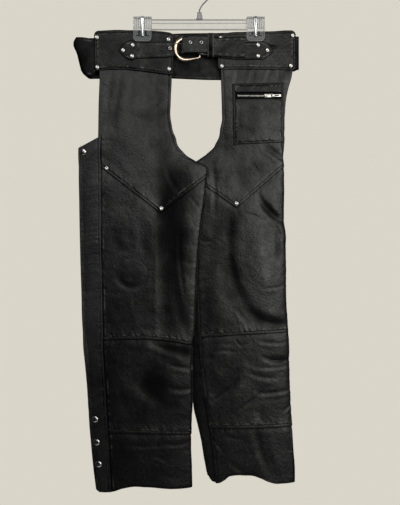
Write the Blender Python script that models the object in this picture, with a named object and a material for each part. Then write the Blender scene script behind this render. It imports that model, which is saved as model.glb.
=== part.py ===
"""Leather chaps hanging from a clip hanger.

The model is in metres with +Z up. The size tables are in millimetres: x runs across the
garment as seen from its front, left (-) to right (+), and the pieces are named left and
right in the same way. y runs from the front (-) to the back (+), and drop is the depth
below the origin, which is the inside top of the hanger's hook.
"""
import math
from collections import namedtuple

import bmesh
import bpy
import numpy as np
from mathutils import Matrix, Vector

MM = 0.001
GAP = 0.3

# Thickness of each kind of leather, and of the zip's tape.
LEATHER = 1.4
YOKE_LEATHER = 3.0
BAND_LEATHER = 3.0
STRAP_LEATHER = 2.6
KEEPER_LEATHER = 1.8
ZIP_TAPE = 1.0

# Shape of a leg's section: 1 is round, and less is flatter with tighter folds at its sides.
SECTION_POWER = 0.9

# Gap between two panels that meet at a seam. It is wider where the edges slant.
SEAM_GAP = 0.7


# ---------------------------------------------------------------- curves through tables

def ease(value):
    """Smooth step from 0 to 1."""
    part = np.clip(value, 0.0, 1.0)
    return part * part * (3.0 - 2.0 * part)


def smooth_curve(keys, values):
    """Curve through the rows of a table, smooth and with no overshoot between two rows."""
    keys = np.asarray(keys, float)
    values = np.asarray(values, float)
    steps = np.diff(keys)
    slopes = np.diff(values) / steps
    tangents = np.concatenate(([slopes[0]], (slopes[1:] + slopes[:-1]) / 2.0, [slopes[-1]]))
    turning = np.concatenate(([False], slopes[1:] * slopes[:-1] <= 0.0, [False]))
    tangents[turning] = 0.0
    limit = 3.0 * np.minimum(
        np.abs(np.concatenate(([slopes[0]], slopes))),
        np.abs(np.concatenate((slopes, [slopes[-1]]))),
    )
    tangents = np.clip(tangents, -limit, limit)

    def at(where):
        where = np.clip(np.asarray(where, float), keys[0], keys[-1])
        row = np.clip(np.searchsorted(keys, where, side="right") - 1, 0, len(steps) - 1)
        step = steps[row]
        part = (where - keys[row]) / step
        start = values[row] + part * step * tangents[row]
        end = values[row + 1] - (1.0 - part) * step * tangents[row + 1]
        return start + (end - start) * ease(part)

    return at


def table_curves(rows):
    """One smooth curve for each column of a table, over its first column."""
    names = rows[0]._fields
    keys = [row[0] for row in rows]
    curves = {}
    for place, name in enumerate(names[1:], start=1):
        curves[name] = smooth_curve(keys, [row[place] for row in rows])
    return curves


def edge_line(points):
    """Straight-sided edge: drop against x."""
    xs = [point[0] for point in points]
    drops = [point[1] for point in points]

    def at(x):
        return np.interp(x, xs, drops)

    return at


def edge_curve(points):
    """Curved edge: drop against x."""
    return smooth_curve([point[0] for point in points], [point[1] for point in points])


# ---------------------------------------------------------------- the legs' sizes

# One row for each section of a leg. outer and inner are the x of its two folds. edge is how
# far the front panels' outer edge lies from the outer fold, and inseam how far the inseam
# lies from the inner fold: both are positive on the front and negative round the back.
# mid_outer and mid_inner are the y of the section's middle plane at its two folds, front
# and back the depth of each side in the middle of the leg.
LegRow = namedtuple("LegRow", "drop outer inner edge inseam mid_outer mid_inner front back")

LEFT_LEG = (
    LegRow(185, -272.0, -61.5, 45.0, 0.0, -6.2, -6.2, 0.2, 0.2),
    LegRow(212, -272.3, -61.2, 45.6, 0.0, -7.3, -7.3, 0.3, 0.3),
    LegRow(281, -273.0, -63.7, 44.0, 0.0, -6.5, -7.8, 2.5, 1.0),
    LegRow(322, -273.0, -61.2, 43.5, 0.0, -5.8, -8.2, 4.0, 2.0),
    LegRow(354, -273.0, -52.0, 43.0, 0.0, -5.0, -8.8, 5.5, 4.0),
    LegRow(389, -273.0, -33.4, 42.0, 0.0, -4.0, -9.6, 7.5, 6.0),
    LegRow(408, -272.8, -8.0, 42.5, -2.5, -3.4, -10.0, 8.5, 7.0),
    LegRow(424, -272.6, 19.6, 43.0, -6.0, -3.0, -10.4, 9.5, 8.0),
    LegRow(447, -272.2, 17.3, 42.5, -6.0, -2.4, -10.6, 11.0, 9.5),
    LegRow(490, -271.2, 13.8, 42.0, -6.0, -1.4, -10.8, 14.0, 12.0),
    LegRow(589, -269.0, 1.2, 40.0, -6.0, -0.6, -11.0, 17.0, 15.0),
    LegRow(718, -265.6, -6.2, 39.4, -6.0, 0.0, -11.0, 17.0, 15.0),
    LegRow(796, -263.4, -9.2, 38.8, -6.0, 0.0, -11.0, 16.0, 14.5),
    LegRow(853, -258.2, -14.4, 34.4, -6.0, 0.0, -11.0, 16.0, 14.5),
    LegRow(908, -254.5, -15.9, 34.4, -6.0, 0.0, -10.5, 16.0, 14.5),
    LegRow(961, -250.3, -14.7, 33.4, -6.0, 0.0, -10.0, 15.5, 14.0),
    LegRow(1026, -247.0, -17.3, 34.0, -6.0, 0.0, -9.0, 15.0, 13.5),
    LegRow(1125, -238.0, -16.5, 30.4, -6.0, 0.0, -8.0, 15.0, 13.5),
    LegRow(1170, -231.5, -15.9, 26.5, -6.0, 0.0, -8.0, 15.5, 14.0),
)

RIGHT_LEG = (
    LegRow(185, 216.5, 50.6, 0.0, 0.0, -6.2, -6.2, 0.2, 0.2),
    LegRow(212, 214.0, 51.0, 0.0, 0.0, -7.3, -7.3, 0.3, 0.3),
    LegRow(248, 204.2, 52.2, 0.0, 0.0, -6.9, -7.0, 1.5, 1.0),
    LegRow(294, 198.6, 53.6, 0.0, 0.0, -6.4, -5.5, 3.0, 2.0),
    LegRow(334, 197.0, 49.9, 0.0, 0.0, -5.6, -2.5, 4.5, 3.0),
    LegRow(366, 196.2, 39.3, -2.0, 0.0, -4.8, 1.0, 6.0, 5.0),
    LegRow(386, 195.0, 23.5, -7.0, 0.0, -4.2, 4.0, 7.0, 6.0),
    LegRow(408, 194.0, -6.9, -14.0, 0.0, -3.6, 7.0, 8.5, 7.0),
    LegRow(430, 195.0, -32.0, -19.0, 0.0, -3.0, 9.0, 10.0, 8.0),
    LegRow(447, 195.4, -30.0, -20.0, 1.0, -2.4, 10.0, 11.0, 9.5),
    LegRow(490, 196.2, -26.0, -20.0, 5.0, -1.4, 10.5, 14.0, 12.0),
    LegRow(538, 195.8, -24.0, -19.0, 7.5, -1.0, 10.5, 16.0, 14.0),
    LegRow(589, 200.4, -22.0, -18.5, 10.0, -0.6, 10.5, 17.0, 15.0),
    LegRow(718, 201.8, -20.0, -17.5, 13.5, 0.0, 10.5, 17.0, 15.0),
    LegRow(813, 206.4, -17.0, -16.0, 16.0, 0.0, 10.5, 16.0, 14.5),
    LegRow(908, 209.6, -15.0, -13.0, 22.0, 0.0, 10.0, 16.0, 14.5),
    LegRow(961, 212.0, -12.7, -11.5, 27.0, 0.0, 9.5, 15.5, 14.0),
    LegRow(1017, 214.2, -2.3, -9.5, 26.0, 0.0, 9.0, 15.0, 13.5),
    LegRow(1065, 217.0, 7.1, -8.0, 23.0, 0.0, 8.0, 15.0, 13.5),
    LegRow(1118, 221.0, 16.6, -6.0, 18.0, 0.0, 7.0, 15.0, 13.5),
    LegRow(1148, 221.2, 24.0, -5.0, 15.0, 0.0, 6.5, 15.5, 14.0),
)

# Each leg's largest folds, as soft troughs in its front. A trough runs from its start past
# its bend to its end; width is its half width and depth how far it sinks in.
Fold = namedtuple("Fold", "start bend end width depth")

LEFT_FOLDS = (
    Fold((-62, 500), (-64, 650), (-52, 800), 22, 5.0),
    Fold((-196, 215), (-198, 300), (-206, 370), 8, 2.2),
    Fold((-80, 822), (-50, 828), (-18, 838), 9, 3.0),
    Fold((-135, 880), (-100, 915), (-60, 950), 20, 3.5),
)

RIGHT_FOLDS = (
    Fold((86, 545), (84, 640), (128, 735), 13, 6.5),
    Fold((128, 735), (155, 762), (198, 774), 11, 4.5),
    Fold((138, 485), (160, 530), (196, 548), 9, 4.0),
    Fold((160, 868), (180, 864), (205, 868), 7, 3.0),
    Fold((88, 905), (62, 930), (36, 955), 11, 3.0),
)

# The edges between the front panels: drop against x. The pointed seams turn at their points.
LEFT_POINT = (-86.3, 528.5)
RIGHT_POINT = (86.9, 516.0)
LEFT_POINTED_SEAM = edge_line(((-224.0, 422.0), LEFT_POINT, (20.0, 445.0)))
LEFT_KNEE_SEAM = edge_curve(((-212, 818.0), (-128, 815.0), (-88, 817.5), (-12, 829.0)))
LEFT_SHIN_SEAM = edge_curve(((-208, 1030.0), (-110, 1031.0), (-16, 1032.5)))
LEFT_HEM = edge_curve(
    ((-236, 1158), (-222, 1166), (-194, 1163.5), (-172, 1156), (-120, 1152), (-60, 1156), (-14, 1154))
)
RIGHT_POINTED_SEAM = edge_line(((-34.0, 430.0), RIGHT_POINT, (218.0, 401.5)))
RIGHT_KNEE_SEAM = edge_curve(((-2, 813.5), (93, 806.5), (206, 800.0)))
RIGHT_SHIN_SEAM = edge_curve(((22, 1021.5), (120, 1020.0), (214, 1015.5)))
RIGHT_HEM = edge_curve(
    ((21, 1133), (36, 1147), (60, 1139.5), (73, 1130), (107, 1128), (142, 1134), (160, 1142),
     (193, 1146), (222, 1144.5))
)

PANEL_TOP = 187.0

# Rounds in which a panel's corner is moved until it lies on its edge.
SETTLING_STEPS = 30

# The front's folds fade out this quickly near the leg's sides.
FOLD_FADE = 4.0

# Steps over which a surface's slope is measured: in turns, and in millimetres down.
SLOPE_TURN = 0.01
SLOPE_DROP = 2.0


class Leg:
    """A flattened tube. turn is 0 at its outer fold, 1 at its inner fold and 2 at the outer
    fold again: the front lies between 0 and 1 and the back between 1 and 2."""

    def __init__(self, rows, folds):
        self.size = table_curves(rows)
        self.folds = folds

    def turn_of(self, drop, column, at_inner_fold):
        """The turn of an edge that the table states as a distance from a fold."""
        width = np.abs(self.size["inner"](drop) - self.size["outer"](drop))
        distance = self.size[column](drop)
        part = np.clip(np.abs(distance) / width, 0.0, 1.0)
        angle = np.sign(distance) * np.arccos(1.0 - 2.0 * part) / math.pi
        return 1.0 - angle if at_inner_fold else angle

    def front_turn(self, x, drop):
        """The turn of a place on the front."""
        outer = self.size["outer"](drop)
        inner = self.size["inner"](drop)
        part = np.clip((x - outer) / (inner - outer), 0.0, 1.0)
        return np.arccos(1.0 - 2.0 * part) / math.pi

    def across(self, turn, drop):
        """x of a place, and its x with what is round a fold laid out flat."""
        outer = self.size["outer"](drop)
        inner = self.size["inner"](drop)
        x = outer + (inner - outer) * (1.0 - np.cos(math.pi * turn)) / 2.0
        flat = np.where(turn < 0.0, 2.0 * outer - x, x)
        flat = np.where(turn > 1.0, 2.0 * inner - x, flat)
        return x, flat

    def sink(self, x, drop):
        """How far the folds push the front in."""
        total = np.zeros(np.broadcast(x, drop).shape)
        for fold in self.folds:
            total = np.maximum(total, trough(fold, x, drop))
        return total

    def surface(self, turn, drop, lift=0.0):
        """Points of the wall's middle surface, or lift outside it."""
        turn = np.asarray(turn, float)
        drop = np.asarray(drop, float)
        points = self.plain_surface(turn, drop)
        if np.any(lift):
            along = self.plain_surface(turn + SLOPE_TURN, drop)
            along = along - self.plain_surface(turn - SLOPE_TURN, drop)
            down = self.plain_surface(turn, drop + SLOPE_DROP)
            down = down - self.plain_surface(turn, drop - SLOPE_DROP)
            out = np.cross(along, down)
            out /= np.linalg.norm(out, axis=-1, keepdims=True)
            side = np.sign(self.size["inner"](drop) - self.size["outer"](drop))
            points = points - out * (side * lift)[..., None]
        return points

    def plain_surface(self, turn, drop):
        outer = self.size["outer"](drop)
        inner = self.size["inner"](drop)
        x, _ = self.across(turn, drop)
        part = (x - outer) / (inner - outer)
        middle = self.size["mid_outer"](drop) * (1.0 - part) + self.size["mid_inner"](drop) * part
        bulge = np.sin(math.pi * turn)
        round_out = np.sign(bulge) * np.abs(bulge) ** SECTION_POWER
        front = np.maximum(round_out, 0.0) * self.size["front"](drop)
        back = np.maximum(-round_out, 0.0) * self.size["back"](drop)
        on_front = ease(np.clip(bulge, 0.0, 1.0) * FOLD_FADE)
        y = middle - front + back + self.sink(x, drop) * on_front
        return np.stack(np.broadcast_arrays(x, y, -drop), axis=-1)


FOLD_PLACES = 9
FOLD_END = 0.12
FOLD_ROUNDNESS = 1.4


def trough(fold, x, drop):
    """Depth of one fold at a place: it fades out to both sides and at both ends."""
    start, bend, end = (np.array(point, float) for point in (fold.start, fold.bend, fold.end))
    depth = np.zeros(np.broadcast(x, drop).shape)
    for part in np.linspace(0.0, 1.0, FOLD_PLACES):
        middle = start * (1 - part) ** 2 + bend * 2 * part * (1 - part) + end * part ** 2
        away = np.hypot(x - middle[0], drop - middle[1])
        along = FOLD_END + (1.0 - 2.0 * FOLD_END) * part
        strength = fold.depth * math.sqrt(math.sin(math.pi * along))
        depth = np.maximum(depth, strength * np.exp(-(away / fold.width) ** 2 / FOLD_ROUNDNESS))
    return depth


LEFT = Leg(LEFT_LEG, LEFT_FOLDS)
RIGHT = Leg(RIGHT_LEG, RIGHT_FOLDS)


# ---------------------------------------------------------------- the waist's sizes

YOKE_LEFT_X = (-238.5, -57.3)
YOKE_RIGHT_X = (44.6, 222.0)
YOKE_CORNER = 9.0
YOKE_COLUMN_STEP = 26.0
YOKE_ROWS = (0.0, 0.29, 0.46, 0.64, 0.82, 1.0)
YOKE_LEFT_TOP = edge_curve(((-238, 110.5), (-205, 108.5), (-160, 107.5), (-100, 109), (-57, 116)))
YOKE_LEFT_BOTTOM = edge_curve(((-238, 203), (-189, 199), (-147, 201), (-75, 210), (-57, 212)))
YOKE_RIGHT_TOP = edge_curve(((44, 119), (64, 115), (108, 111), (180, 110), (210, 109), (222, 110)))
YOKE_RIGHT_BOTTOM = edge_curve(((44, 199), (108, 198), (170, 199), (222, 201)))

CLIP_X = (-128.6, 130.9)
CLIP_WIDTH = 41.4
PINCH_FLAT = 30.0
PINCH_END = 66.0
PINCH_DROP = 136.0
PINCH_FADE = 18.0
PINCHED_Y = -1.9
WAIST_DROPS = (108.0, 200.0)
WAIST_TOP_Y = -5.5
WAIST_BOTTOM_Y = -9.5


def pinch(x, drop):
    """1 where a clip presses the waist flat, 0 away from it."""
    near = np.zeros(np.broadcast(x, drop).shape)
    for middle in CLIP_X:
        away = (np.abs(x - middle) - PINCH_FLAT) / (PINCH_END - PINCH_FLAT)
        near = np.maximum(near, 1.0 - ease(away))
    return near * (1.0 - ease((drop - PINCH_DROP) / PINCH_FADE))


def waist_y(x, drop):
    """The waist's front, open towards its bottom, without the clips."""
    part = (drop - WAIST_DROPS[0]) / (WAIST_DROPS[1] - WAIST_DROPS[0])
    return WAIST_TOP_Y + (WAIST_BOTTOM_Y - WAIST_TOP_Y) * part + np.zeros(np.shape(x))


def yoke_y(x, drop):
    """The yokes' middle surface, pressed in at the clips."""
    pressed = pinch(x, drop)
    return waist_y(x, drop) * (1.0 - pressed) + PINCHED_Y * pressed


def band_back_y(x, drop):
    return -yoke_y(x, drop)


def band_front_y(x, drop):
    return yoke_y(x, drop) + YOKE_LEATHER / 2 + GAP + BAND_LEATHER / 2


# The band's outline along its loop, from its end under the left yoke, round the left fold,
# along the back, round the right fold and under the right yoke. way counts these stretches.
BandRow = namedtuple("BandRow", "way top bottom")
BAND_ROWS = (
    BandRow(0.0, 129, 184),
    BandRow(0.16, 129, 184),
    BandRow(0.36, 128, 200),
    BandRow(1.0, 123.5, 213),
    BandRow(1.5, 123.5, 216),
    BandRow(2.0, 123.5, 216),
    BandRow(2.3, 117, 214),
    BandRow(2.6, 112, 219),
    BandRow(2.8, 114, 217),
    BandRow(3.0, 122, 199),
    BandRow(3.5, 122, 197),
    BandRow(4.0, 122, 197),
    BandRow(4.35, 123, 184),
    BandRow(5.0, 127, 184),
)
BAND_LEFT_END = -219.0
BAND_RIGHT_END = 208.0
BAND_LEFT_FOLD = edge_curve(((120, -286.4), (145, -286.0), (189, -271.5), (218, -250.0)))
BAND_RIGHT_FOLD = 229.5
BAND_LAST_WAY = 4.9999


def band_point(way, drop):
    """Place on the band's middle surface."""
    left = BAND_LEFT_FOLD(drop)
    right = np.full(np.shape(drop), BAND_RIGHT_FOLD)
    left_radius = (band_back_y(left, drop) - band_front_y(left, drop)) / 2.0
    right_radius = (band_back_y(right, drop) - band_front_y(right, drop)) / 2.0
    left_start = left + left_radius
    right_start = right - right_radius
    stretch = np.floor(way).astype(int)
    part = way - stretch
    x = np.choose(
        stretch,
        [
            BAND_LEFT_END + (left_start - BAND_LEFT_END) * part,
            left_start - left_radius * np.sin(math.pi * part),
            left_start + (right_start - left_start) * part,
            right_start + right_radius * np.sin(math.pi * part),
            right_start + (BAND_RIGHT_END - right_start) * part,
        ],
    )
    front = band_front_y(x, drop)
    back = band_back_y(x, drop)
    turn = np.cos(math.pi * part)
    y = np.choose(
        stretch,
        [
            front,
            (front + back) / 2.0 - turn * (back - front) / 2.0,
            back,
            (front + back) / 2.0 + turn * (back - front) / 2.0,
            front,
        ],
    )
    return np.stack(np.broadcast_arrays(x, y, -drop), axis=-1)


# The belt's two straps. Each row is a section: middle is the drop of its middle line, half
# its half width, and y its middle surface where it lies on neither yoke nor strap.
StrapRow = namedtuple("StrapRow", "x middle half y")
ON_YOKE = YOKE_LEATHER / 2 + GAP + STRAP_LEATHER / 2
ON_STRAP = STRAP_LEATHER + GAP

TIP_STRAP = (
    StrapRow(-183, 155.5, 1.0, -10.4),
    StrapRow(-151, 155.0, 22.4, -10.4),
    StrapRow(-144, 155.0, 19.6, -10.4),
    StrapRow(-100, 154.5, 18.0, -10.5),
    StrapRow(-64, 153.6, 16.4, -10.6),
    StrapRow(-56, 152.6, 15.2, -10.9),
    StrapRow(-47, 152.0, 13.9, -11.1),
    StrapRow(-40, 152.0, 13.9, -16.0),
    StrapRow(-38, 151.0, 14.6, -16.9),
    StrapRow(-33, 144.6, 18.6, -17.1),
    StrapRow(1, 143.0, 19.0, -16.6),
    StrapRow(20, 143.6, 19.0, -15.6),
    StrapRow(35, 147.0, 20.4, -14.6),
    StrapRow(60, 148.3, 22.0, -13.7),
    StrapRow(103, 148.6, 23.8, -13.6),
    StrapRow(107, 148.6, 21.5, -13.6),
)
TIP_COLUMNS = (
    -183, -167, -151, -144, -128, -112, -98, -84, -70, -64, -60, -56, -52, -47, -45, -42.5, -40, -38,
    -36, -33, -22, -8, 8, 20, 28, 35, 46, 60, 75, 90, 103, 107,
)
TIP_HOLE = (-47.0, -36.0)
TIP_LEAVES_YOKE = -56.0
TIP_MEETS_STRAP = 46.0
BUCKLE_STRAP_LEAVES_YOKE = 44.0
LEAVING = 7.0

BUCKLE_STRAP_COLUMNS = (171.4, 157, 142, 135, 120, 106, 90, 75, 60, 46, 34, 20, 10)
BUCKLE_STRAP = (
    StrapRow(171.4, 155.5, 1.0, -10.5),
    StrapRow(142, 155.6, 20.8, -10.5),
    StrapRow(135, 156.0, 19.4, -10.5),
    StrapRow(106, 156.4, 19.4, -10.6),
    StrapRow(60, 155.0, 18.6, -10.6),
    StrapRow(46, 153.5, 18.0, -10.7),
    StrapRow(34, 152.6, 17.2, -11.3),
    StrapRow(20, 152.0, 15.4, -12.5),
)

# The buckle's heel bar, the strap's loop round it and the prong's slot in that loop.
HEEL_X = 2.0
HEEL_Y = -9.6
HEEL_RADIUS = 2.2
HEEL_LOOP = HEEL_RADIUS + GAP + STRAP_LEATHER / 2
HEEL_LOOP_MIDDLE = 152.0
HEEL_LOOP_HALF = 14.2
HEEL_LOOP_STEPS = 9
STRAP_RETURN = (12.0, 24.0, 37.0)
PRONG_DROP = 141.6
PRONG_RADIUS = 1.3
PRONG_SLOT = 2.4


# ---------------------------------------------------------------- building meshes

def clear_scene():
    for item in list(bpy.data.objects):
        bpy.data.objects.remove(item, do_unlink=True)


# Colour, roughness and metallic value of each kind of material.
MATERIALS = {
    "leather": ((0.022, 0.021, 0.020), 0.42, 0.0),
    "leather_dark": ((0.012, 0.011, 0.011), 0.46, 0.0),
    "steel": ((0.72, 0.70, 0.66), 0.22, 1.0),
    "brass": ((0.62, 0.55, 0.42), 0.28, 1.0),
    "zip_tape": ((0.015, 0.015, 0.016), 0.85, 0.0),
    "clear_plastic": ((0.80, 0.80, 0.77), 0.18, 0.0),
}


def new_material(node, kind):
    """A Principled material of the piece's own."""
    colour, roughness, metallic = MATERIALS[kind]
    material = bpy.data.materials.new(node)
    material.use_nodes = True
    shader = material.node_tree.nodes["Principled BSDF"]
    shader.inputs["Base Color"].default_value = (*colour, 1.0)
    shader.inputs["Roughness"].default_value = roughness
    shader.inputs["Metallic"].default_value = metallic
    return material


def add_object(node, mesh, kind):
    item = bpy.data.objects.new(node, mesh)
    item.data.materials.append(new_material(node, kind))
    bpy.context.scene.collection.objects.link(item)
    return item


SHARP_ANGLE = math.radians(40.0)


def mesh_from(node, shape):
    mesh = bpy.data.meshes.new(node)
    shape.to_mesh(mesh)
    shape.free()
    mesh.shade_smooth()
    mesh.set_sharp_from_angle(angle=SHARP_ANGLE)
    return mesh


WELD = 0.02 * MM


def add_sheet(node, points, thickness, kind, cut=None, closed=False):
    """Closed wall round a grid of middle-surface points (rows, columns, 3) in millimetres.
    cut(row, column) says which cells are left open. A closed sheet joins its two ends."""
    rows, columns = points.shape[:2]
    shape = bmesh.new()
    bmesh.ops.create_grid(shape, x_segments=columns - 1, y_segments=rows - 1, size=1.0)
    shape.verts.ensure_lookup_table()
    for vert in shape.verts:
        column = round((vert.co.x + 1.0) / 2.0 * (columns - 1))
        row = round((vert.co.y + 1.0) / 2.0 * (rows - 1))
        vert.co = Vector(points[row, column]) * MM
        vert.index = row * columns + column
    if cut:
        open_cells = [face for face in shape.faces if cut(*cell_of(face, columns))]
        bmesh.ops.delete(shape, geom=open_cells, context="FACES")
    if closed:
        bmesh.ops.remove_doubles(shape, verts=shape.verts, dist=WELD)
    bmesh.ops.recalc_face_normals(shape, faces=shape.faces)
    item = add_object(node, mesh_from(node, shape), kind)
    wall = item.modifiers.new("wall", "SOLIDIFY")
    wall.thickness = thickness * MM
    wall.offset = 0.0
    return item


def cell_of(face, columns):
    """Row and column of a grid cell, from its lowest corner."""
    lowest = min(vert.index for vert in face.verts)
    return lowest // columns, lowest % columns


def add_turned(node, profile, sides, place, outward, kind):
    """Solid of revolution: profile is (radius, height) pairs from its axis to its axis."""
    shape = bmesh.new()
    verts = [shape.verts.new((radius * MM, 0.0, height * MM)) for radius, height in profile]
    for first, second in zip(verts[:-1], verts[1:]):
        shape.edges.new((first, second))
    bmesh.ops.spin(
        shape, geom=shape.verts[:] + shape.edges[:], cent=(0, 0, 0), axis=(0, 0, 1),
        angle=2.0 * math.pi, steps=sides, use_merge=True, use_duplicate=False,
    )
    bmesh.ops.remove_doubles(shape, verts=shape.verts, dist=WELD)
    bmesh.ops.recalc_face_normals(shape, faces=shape.faces)
    item = add_object(node, mesh_from(node, shape), kind)
    item.location = Vector(place) * MM
    item.rotation_mode = "QUATERNION"
    item.rotation_quaternion = Vector(outward).to_track_quat("Z", "Y")
    return item


def add_ring(node, profile, sides, place, outward, kind):
    """Ring turned from a closed profile of (radius, height) pairs."""
    return add_turned(node, tuple(profile) + (profile[0],), sides, place, outward, kind)


def add_rod(node, points, radii, kind, cyclic=False, resolution=2):
    """Round rod through points in millimetres."""
    curve = bpy.data.curves.new(node, "CURVE")
    curve.dimensions = "3D"
    curve.bevel_depth = MM
    curve.bevel_resolution = resolution
    curve.use_fill_caps = not cyclic
    spline = curve.splines.new("POLY")
    spline.points.add(len(points) - 1)
    for knot, point, radius in zip(spline.points, points, radii):
        knot.co = (*(Vector(point) * MM), 1.0)
        knot.radius = radius
    spline.use_cyclic_u = cyclic
    return add_object(node, curve, kind)


def add_block(node, low, high, rounding, kind, segments=2):
    """Box between two corners in millimetres, with rounded edges."""
    shape = bmesh.new()
    bmesh.ops.create_cube(shape, size=1.0)
    low = Vector(low)
    high = Vector(high)
    bmesh.ops.scale(shape, vec=(high - low) * MM, verts=shape.verts)
    item = add_object(node, mesh_from(node, shape), kind)
    item.location = (low + high) / 2.0 * MM
    bevel = item.modifiers.new("rounding", "BEVEL")
    bevel.width = rounding * MM
    bevel.segments = segments
    return item


def smooth_path(points, count, cyclic=False):
    """Points read from a smooth curve through a few route points."""
    route = [Vector(point) for point in points]
    total = len(route) if cyclic else len(route) - 1
    found = []
    for step in range(count):
        place = step * total / (count if cyclic else count - 1)
        base = min(int(place), total - 1)
        part = place - base
        if cyclic:
            four = [route[(base + shift) % total] for shift in (-1, 0, 1, 2)]
        else:
            four = [route[min(max(base + shift, 0), total)] for shift in (-1, 0, 1, 2)]
        before, start, end, after = four
        bend = start * 2 + (end - before) * part
        bend += (before * 2 - start * 5 + end * 4 - after) * part ** 2
        bend += (start * 3 - before - end * 3 + after) * part ** 3
        found.append(bend / 2)
    return found


# ---------------------------------------------------------------- the legs

def with_column(fractions, wanted):
    """Column places with one moved onto a corner of the panel's edge."""
    places = np.array(fractions, float)
    nearest = 1 + int(np.argmin(np.abs(places[1:-1] - wanted)))
    places[nearest] = wanted
    return places


# Where the search for a panel's top and bottom edge starts.
TOP_GUESS = 300.0
BOTTOM_GUESS = 800.0

# A long seam is this steep at least, so that its gap stays narrow round a fold.
LEAST_SLOPE = 0.12


def panel_points(leg, columns, rows, top, bottom, start, end):
    """Grid of a leg panel: columns run between the turns start(drop) and end(drop), rows
    between the edges top(x) and bottom(x)."""
    def turn_at(part, drop):
        return start(drop) + (end(drop) - start(drop)) * part

    def drop_on(edge, part, guess):
        drop = np.full(np.shape(part), guess)
        for _ in range(SETTLING_STEPS):
            _, flat = leg.across(turn_at(part, drop), drop)
            drop = (drop + edge(flat)) / 2.0
        return drop

    upper = drop_on(top, columns, TOP_GUESS)
    lower = drop_on(bottom, columns, BOTTOM_GUESS)
    drop = upper[None, :] + (lower - upper)[None, :] * rows[:, None]
    return leg.surface(turn_at(columns[None, :], drop), drop)


def shifted(edge, amount):
    def at(x):
        return edge(x) + amount

    return at


def level(drop):
    def at(x):
        return np.full(np.shape(x), float(drop))

    return at


def edge_turn(leg, column, at_inner_fold, gap_side):
    """Turn of a long seam, moved half a gap to one side."""
    def at(drop):
        width = np.abs(leg.size["inner"](drop) - leg.size["outer"](drop))
        turn = leg.turn_of(drop, column, at_inner_fold)
        slope = np.maximum(np.abs(np.sin(math.pi * turn)), LEAST_SLOPE) * math.pi / 2.0 * width
        return turn + gap_side * (SEAM_GAP / 2.0) / slope

    return at


PanelRow = namedtuple("PanelRow", "name top bottom rows")
LEFT_FRONT_COLUMNS = (0, 0.06, 0.15, 0.26, 0.38, 0.5, 0.62, 0.74, 0.84, 0.91, 0.955, 0.985, 1)
RIGHT_FRONT_COLUMNS = (0, 0.05, 0.1, 0.15, 0.2, 0.28, 0.4, 0.53, 0.66, 0.78, 0.88, 0.95, 1)


def add_front_panels(side, leg, places, point, seams, hem):
    """Four panels, one below the other, with a column on the pointed seam's point."""
    pointed, knee, shin = seams
    start = edge_turn(leg, "edge", False, 1.0)
    end = edge_turn(leg, "inseam", True, -1.0)
    point_x, point_drop = point
    point_turn = leg.front_turn(point_x, point_drop)
    point_part = (point_turn - start(point_drop)) / (end(point_drop) - start(point_drop))
    columns = with_column(places, float(point_part))
    panels = (
        PanelRow("front_top", level(PANEL_TOP), shifted(pointed, -SEAM_GAP / 2), 14),
        PanelRow("front_thigh", shifted(pointed, SEAM_GAP / 2), shifted(knee, -GAP / 2), 16),
        PanelRow("front_knee", shifted(knee, GAP / 2), shifted(shin, -GAP / 2), 9),
        PanelRow("front_hem", shifted(shin, GAP / 2), hem, 6),
    )
    for panel in panels:
        rows = np.linspace(0.0, 1.0, panel.rows)
        points = panel_points(leg, columns, rows, panel.top, panel.bottom, start, end)
        add_sheet(side + "_" + panel.name, points, LEATHER, "leather")


LEFT_BACK_COLUMNS = (0, 0.03, 0.09, 0.2, 0.35, 0.5, 0.62, 0.7, 0.755, 0.79, 0.83, 0.9, 1)
RIGHT_BACK_COLUMNS = (0, 0.08, 0.14, 0.18, 0.22, 0.28, 0.38, 0.5, 0.62, 0.75, 0.87, 0.95, 1)
BACK_ROWS = 26
BACK_ROWS_CLOSER = 1.35
HEM_STEP = 2.5
HEM_GUESS = 1150.0
BACK_TOP_INNER = 447.0
BACK_TOP_OUTER = 386.0
BACK_TOP_EDGE = 366.0


def add_back_panel(side, leg, columns, top, hem):
    """From the inseam round the back, and round the outer fold to the front panels' edge."""
    inseam = edge_turn(leg, "inseam", True, 1.0)
    outer = edge_turn(leg, "edge", False, -1.0)

    def end(drop):
        return outer(drop) + 2.0

    columns = np.array(columns, float)
    rows = np.linspace(0.0, 1.0, BACK_ROWS) ** BACK_ROWS_CLOSER
    places = np.broadcast_to(columns, (BACK_ROWS, len(columns)))
    upper = top(columns)
    lower = np.zeros(len(columns))
    for column, part in enumerate(columns):
        drop = HEM_GUESS
        for _ in range(SETTLING_STEPS):
            turn = inseam(drop) + (end(drop) - inseam(drop)) * part
            x, _ = leg.across(np.asarray(turn), np.asarray(drop))
            drop = (drop + float(hem(x)) - HEM_STEP) / 2.0
        lower[column] = drop
    drops = upper[None, :] + (lower - upper)[None, :] * rows[:, None]
    turns = inseam(drops) + (end(drops) - inseam(drops)) * places
    add_sheet(side + "_back", leg.surface(turns, drops), LEATHER, "leather")


def back_top(fold_part):
    """Top edge of a back panel, against its column: lower at the inseam, then up to the
    outer fold and on up to the flap's seam."""
    return edge_curve(((0.0, BACK_TOP_INNER), (0.12, BACK_TOP_INNER - 2), (fold_part, BACK_TOP_OUTER),
                       (1.0, BACK_TOP_EDGE)))


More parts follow.
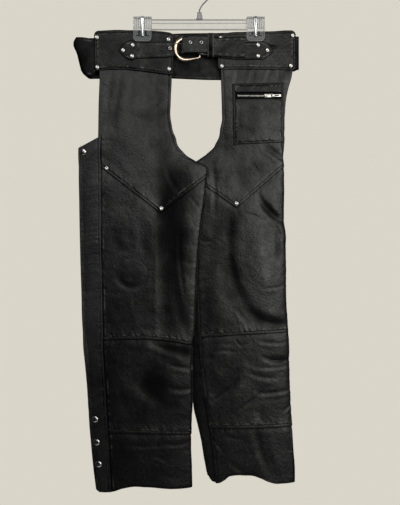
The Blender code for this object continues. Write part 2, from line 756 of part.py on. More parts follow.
# The snap flap, sewn over the front panels' outer edge. lap is how far it laps the front
# panels and reach how far its free edge lies beyond their outer edge.
FlapRow = namedtuple("FlapRow", "drop lap reach")
FLAP_ROWS = (
    FlapRow(350, 7.0, 43.5),
    FlapRow(425, 7.0, 44.5),
    FlapRow(589, 7.0, 42.5),
    FlapRow(718, 7.0, 41.6),
    FlapRow(796, 7.0, 40.6),
    FlapRow(908, 7.0, 36.6),
    FlapRow(1026, 7.0, 35.8),
    FlapRow(1170, 7.0, 28.5),
)
FLAP_SIZE = table_curves(FLAP_ROWS)
FLAP_LIFT = LEATHER + GAP + 0.4
FLAP_COLUMNS = (0.0, 0.16, 0.42, 0.7, 1.0)
FLAP_PLACES = 22
LEFT_FLAP_TOP = edge_line(((-276.0, 378.8), (-223.0, 351.0)))
LEFT_FLAP_HEM = edge_curve(((-236, 1157), (-231, 1163), (-222, 1166), (-198, 1164)))
LEFT_FLAP_TOP_GUESS = 365.0
FLAP_EDGE_INSIDE = 6.0
RIGHT_FLAP_TOP = 352.0
RIGHT_FLAP_CORNER = 372.0
RIGHT_FLAP_HEM = 1143.0
RIGHT_FLAP_LAP = 7.0
RIGHT_FLAP_LEAST = -5.0
RIGHT_FLAP_WIDTH = smooth_curve((350, 600, 900, 1150), (52.0, 50.0, 44.0, 36.0))


def distance_turn(leg, distance, drop):
    """Turn at a signed distance from the outer fold: positive on the front."""
    width = np.abs(leg.size["inner"](drop) - leg.size["outer"](drop))
    part = np.clip(np.abs(distance) / width, 0.0, 1.0)
    return np.sign(distance) * np.arccos(1.0 - 2.0 * part) / math.pi


def add_left_flap():
    """It lies on the front, and its free edge stands just past the leg's outer fold."""
    leg = LEFT
    across = np.array(FLAP_COLUMNS)
    rows = np.linspace(0.0, 1.0, FLAP_PLACES)
    points = np.zeros((len(rows), len(across), 3))
    for column, part in enumerate(across):
        top = LEFT_FLAP_TOP_GUESS
        bottom = HEM_GUESS
        for _ in range(SETTLING_STEPS):
            top = float(LEFT_FLAP_TOP(left_flap_x(part, top)))
            bottom = float(LEFT_FLAP_HEM(left_flap_x(part, bottom)))
        drops = top + (bottom - top) * rows
        x = left_flap_x(part, drops)
        fold = leg.size["outer"](drops)
        inside = np.maximum(x, fold + FLAP_EDGE_INSIDE)
        points[:, column] = leg.surface(leg.front_turn(inside, drops), drops)
        points[:, column, 0] = x
        points[:, column, 1] -= FLAP_LIFT
    add_sheet("left_flap", points, LEATHER, "leather")


def left_flap_x(part, drop):
    near = LEFT.size["outer"](drop) + LEFT.size["edge"](drop) + FLAP_SIZE["lap"](drop)
    far = near - FLAP_SIZE["lap"](drop) - FLAP_SIZE["reach"](drop)
    return far + (near - far) * part


def right_flap_distance(part, drop):
    """Distance round the back from the right leg's outer fold: part is 0 at the sewn edge."""
    near = np.minimum(RIGHT.size["edge"](drop) + RIGHT_FLAP_LAP, RIGHT_FLAP_LEAST)
    return near - RIGHT_FLAP_WIDTH(drop) * part


def add_right_flap():
    """The same flap on the other leg, where it lies round the back."""
    across = np.array(FLAP_COLUMNS)
    rows = np.linspace(0.0, 1.0, FLAP_PLACES)
    points = np.zeros((len(rows), len(across), 3))
    for column, part in enumerate(across):
        top = RIGHT_FLAP_TOP + (RIGHT_FLAP_CORNER - RIGHT_FLAP_TOP) * part
        drops = top + (RIGHT_FLAP_HEM - top) * rows
        turn = distance_turn(RIGHT, right_flap_distance(part, drops), drops)
        points[:, column] = RIGHT.surface(turn, drops, np.full(drops.shape, FLAP_LIFT))
    add_sheet("right_flap", points, LEATHER, "leather")


def add_legs():
    left_seams = (LEFT_POINTED_SEAM, LEFT_KNEE_SEAM, LEFT_SHIN_SEAM)
    right_seams = (RIGHT_POINTED_SEAM, RIGHT_KNEE_SEAM, RIGHT_SHIN_SEAM)
    add_front_panels("left", LEFT, LEFT_FRONT_COLUMNS, LEFT_POINT, left_seams, LEFT_HEM)
    add_front_panels("right", RIGHT, RIGHT_FRONT_COLUMNS, RIGHT_POINT, right_seams, RIGHT_HEM)
    add_back_panel("left", LEFT, LEFT_BACK_COLUMNS, back_top(0.78), LEFT_HEM)
    add_back_panel("right", RIGHT, RIGHT_BACK_COLUMNS, back_top(0.97), RIGHT_HEM)
    add_left_flap()
    add_right_flap()


# ---------------------------------------------------------------- pocket and zip

# Each side of the pocket runs between its x at the top and at the bottom.
POCKET_SIDES = ((77.5, 80.8), (194.0, 194.6))
POCKET_DROPS = (230.4, 368.0)
POCKET_TOP = edge_line(((76, 231.8), (196, 229.0)))
POCKET_BOTTOM = edge_line(((76, 370.5), (196, 365.5)))
POCKET_LIFT = LEATHER + GAP
POCKET_PUFF = 2.0
POCKET_PUFF_WIDTH = 5.0
POCKET_COLUMNS = (0.25, 0.42, 0.6, 0.78)
POCKET_ROWS = (285.0, 310.0, 335.0, 360.0)
POCKET_TOP_FADE = 15.0
POCKET_BOTTOM_FADE = 60.0
SLOT_X = (87.0, 189.0)
SLOT_TOP = 253.0
SLOT_BOTTOM = 265.6
TAPE_X = (84.5, 190.5)
TAPE_DROPS = (248.0, 270.5)
TAPE_LIFT = LEATHER / 2 + GAP + ZIP_TAPE / 2
ZIP_DROP = 259.4
TEETH_X = (89.0, 150.0)
TEETH_HALF = 1.9
TEETH_THICK = 1.5
SLIDER_X = (150.4, 166.9)
SLIDER_HALF = 4.2
SLIDER_THICK = 3.0
SLIDER_ROUNDING = 0.8
PULL_LENGTH = 20.5
PULL_HALF = 2.7
PULL_THICK = 1.4
PULL_AXIS_X = 167.8
PULL_AXIS_OUT = 0.95
SEAT_SLACK = 0.25


def pocket_side(x_pair, drop):
    return np.interp(drop, POCKET_DROPS, x_pair)


def pocket_lift(x, drop):
    """The pocket lies on the panel at its edges and stands off it inside them."""
    from_left = x - pocket_side(POCKET_SIDES[0], drop)
    from_side = np.minimum(from_left, pocket_side(POCKET_SIDES[1], drop) - x)
    from_end = np.minimum(drop - POCKET_TOP(x), POCKET_BOTTOM(x) - drop)
    inside = np.minimum(from_side, from_end)
    return POCKET_LIFT + POCKET_PUFF * ease(inside / POCKET_PUFF_WIDTH)


def on_right_front(x, drop, lift):
    """Point in front of the right leg's front panels."""
    points = RIGHT.surface(RIGHT.front_turn(x, drop), drop)
    points[..., 1] -= lift
    return points


def add_pocket():
    """A patch with a slot for its zip."""
    inner = pocket_side(POCKET_SIDES[0], SLOT_TOP)
    outer = pocket_side(POCKET_SIDES[1], SLOT_TOP)
    slot = [(x - inner) / (outer - inner) for x in SLOT_X]
    columns = np.array([0.0, 0.035, slot[0], *POCKET_COLUMNS, slot[1], 0.985, 1.0])
    top, bottom = POCKET_DROPS
    drops = np.array([top, top + 9.6, SLOT_TOP, SLOT_BOTTOM, *POCKET_ROWS, bottom])
    part, guess = np.meshgrid(columns, drops)
    left = pocket_side(POCKET_SIDES[0], guess)
    x = left + (pocket_side(POCKET_SIDES[1], guess) - left) * part
    to_bottom = ease((guess - SLOT_BOTTOM) / POCKET_BOTTOM_FADE)
    to_top = 1.0 - ease((guess - top) / POCKET_TOP_FADE)
    drop = guess + (POCKET_BOTTOM(x) - bottom) * to_bottom + (POCKET_TOP(x) - top) * to_top
    points = on_right_front(x, drop, pocket_lift(x, drop))

    def in_slot(row, column):
        return row == 2 and 2 <= column <= 6

    add_sheet("pocket", points, LEATHER, "leather", cut=in_slot)


def add_zip():
    """Tape, teeth, slider and pull tab."""
    x, drop = np.meshgrid(np.linspace(*TAPE_X, 8), np.linspace(*TAPE_DROPS, 4))
    add_sheet("zip_tape", on_right_front(x, drop, TAPE_LIFT), ZIP_TAPE, "zip_tape")
    tape_front = TAPE_LIFT + ZIP_TAPE / 2
    teeth_lift = tape_front + GAP + TEETH_THICK / 2
    drops = (ZIP_DROP - TEETH_HALF, ZIP_DROP, ZIP_DROP + TEETH_HALF)
    x, drop = np.meshgrid(np.linspace(*TEETH_X, 8), drops)
    add_sheet("zip_teeth", on_right_front(x, drop, teeth_lift), TEETH_THICK, "steel")
    middle = sum(SLIDER_X) / 2.0
    tape = on_right_front(np.array(middle), np.array(ZIP_DROP), tape_front)
    seat = float(tape[1]) - GAP - SEAT_SLACK
    front = seat - SLIDER_THICK
    add_block(
        "zip_slider", (SLIDER_X[0], front, -ZIP_DROP - SLIDER_HALF),
        (SLIDER_X[1], seat, -ZIP_DROP + SLIDER_HALF), SLIDER_ROUNDING, "steel",
    )
    add_pull(front - PULL_AXIS_OUT)


def add_pull(axis_y):
    """Flat tab whose round end is centred on its hinge, which is its origin."""
    shape = bmesh.new()
    half = PULL_THICK / 2.0
    outline = [(half * math.cos(angle), half * math.sin(angle))
               for angle in (math.pi / 2 + step * math.pi / 4 for step in range(5))]
    outline += [(PULL_LENGTH, -half), (PULL_LENGTH, half)]
    verts = [shape.verts.new((x * MM, y * MM, -PULL_HALF * MM)) for x, y in outline]
    face = shape.faces.new(verts)
    made = bmesh.ops.extrude_face_region(shape, geom=[face])
    moved = [item for item in made["geom"] if isinstance(item, bmesh.types.BMVert)]
    bmesh.ops.translate(shape, verts=moved, vec=(0, 0, 2 * PULL_HALF * MM))
    bmesh.ops.recalc_face_normals(shape, faces=shape.faces)
    item = add_object("zip_pull", mesh_from("zip_pull", shape), "steel")
    item.location = Vector((PULL_AXIS_X, axis_y, -ZIP_DROP)) * MM


# ---------------------------------------------------------------- waist pieces

def rounded_end(x, ends, radius):
    """How far a rounded corner takes an edge in, near either end."""
    inside = np.clip(np.minimum(x - ends[0], ends[1] - x), 0.0, radius)
    return radius - np.sqrt(radius ** 2 - (radius - inside) ** 2)


def yoke_points(ends, top, bottom, clip):
    """Grid of a yoke, with columns and a row just past the edges of its clip's jaw."""
    corner = np.array([0.0, 0.16, 0.5, 1.0]) * YOKE_CORNER
    places = clip + np.arange(-3, 4) * YOKE_COLUMN_STEP
    clear = 1.5 * YOKE_CORNER
    middle = places[(places > ends[0] + clear) & (places < ends[1] - clear)]
    xs = np.sort(np.concatenate((ends[0] + corner, middle, ends[1] - corner)))
    cut_in = rounded_end(xs, ends, YOKE_CORNER)
    upper = top(xs) + cut_in
    lower = bottom(xs) - cut_in
    drop = upper[None, :] + (lower - upper)[None, :] * np.array(YOKE_ROWS)[:, None]
    x = np.broadcast_to(xs, drop.shape)
    return np.stack((x, yoke_y(x, drop), -drop), axis=-1)


def add_yokes():
    left = yoke_points(YOKE_LEFT_X, YOKE_LEFT_TOP, YOKE_LEFT_BOTTOM, CLIP_X[0])
    add_sheet("left_yoke", left, YOKE_LEATHER, "leather")
    right = yoke_points(YOKE_RIGHT_X, YOKE_RIGHT_TOP, YOKE_RIGHT_BOTTOM, CLIP_X[1])
    add_sheet("right_yoke", right, YOKE_LEATHER, "leather")


def add_band():
    """Stretches of the band's loop with more columns round its two folds."""
    size = table_curves(BAND_ROWS)
    ways = np.concatenate((
        [0.0, 0.16, 0.36, 0.68], np.linspace(1.0, 2.0, 6), np.linspace(2.0, 3.0, 17)[1:-1],
        np.linspace(3.0, 4.0, 6), [4.35, 5.0],
    ))
    top = size["top"](ways)
    bottom = size["bottom"](ways)
    drop = top[None, :] + (bottom - top)[None, :] * np.linspace(0, 1, 6)[:, None]
    way = np.broadcast_to(np.minimum(ways, BAND_LAST_WAY), drop.shape)
    add_sheet("back_band", band_point(way, drop), BAND_LEATHER, "leather_dark")


def strap_grid(curves, xs, parts):
    """x and drop of a strap's grid: parts run across it from -1 to 1."""
    middle = curves["middle"](xs)
    half = curves["half"](xs)
    drop = middle[None, :] + half[None, :] * parts[:, None]
    x = np.broadcast_to(xs, drop.shape)
    return x, drop


def tip_strap_y(x, drop, curves):
    """It lies on the left yoke, then crosses to lie on the other strap."""
    off_yoke = ease((x - TIP_LEAVES_YOKE) / LEAVING)
    on_strap = ease((x - TIP_MEETS_STRAP + 2 * LEAVING) / (2 * LEAVING))
    lying = waist_y(x, drop) - ON_YOKE - ON_STRAP * on_strap
    free = off_yoke * (1.0 - on_strap)
    return lying * (1.0 - free) + curves["y"](x) * free


def prong_parts(middle, half):
    """Both edges of the prong's slot, as parts of a strap's half width."""
    return [(PRONG_DROP + side * PRONG_SLOT - middle) / half for side in (-1, 1)]


def add_tip_strap():
    curves = table_curves(TIP_STRAP)
    xs = np.array(TIP_COLUMNS, float)
    hole_x = sum(TIP_HOLE) / 2.0
    hole = prong_parts(float(curves["middle"](hole_x)), float(curves["half"](hole_x)))
    x, drop = strap_grid(curves, xs, np.array([-1.0, *hole, 0.0, 0.5, 1.0]))
    points = np.stack((x, tip_strap_y(x, drop, curves), -drop), axis=-1)

    def in_hole(row, column):
        return row == 1 and TIP_HOLE[0] <= xs[column] and xs[column + 1] <= TIP_HOLE[1]

    add_sheet("tip_strap", points, STRAP_LEATHER, "leather", cut=in_hole)


def buckle_strap_path():
    """x, y, middle and half width along the strap: from its riveted end to the buckle's heel
    bar, round the bar and back under itself."""
    curves = table_curves(tuple(reversed(BUCKLE_STRAP)))
    sections = []
    for x in BUCKLE_STRAP_COLUMNS:
        sections.append((x, None, float(curves["middle"](x)), float(curves["half"](x))))
    for angle in np.linspace(0.5, 1.5, HEEL_LOOP_STEPS) * math.pi:
        place = (HEEL_X + HEEL_LOOP * math.cos(angle), HEEL_Y - HEEL_LOOP * math.sin(angle))
        sections.append((*place, HEEL_LOOP_MIDDLE, HEEL_LOOP_HALF))
    for x in STRAP_RETURN:
        sections.append((x, HEEL_Y + HEEL_LOOP, HEEL_LOOP_MIDDLE, HEEL_LOOP_HALF))
    return sections, curves


def add_buckle_strap():
    sections, curves = buckle_strap_path()
    slot = prong_parts(HEEL_LOOP_MIDDLE, HEEL_LOOP_HALF)
    parts = np.array([-1.0, *slot, 0.0, 0.5, 1.0])
    points = np.zeros((len(parts), len(sections), 3))
    for column, (x, y, middle, half) in enumerate(sections):
        drop = middle + half * parts
        if y is None:
            on_yoke = waist_y(x, drop) - ON_YOKE
            off = float(curves["y"](x)) if x > STRAP_RETURN[0] else HEEL_Y - HEEL_LOOP
            part = float(ease((BUCKLE_STRAP_LEAVES_YOKE - x) / (2 * LEAVING)))
            y = on_yoke * (1.0 - part) + off * part
        points[:, column, 0] = x
        points[:, column, 1] = y
        points[:, column, 2] = -drop
    first = next(index for index, section in enumerate(sections) if section[1] is not None)

    def in_slot(row, column):
        return row == 1 and first - 1 <= column < first + HEEL_LOOP_STEPS

    add_sheet("buckle_strap", points, STRAP_LEATHER, "leather", cut=in_slot)


KEEPER_X = (20.9, 34.3)
KEEPER_Y = (-19.4, -2.2)
KEEPER_DROPS = (117.0, 172.4)
KEEPER_CORNER = 3.0
KEEPER_CORNER_STEPS = 4


def add_keeper():
    """Loop round both straps."""
    inset = KEEPER_LEATHER / 2
    centres = (
        (KEEPER_Y[0] + KEEPER_CORNER, KEEPER_DROPS[0] + KEEPER_CORNER, math.pi),
        (KEEPER_Y[1] - KEEPER_CORNER, KEEPER_DROPS[0] + KEEPER_CORNER, math.pi * 1.5),
        (KEEPER_Y[1] - KEEPER_CORNER, KEEPER_DROPS[1] - KEEPER_CORNER, 0.0),
        (KEEPER_Y[0] + KEEPER_CORNER, KEEPER_DROPS[1] - KEEPER_CORNER, math.pi * 0.5),
    )
    ring = []
    for y, drop, start in centres:
        for angle in start + np.linspace(0.0, math.pi / 2.0, KEEPER_CORNER_STEPS):
            reach = KEEPER_CORNER - inset
            ring.append((y + reach * math.cos(angle), drop + reach * math.sin(angle)))
    ring.append(ring[0])
    points = np.zeros((2, len(ring), 3))
    for row, x in enumerate(KEEPER_X):
        for column, (y, drop) in enumerate(ring):
            points[row, column] = (x, y, -drop)
    add_sheet("keeper", points, KEEPER_LEATHER, "leather", closed=True)


# The buckle's frame: its front bar lies over the tip strap, its arms go back to the heel bar.
BuckleRow = namedtuple("BuckleRow", "x y drop radius")
BUCKLE_FRAME = (
    BuckleRow(HEEL_X, HEEL_Y, 142.0, 2.2),
    BuckleRow(HEEL_X, HEEL_Y, 134.0, 2.2),
    BuckleRow(-10, -10.2, 130.2, 2.1),
    BuckleRow(-25, -11.6, 128.0, 2.1),
    BuckleRow(-38, -13.2, 129.4, 2.3),
    BuckleRow(-49, -15.2, 138.0, 2.6),
    BuckleRow(-52.8, -15.6, 152.0, 2.6),
    BuckleRow(-49, -15.2, 167.6, 2.6),
    BuckleRow(-38, -13.2, 175.4, 2.3),
    BuckleRow(-25, -11.6, 176.2, 2.1),
    BuckleRow(-10, -10.2, 174.0, 2.1),
    BuckleRow(HEEL_X, HEEL_Y, 171.0, 2.2),
    BuckleRow(HEEL_X, HEEL_Y, 163.0, 2.2),
)
PRONG_ROUTE = (
    (-10, -9.9), (-24, -12.0), (-37, -13.9), (-43, -15.9), (-48.5, -19.2), (-53.5, -20.0), (-56.5, -19.6),
)


BUCKLE_POINTS = 40
BUCKLE_WIDEST = 2.6
PRONG_POINTS = 14
PRONG_HOOK = (-60.0, 180.0)
PRONG_HOOK_POINTS = 8


def add_buckle():
    """Frame, and a prong hooked round its heel bar."""
    places = [(row.x, row.y, -row.drop) for row in BUCKLE_FRAME]
    points = smooth_path(places, BUCKLE_POINTS, cyclic=True)
    widths = smooth_path([(row.radius, 0, 0) for row in BUCKLE_FRAME], BUCKLE_POINTS, cyclic=True)
    radii = [min(width.x, BUCKLE_WIDEST) for width in widths]
    add_rod("buckle", points, radii, "brass", cyclic=True)
    hook = []
    for angle in np.radians(np.linspace(*PRONG_HOOK, PRONG_HOOK_POINTS)):
        x = HEEL_X + HEEL_LOOP * math.cos(angle)
        y = HEEL_Y + HEEL_LOOP * math.sin(angle)
        hook.append(Vector((x, y, -PRONG_DROP)))
    straight = [(x, y, -PRONG_DROP) for x, y in PRONG_ROUTE]
    points = hook + smooth_path(straight, PRONG_POINTS)
    add_rod("prong", points, [PRONG_RADIUS] * len(points), "brass")


# ---------------------------------------------------------------- rivets, snaps and eyelets

RIVET_RADIUS = 5.2
RIVET_PROFILE = ((0, 0), (RIVET_RADIUS, 0), (RIVET_RADIUS, 0.7), (3.6, 2.1), (0, 2.7))
SNAP_PROFILE = ((0, 0), (7.7, 0), (7.7, 0.9), (5.8, 2.4), (0, 3.4))
EYELET_PROFILE = ((2.0, 0.0), (4.3, 0.0), (4.3, 0.6), (3.2, 1.1), (2.0, 0.7))
RIVET_SIDES = 12
SNAP_SIDES = 12
RIVET_CURVE_SLACK = 0.05
SNAP_CURVE_SLACK = 0.45

YOKE_RIVETS = {
    "left_yoke": ((-232.8, 124.7), (-231.6, 193.9), (-68.8, 129.5), (-67.2, 197.8)),
    "right_yoke": ((51.3, 126.4), (53.4, 191.4), (215.6, 121.0), (211.0, 190.4)),
}
STRAP_RIVETS = {
    "tip_strap": ((-150.4, 143.5), (-172.5, 155.4), (-151.8, 168.8)),
    "buckle_strap": ((135.9, 143.4), (157.4, 155.4), (136.4, 168.8)),
}
EYELETS = ((-64.9, 150.7), (-18.4, 138.9), (6.4, 138.9))
FRONT_RIVETS = {"left": ((-209.8, 424.8), (-84.6, 517.0)), "right": ((87.2, 505.0),)}
LEFT_SNAPS = ((-263.1, 386.9), (-235.4, 998.7), (-231.6, 1050.9), (-227.2, 1101.2))
RIGHT_SNAP_DROPS = (378.0, 990.0, 1040.0, 1090.0)
RIGHT_SNAP_IN = 10.0


def front_normal(height, x, drop):
    """Outward direction of a front surface y = height(x, drop)."""
    xs = np.array([x + 1.0, x - 1.0, x, x])
    drops = np.array([drop, drop, drop + 1.0, drop - 1.0])
    right, left, below, above = (float(y) for y in height(xs, drops))
    return Vector(((right - left) / 2.0, -1.0, (above - below) / 2.0)).normalized()


def seat_on(height, x, drop, cover):
    """Place and direction of a cap that lies GAP above a leather cover over height."""
    out = front_normal(height, x, drop)
    base = Vector((x, float(height(np.array(x), np.array(drop))), -drop))
    return base + out * (cover + GAP), out


def add_waist_rivets():
    for yoke, places in YOKE_RIVETS.items():
        for number, (x, drop) in enumerate(places, start=1):
            place, out = seat_on(yoke_y, x, drop, YOKE_LEATHER / 2)
            add_turned(f"{yoke}_rivet_{number}", RIVET_PROFILE, RIVET_SIDES, place, out, "steel")
    for strap, places in STRAP_RIVETS.items():
        for number, (x, drop) in enumerate(places, start=1):
            place, out = seat_on(waist_y, x, drop, ON_YOKE + STRAP_LEATHER / 2)
            add_turned(f"{strap}_rivet_{number}", RIVET_PROFILE, RIVET_SIDES, place, out, "steel")


def add_eyelets():
    curves = table_curves(TIP_STRAP)

    def height(x, drop):
        return tip_strap_y(x, drop, curves)

    for number, (x, drop) in enumerate(EYELETS, start=1):
        place, out = seat_on(height, x, drop, STRAP_LEATHER / 2)
        add_ring(f"eyelet_{number}", EYELET_PROFILE, SNAP_SIDES, place, out, "steel")


def add_leg_rivets():
    for side, leg in (("left", LEFT), ("right", RIGHT)):
        def height(x, drop, leg=leg):
            return leg.surface(leg.front_turn(x, drop), drop)[..., 1]

        for number, (x, drop) in enumerate(FRONT_RIVETS[side], start=1):
            place, out = seat_on(height, x, drop, LEATHER / 2 + RIVET_CURVE_SLACK)
            add_turned(f"{side}_front_rivet_{number}", RIVET_PROFILE, RIVET_SIDES, place, out, "steel")


def add_snaps():
    def height(x, drop):
        fold = LEFT.size["outer"](drop)
        inside = np.maximum(x, fold + FLAP_EDGE_INSIDE)
        return LEFT.surface(LEFT.front_turn(inside, drop), drop)[..., 1]

    for number, (x, drop) in enumerate(LEFT_SNAPS, start=1):
        place, out = seat_on(height, x, drop, FLAP_LIFT + LEATHER / 2 + SNAP_CURVE_SLACK)
        add_turned(f"left_snap_{number}", SNAP_PROFILE, SNAP_SIDES, place, out, "steel")
    for number, drop in enumerate(RIGHT_SNAP_DROPS, start=1):
        drop = np.array(drop)
        distance = right_flap_distance(1.0, drop) + RIGHT_SNAP_IN
        turn = distance_turn(RIGHT, distance, drop)
        lift = FLAP_LIFT + LEATHER / 2 + GAP + SNAP_CURVE_SLACK
        base = Vector(RIGHT.surface(turn, drop))
        place = Vector(RIGHT.surface(turn, drop, np.array(lift)))
        add_turned(f"right_snap_{number}", SNAP_PROFILE, SNAP_SIDES, place, place - base, "steel")


# ---------------------------------------------------------------- the hanger

BAR_X = (-107.2, 109.7)
BAR_DROPS = (82.0, 106.2)
BAR_THICK = 6.0
JAW_DROPS = (77.0, 133.4)
JAW_INNER = 3.9
JAW_THICK = 3.6
JAW_CORNER = 9.0
CLIP_ROOF = 103.0
HOOK_WIRE = 1.6
HOOK_RADIUS = 24.6
NECK_X = 2.0
NECK_PROFILE = ((0, 0), (8.0, 0), (7.4, 4), (5.4, 14), (4.6, 16.2), (0, 16.2))
NECK_DROP = 81.7
NECK_SIDES = 14
BAR_ROUNDING = 1.5
JAW_CORNER_STEPS = 4
SLOT_PAST = 20.0
SPRING_HALF = 3.5
SPRING_DROP = 118.0
SPRING_THICK = 1.2
HOOK_POINTS = 14
HOOK_ANGLES = (-28.0, 172.0)
STEM_POINTS = 10
STEM_ROUTE = ((NECK_X, -65.2), (3.2, -58.0), (8.5, -49.0), (16.0, -41.0))


def add_bar():
    """Flat bar between the clips."""
    low = (BAR_X[0], -BAR_THICK / 2, -BAR_DROPS[1])
    high = (BAR_X[1], BAR_THICK / 2, -BAR_DROPS[0])
    add_block("hanger_bar", low, high, BAR_ROUNDING, "clear_plastic")
    foot = (NECK_X, 0, -NECK_DROP)
    add_turned("hanger_neck", NECK_PROFILE, NECK_SIDES, foot, (0, 0, 1), "clear_plastic")


def add_clips():
    """Each clip is one piece: two jaws over the waist, joined above it."""
    for side, middle in zip(("left", "right"), CLIP_X):
        outline = clip_outline(middle)
        item = jaw_slab(f"{side}_clip", outline)
        slot = jaw_slot(f"{side}_clip_slot", middle)
        cut = item.modifiers.new("slot", "BOOLEAN")
        cut.operation = "DIFFERENCE"
        cut.solver = "EXACT"
        cut.object = slot


def clip_outline(middle):
    """Front view of a clip: square at the top, round at the lower corners."""
    half = CLIP_WIDTH / 2
    outline = [(middle + half, -JAW_DROPS[0]), (middle - half, -JAW_DROPS[0])]
    for side, start in ((-1, math.pi), (1, math.pi * 1.5)):
        centre = (middle + side * (half - JAW_CORNER), -JAW_DROPS[1] + JAW_CORNER)
        for angle in start + np.linspace(0.0, math.pi / 2.0, JAW_CORNER_STEPS):
            x = centre[0] + JAW_CORNER * math.cos(angle)
            outline.append((x, centre[1] + JAW_CORNER * math.sin(angle)))
    return outline


def jaw_slab(node, outline):
    """Solid clip, before its slot is cut."""
    depth = JAW_INNER + JAW_THICK
    shape = bmesh.new()
    verts = [shape.verts.new((x * MM, -depth * MM, z * MM)) for x, z in outline]
    face = shape.faces.new(verts)
    made = bmesh.ops.extrude_face_region(shape, geom=[face])
    moved = [item for item in made["geom"] if isinstance(item, bmesh.types.BMVert)]
    bmesh.ops.translate(shape, verts=moved, vec=(0, 2 * depth * MM, 0))
    bmesh.ops.recalc_face_normals(shape, faces=shape.faces)
    return add_object(node, mesh_from(node, shape), "clear_plastic")


def jaw_slot(node, middle):
    """Cutter for the space that the waist's leather fills."""
    shape = bmesh.new()
    bmesh.ops.create_cube(shape, size=1.0)
    height = JAW_DROPS[1] - CLIP_ROOF + SLOT_PAST
    size = Vector((CLIP_WIDTH + SLOT_PAST, 2 * JAW_INNER, height)) * MM
    bmesh.ops.scale(shape, vec=size, verts=shape.verts)
    item = add_object(node, mesh_from(node, shape), "clear_plastic")
    item.location = Vector((middle, 0, -CLIP_ROOF - height / 2)) * MM
    item.hide_render = True
    item.display_type = "WIRE"
    return item


def add_springs():
    """Flat steel spring over each clip, from the front jaw to the back one."""
    out = JAW_INNER + JAW_THICK + GAP + SPRING_THICK / 2
    roof = JAW_DROPS[0] - GAP - SPRING_THICK / 2
    for side, middle in zip(("left", "right"), CLIP_X):
        route = [(-out, SPRING_DROP), (-out, roof), (out, roof), (out, SPRING_DROP)]
        points = np.zeros((2, len(route), 3))
        for row, x in enumerate((middle - SPRING_HALF, middle + SPRING_HALF)):
            for column, (y, drop) in enumerate(route):
                points[row, column] = (x, y, -drop)
        add_sheet(f"{side}_clip_spring", points, SPRING_THICK, "steel")


def add_hook():
    """Wire that leaves the neck, swings to one side and turns over the rail."""
    centre = HOOK_WIRE - HOOK_RADIUS
    loop = []
    for angle in np.radians(np.linspace(*HOOK_ANGLES, HOOK_POINTS)):
        z = centre + HOOK_RADIUS * math.sin(angle)
        loop.append(Vector((HOOK_RADIUS * math.cos(angle), 0, z)))
    route = [(x, 0, z) for x, z in STEM_ROUTE] + [loop[0]]
    points = smooth_path(route, STEM_POINTS) + loop[1:]
    add_rod("hanger_hook", points, [HOOK_WIRE] * len(points), "steel")


# ---------------------------------------------------------------- the whole part

clear_scene()
add_legs()
add_pocket()
add_zip()
add_yokes()
add_band()
add_tip_strap()
add_buckle_strap()
add_keeper()
add_buckle()
add_waist_rivets()
add_eyelets()
add_leg_rivets()
add_snaps()
add_bar()
add_clips()
add_springs()
add_hook()
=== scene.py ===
"""Leather chaps hanging from a clip hanger: the surfaces that show.

Sizes are in millimetres: x runs across the garment as seen from its front, y from the front
(-) to the back (+), and drop is the depth below the inside top of the hanger's hook. Left and
right are as seen from the front.
"""
import math
from collections import namedtuple
from contextlib import contextmanager
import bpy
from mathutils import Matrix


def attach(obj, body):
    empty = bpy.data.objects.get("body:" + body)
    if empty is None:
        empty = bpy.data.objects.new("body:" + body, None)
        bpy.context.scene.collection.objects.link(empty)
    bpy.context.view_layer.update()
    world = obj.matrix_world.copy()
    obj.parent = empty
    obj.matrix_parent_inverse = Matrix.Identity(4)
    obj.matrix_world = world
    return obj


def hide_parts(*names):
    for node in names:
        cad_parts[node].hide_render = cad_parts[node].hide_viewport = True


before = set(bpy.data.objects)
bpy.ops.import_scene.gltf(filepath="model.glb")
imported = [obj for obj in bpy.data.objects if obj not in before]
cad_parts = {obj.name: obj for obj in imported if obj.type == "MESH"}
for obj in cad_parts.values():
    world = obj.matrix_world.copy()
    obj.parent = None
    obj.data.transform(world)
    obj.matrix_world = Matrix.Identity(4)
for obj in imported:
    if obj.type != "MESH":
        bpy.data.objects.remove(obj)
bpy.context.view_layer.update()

from types import SimpleNamespace

import bmesh
import bpy
import numpy as np
from mathutils import Matrix, Vector

MM = 0.001
BODY = "chaps"
GAP = 0.3

# Thickness of each kind of leather, and of the zip's tape.
LEATHER = 1.4
YOKE_LEATHER = 3.0
BAND_LEATHER = 3.0
STRAP_LEATHER = 2.6
KEEPER_LEATHER = 1.8
ZIP_TAPE = 1.0


# ---------------------------------------------------------------- curves through tables

def ease(value):
    """Smooth step from 0 to 1."""
    part = np.clip(value, 0.0, 1.0)
    return part * part * (3.0 - 2.0 * part)


def fade(value):
    """Smooth step from 1 to 0."""
    return 1.0 - ease(value)


def hump(away, half):
    """Bell shape: 1 in its middle, and its half width."""
    return np.exp(-(away / half) ** 2)


def blend(first, second, part):
    return first * (1.0 - part) + second * part


def smooth_curve(keys, values):
    """Curve through the rows of a table, smooth and with no overshoot between two rows."""
    keys, values = np.asarray(keys, float), np.asarray(values, float)
    steps = np.diff(keys)
    slopes = np.diff(values) / steps
    before, after = np.append(slopes[0], slopes), np.append(slopes, slopes[-1])
    tangents = (before + after) / 2.0
    tangents[1:-1][slopes[1:] * slopes[:-1] <= 0.0] = 0.0
    limit = 3.0 * np.minimum(np.abs(before), np.abs(after))
    tangents = np.clip(tangents, -limit, limit)

    def at(where):
        where = np.clip(np.asarray(where, float), keys[0], keys[-1])
        row = np.clip(np.searchsorted(keys, where, side="right") - 1, 0, len(steps) - 1)
        step = steps[row]
        part = (where - keys[row]) / step
        start = values[row] + part * step * tangents[row]
        end = values[row + 1] - (1.0 - part) * step * tangents[row + 1]
        return start + (end - start) * ease(part)

    return at


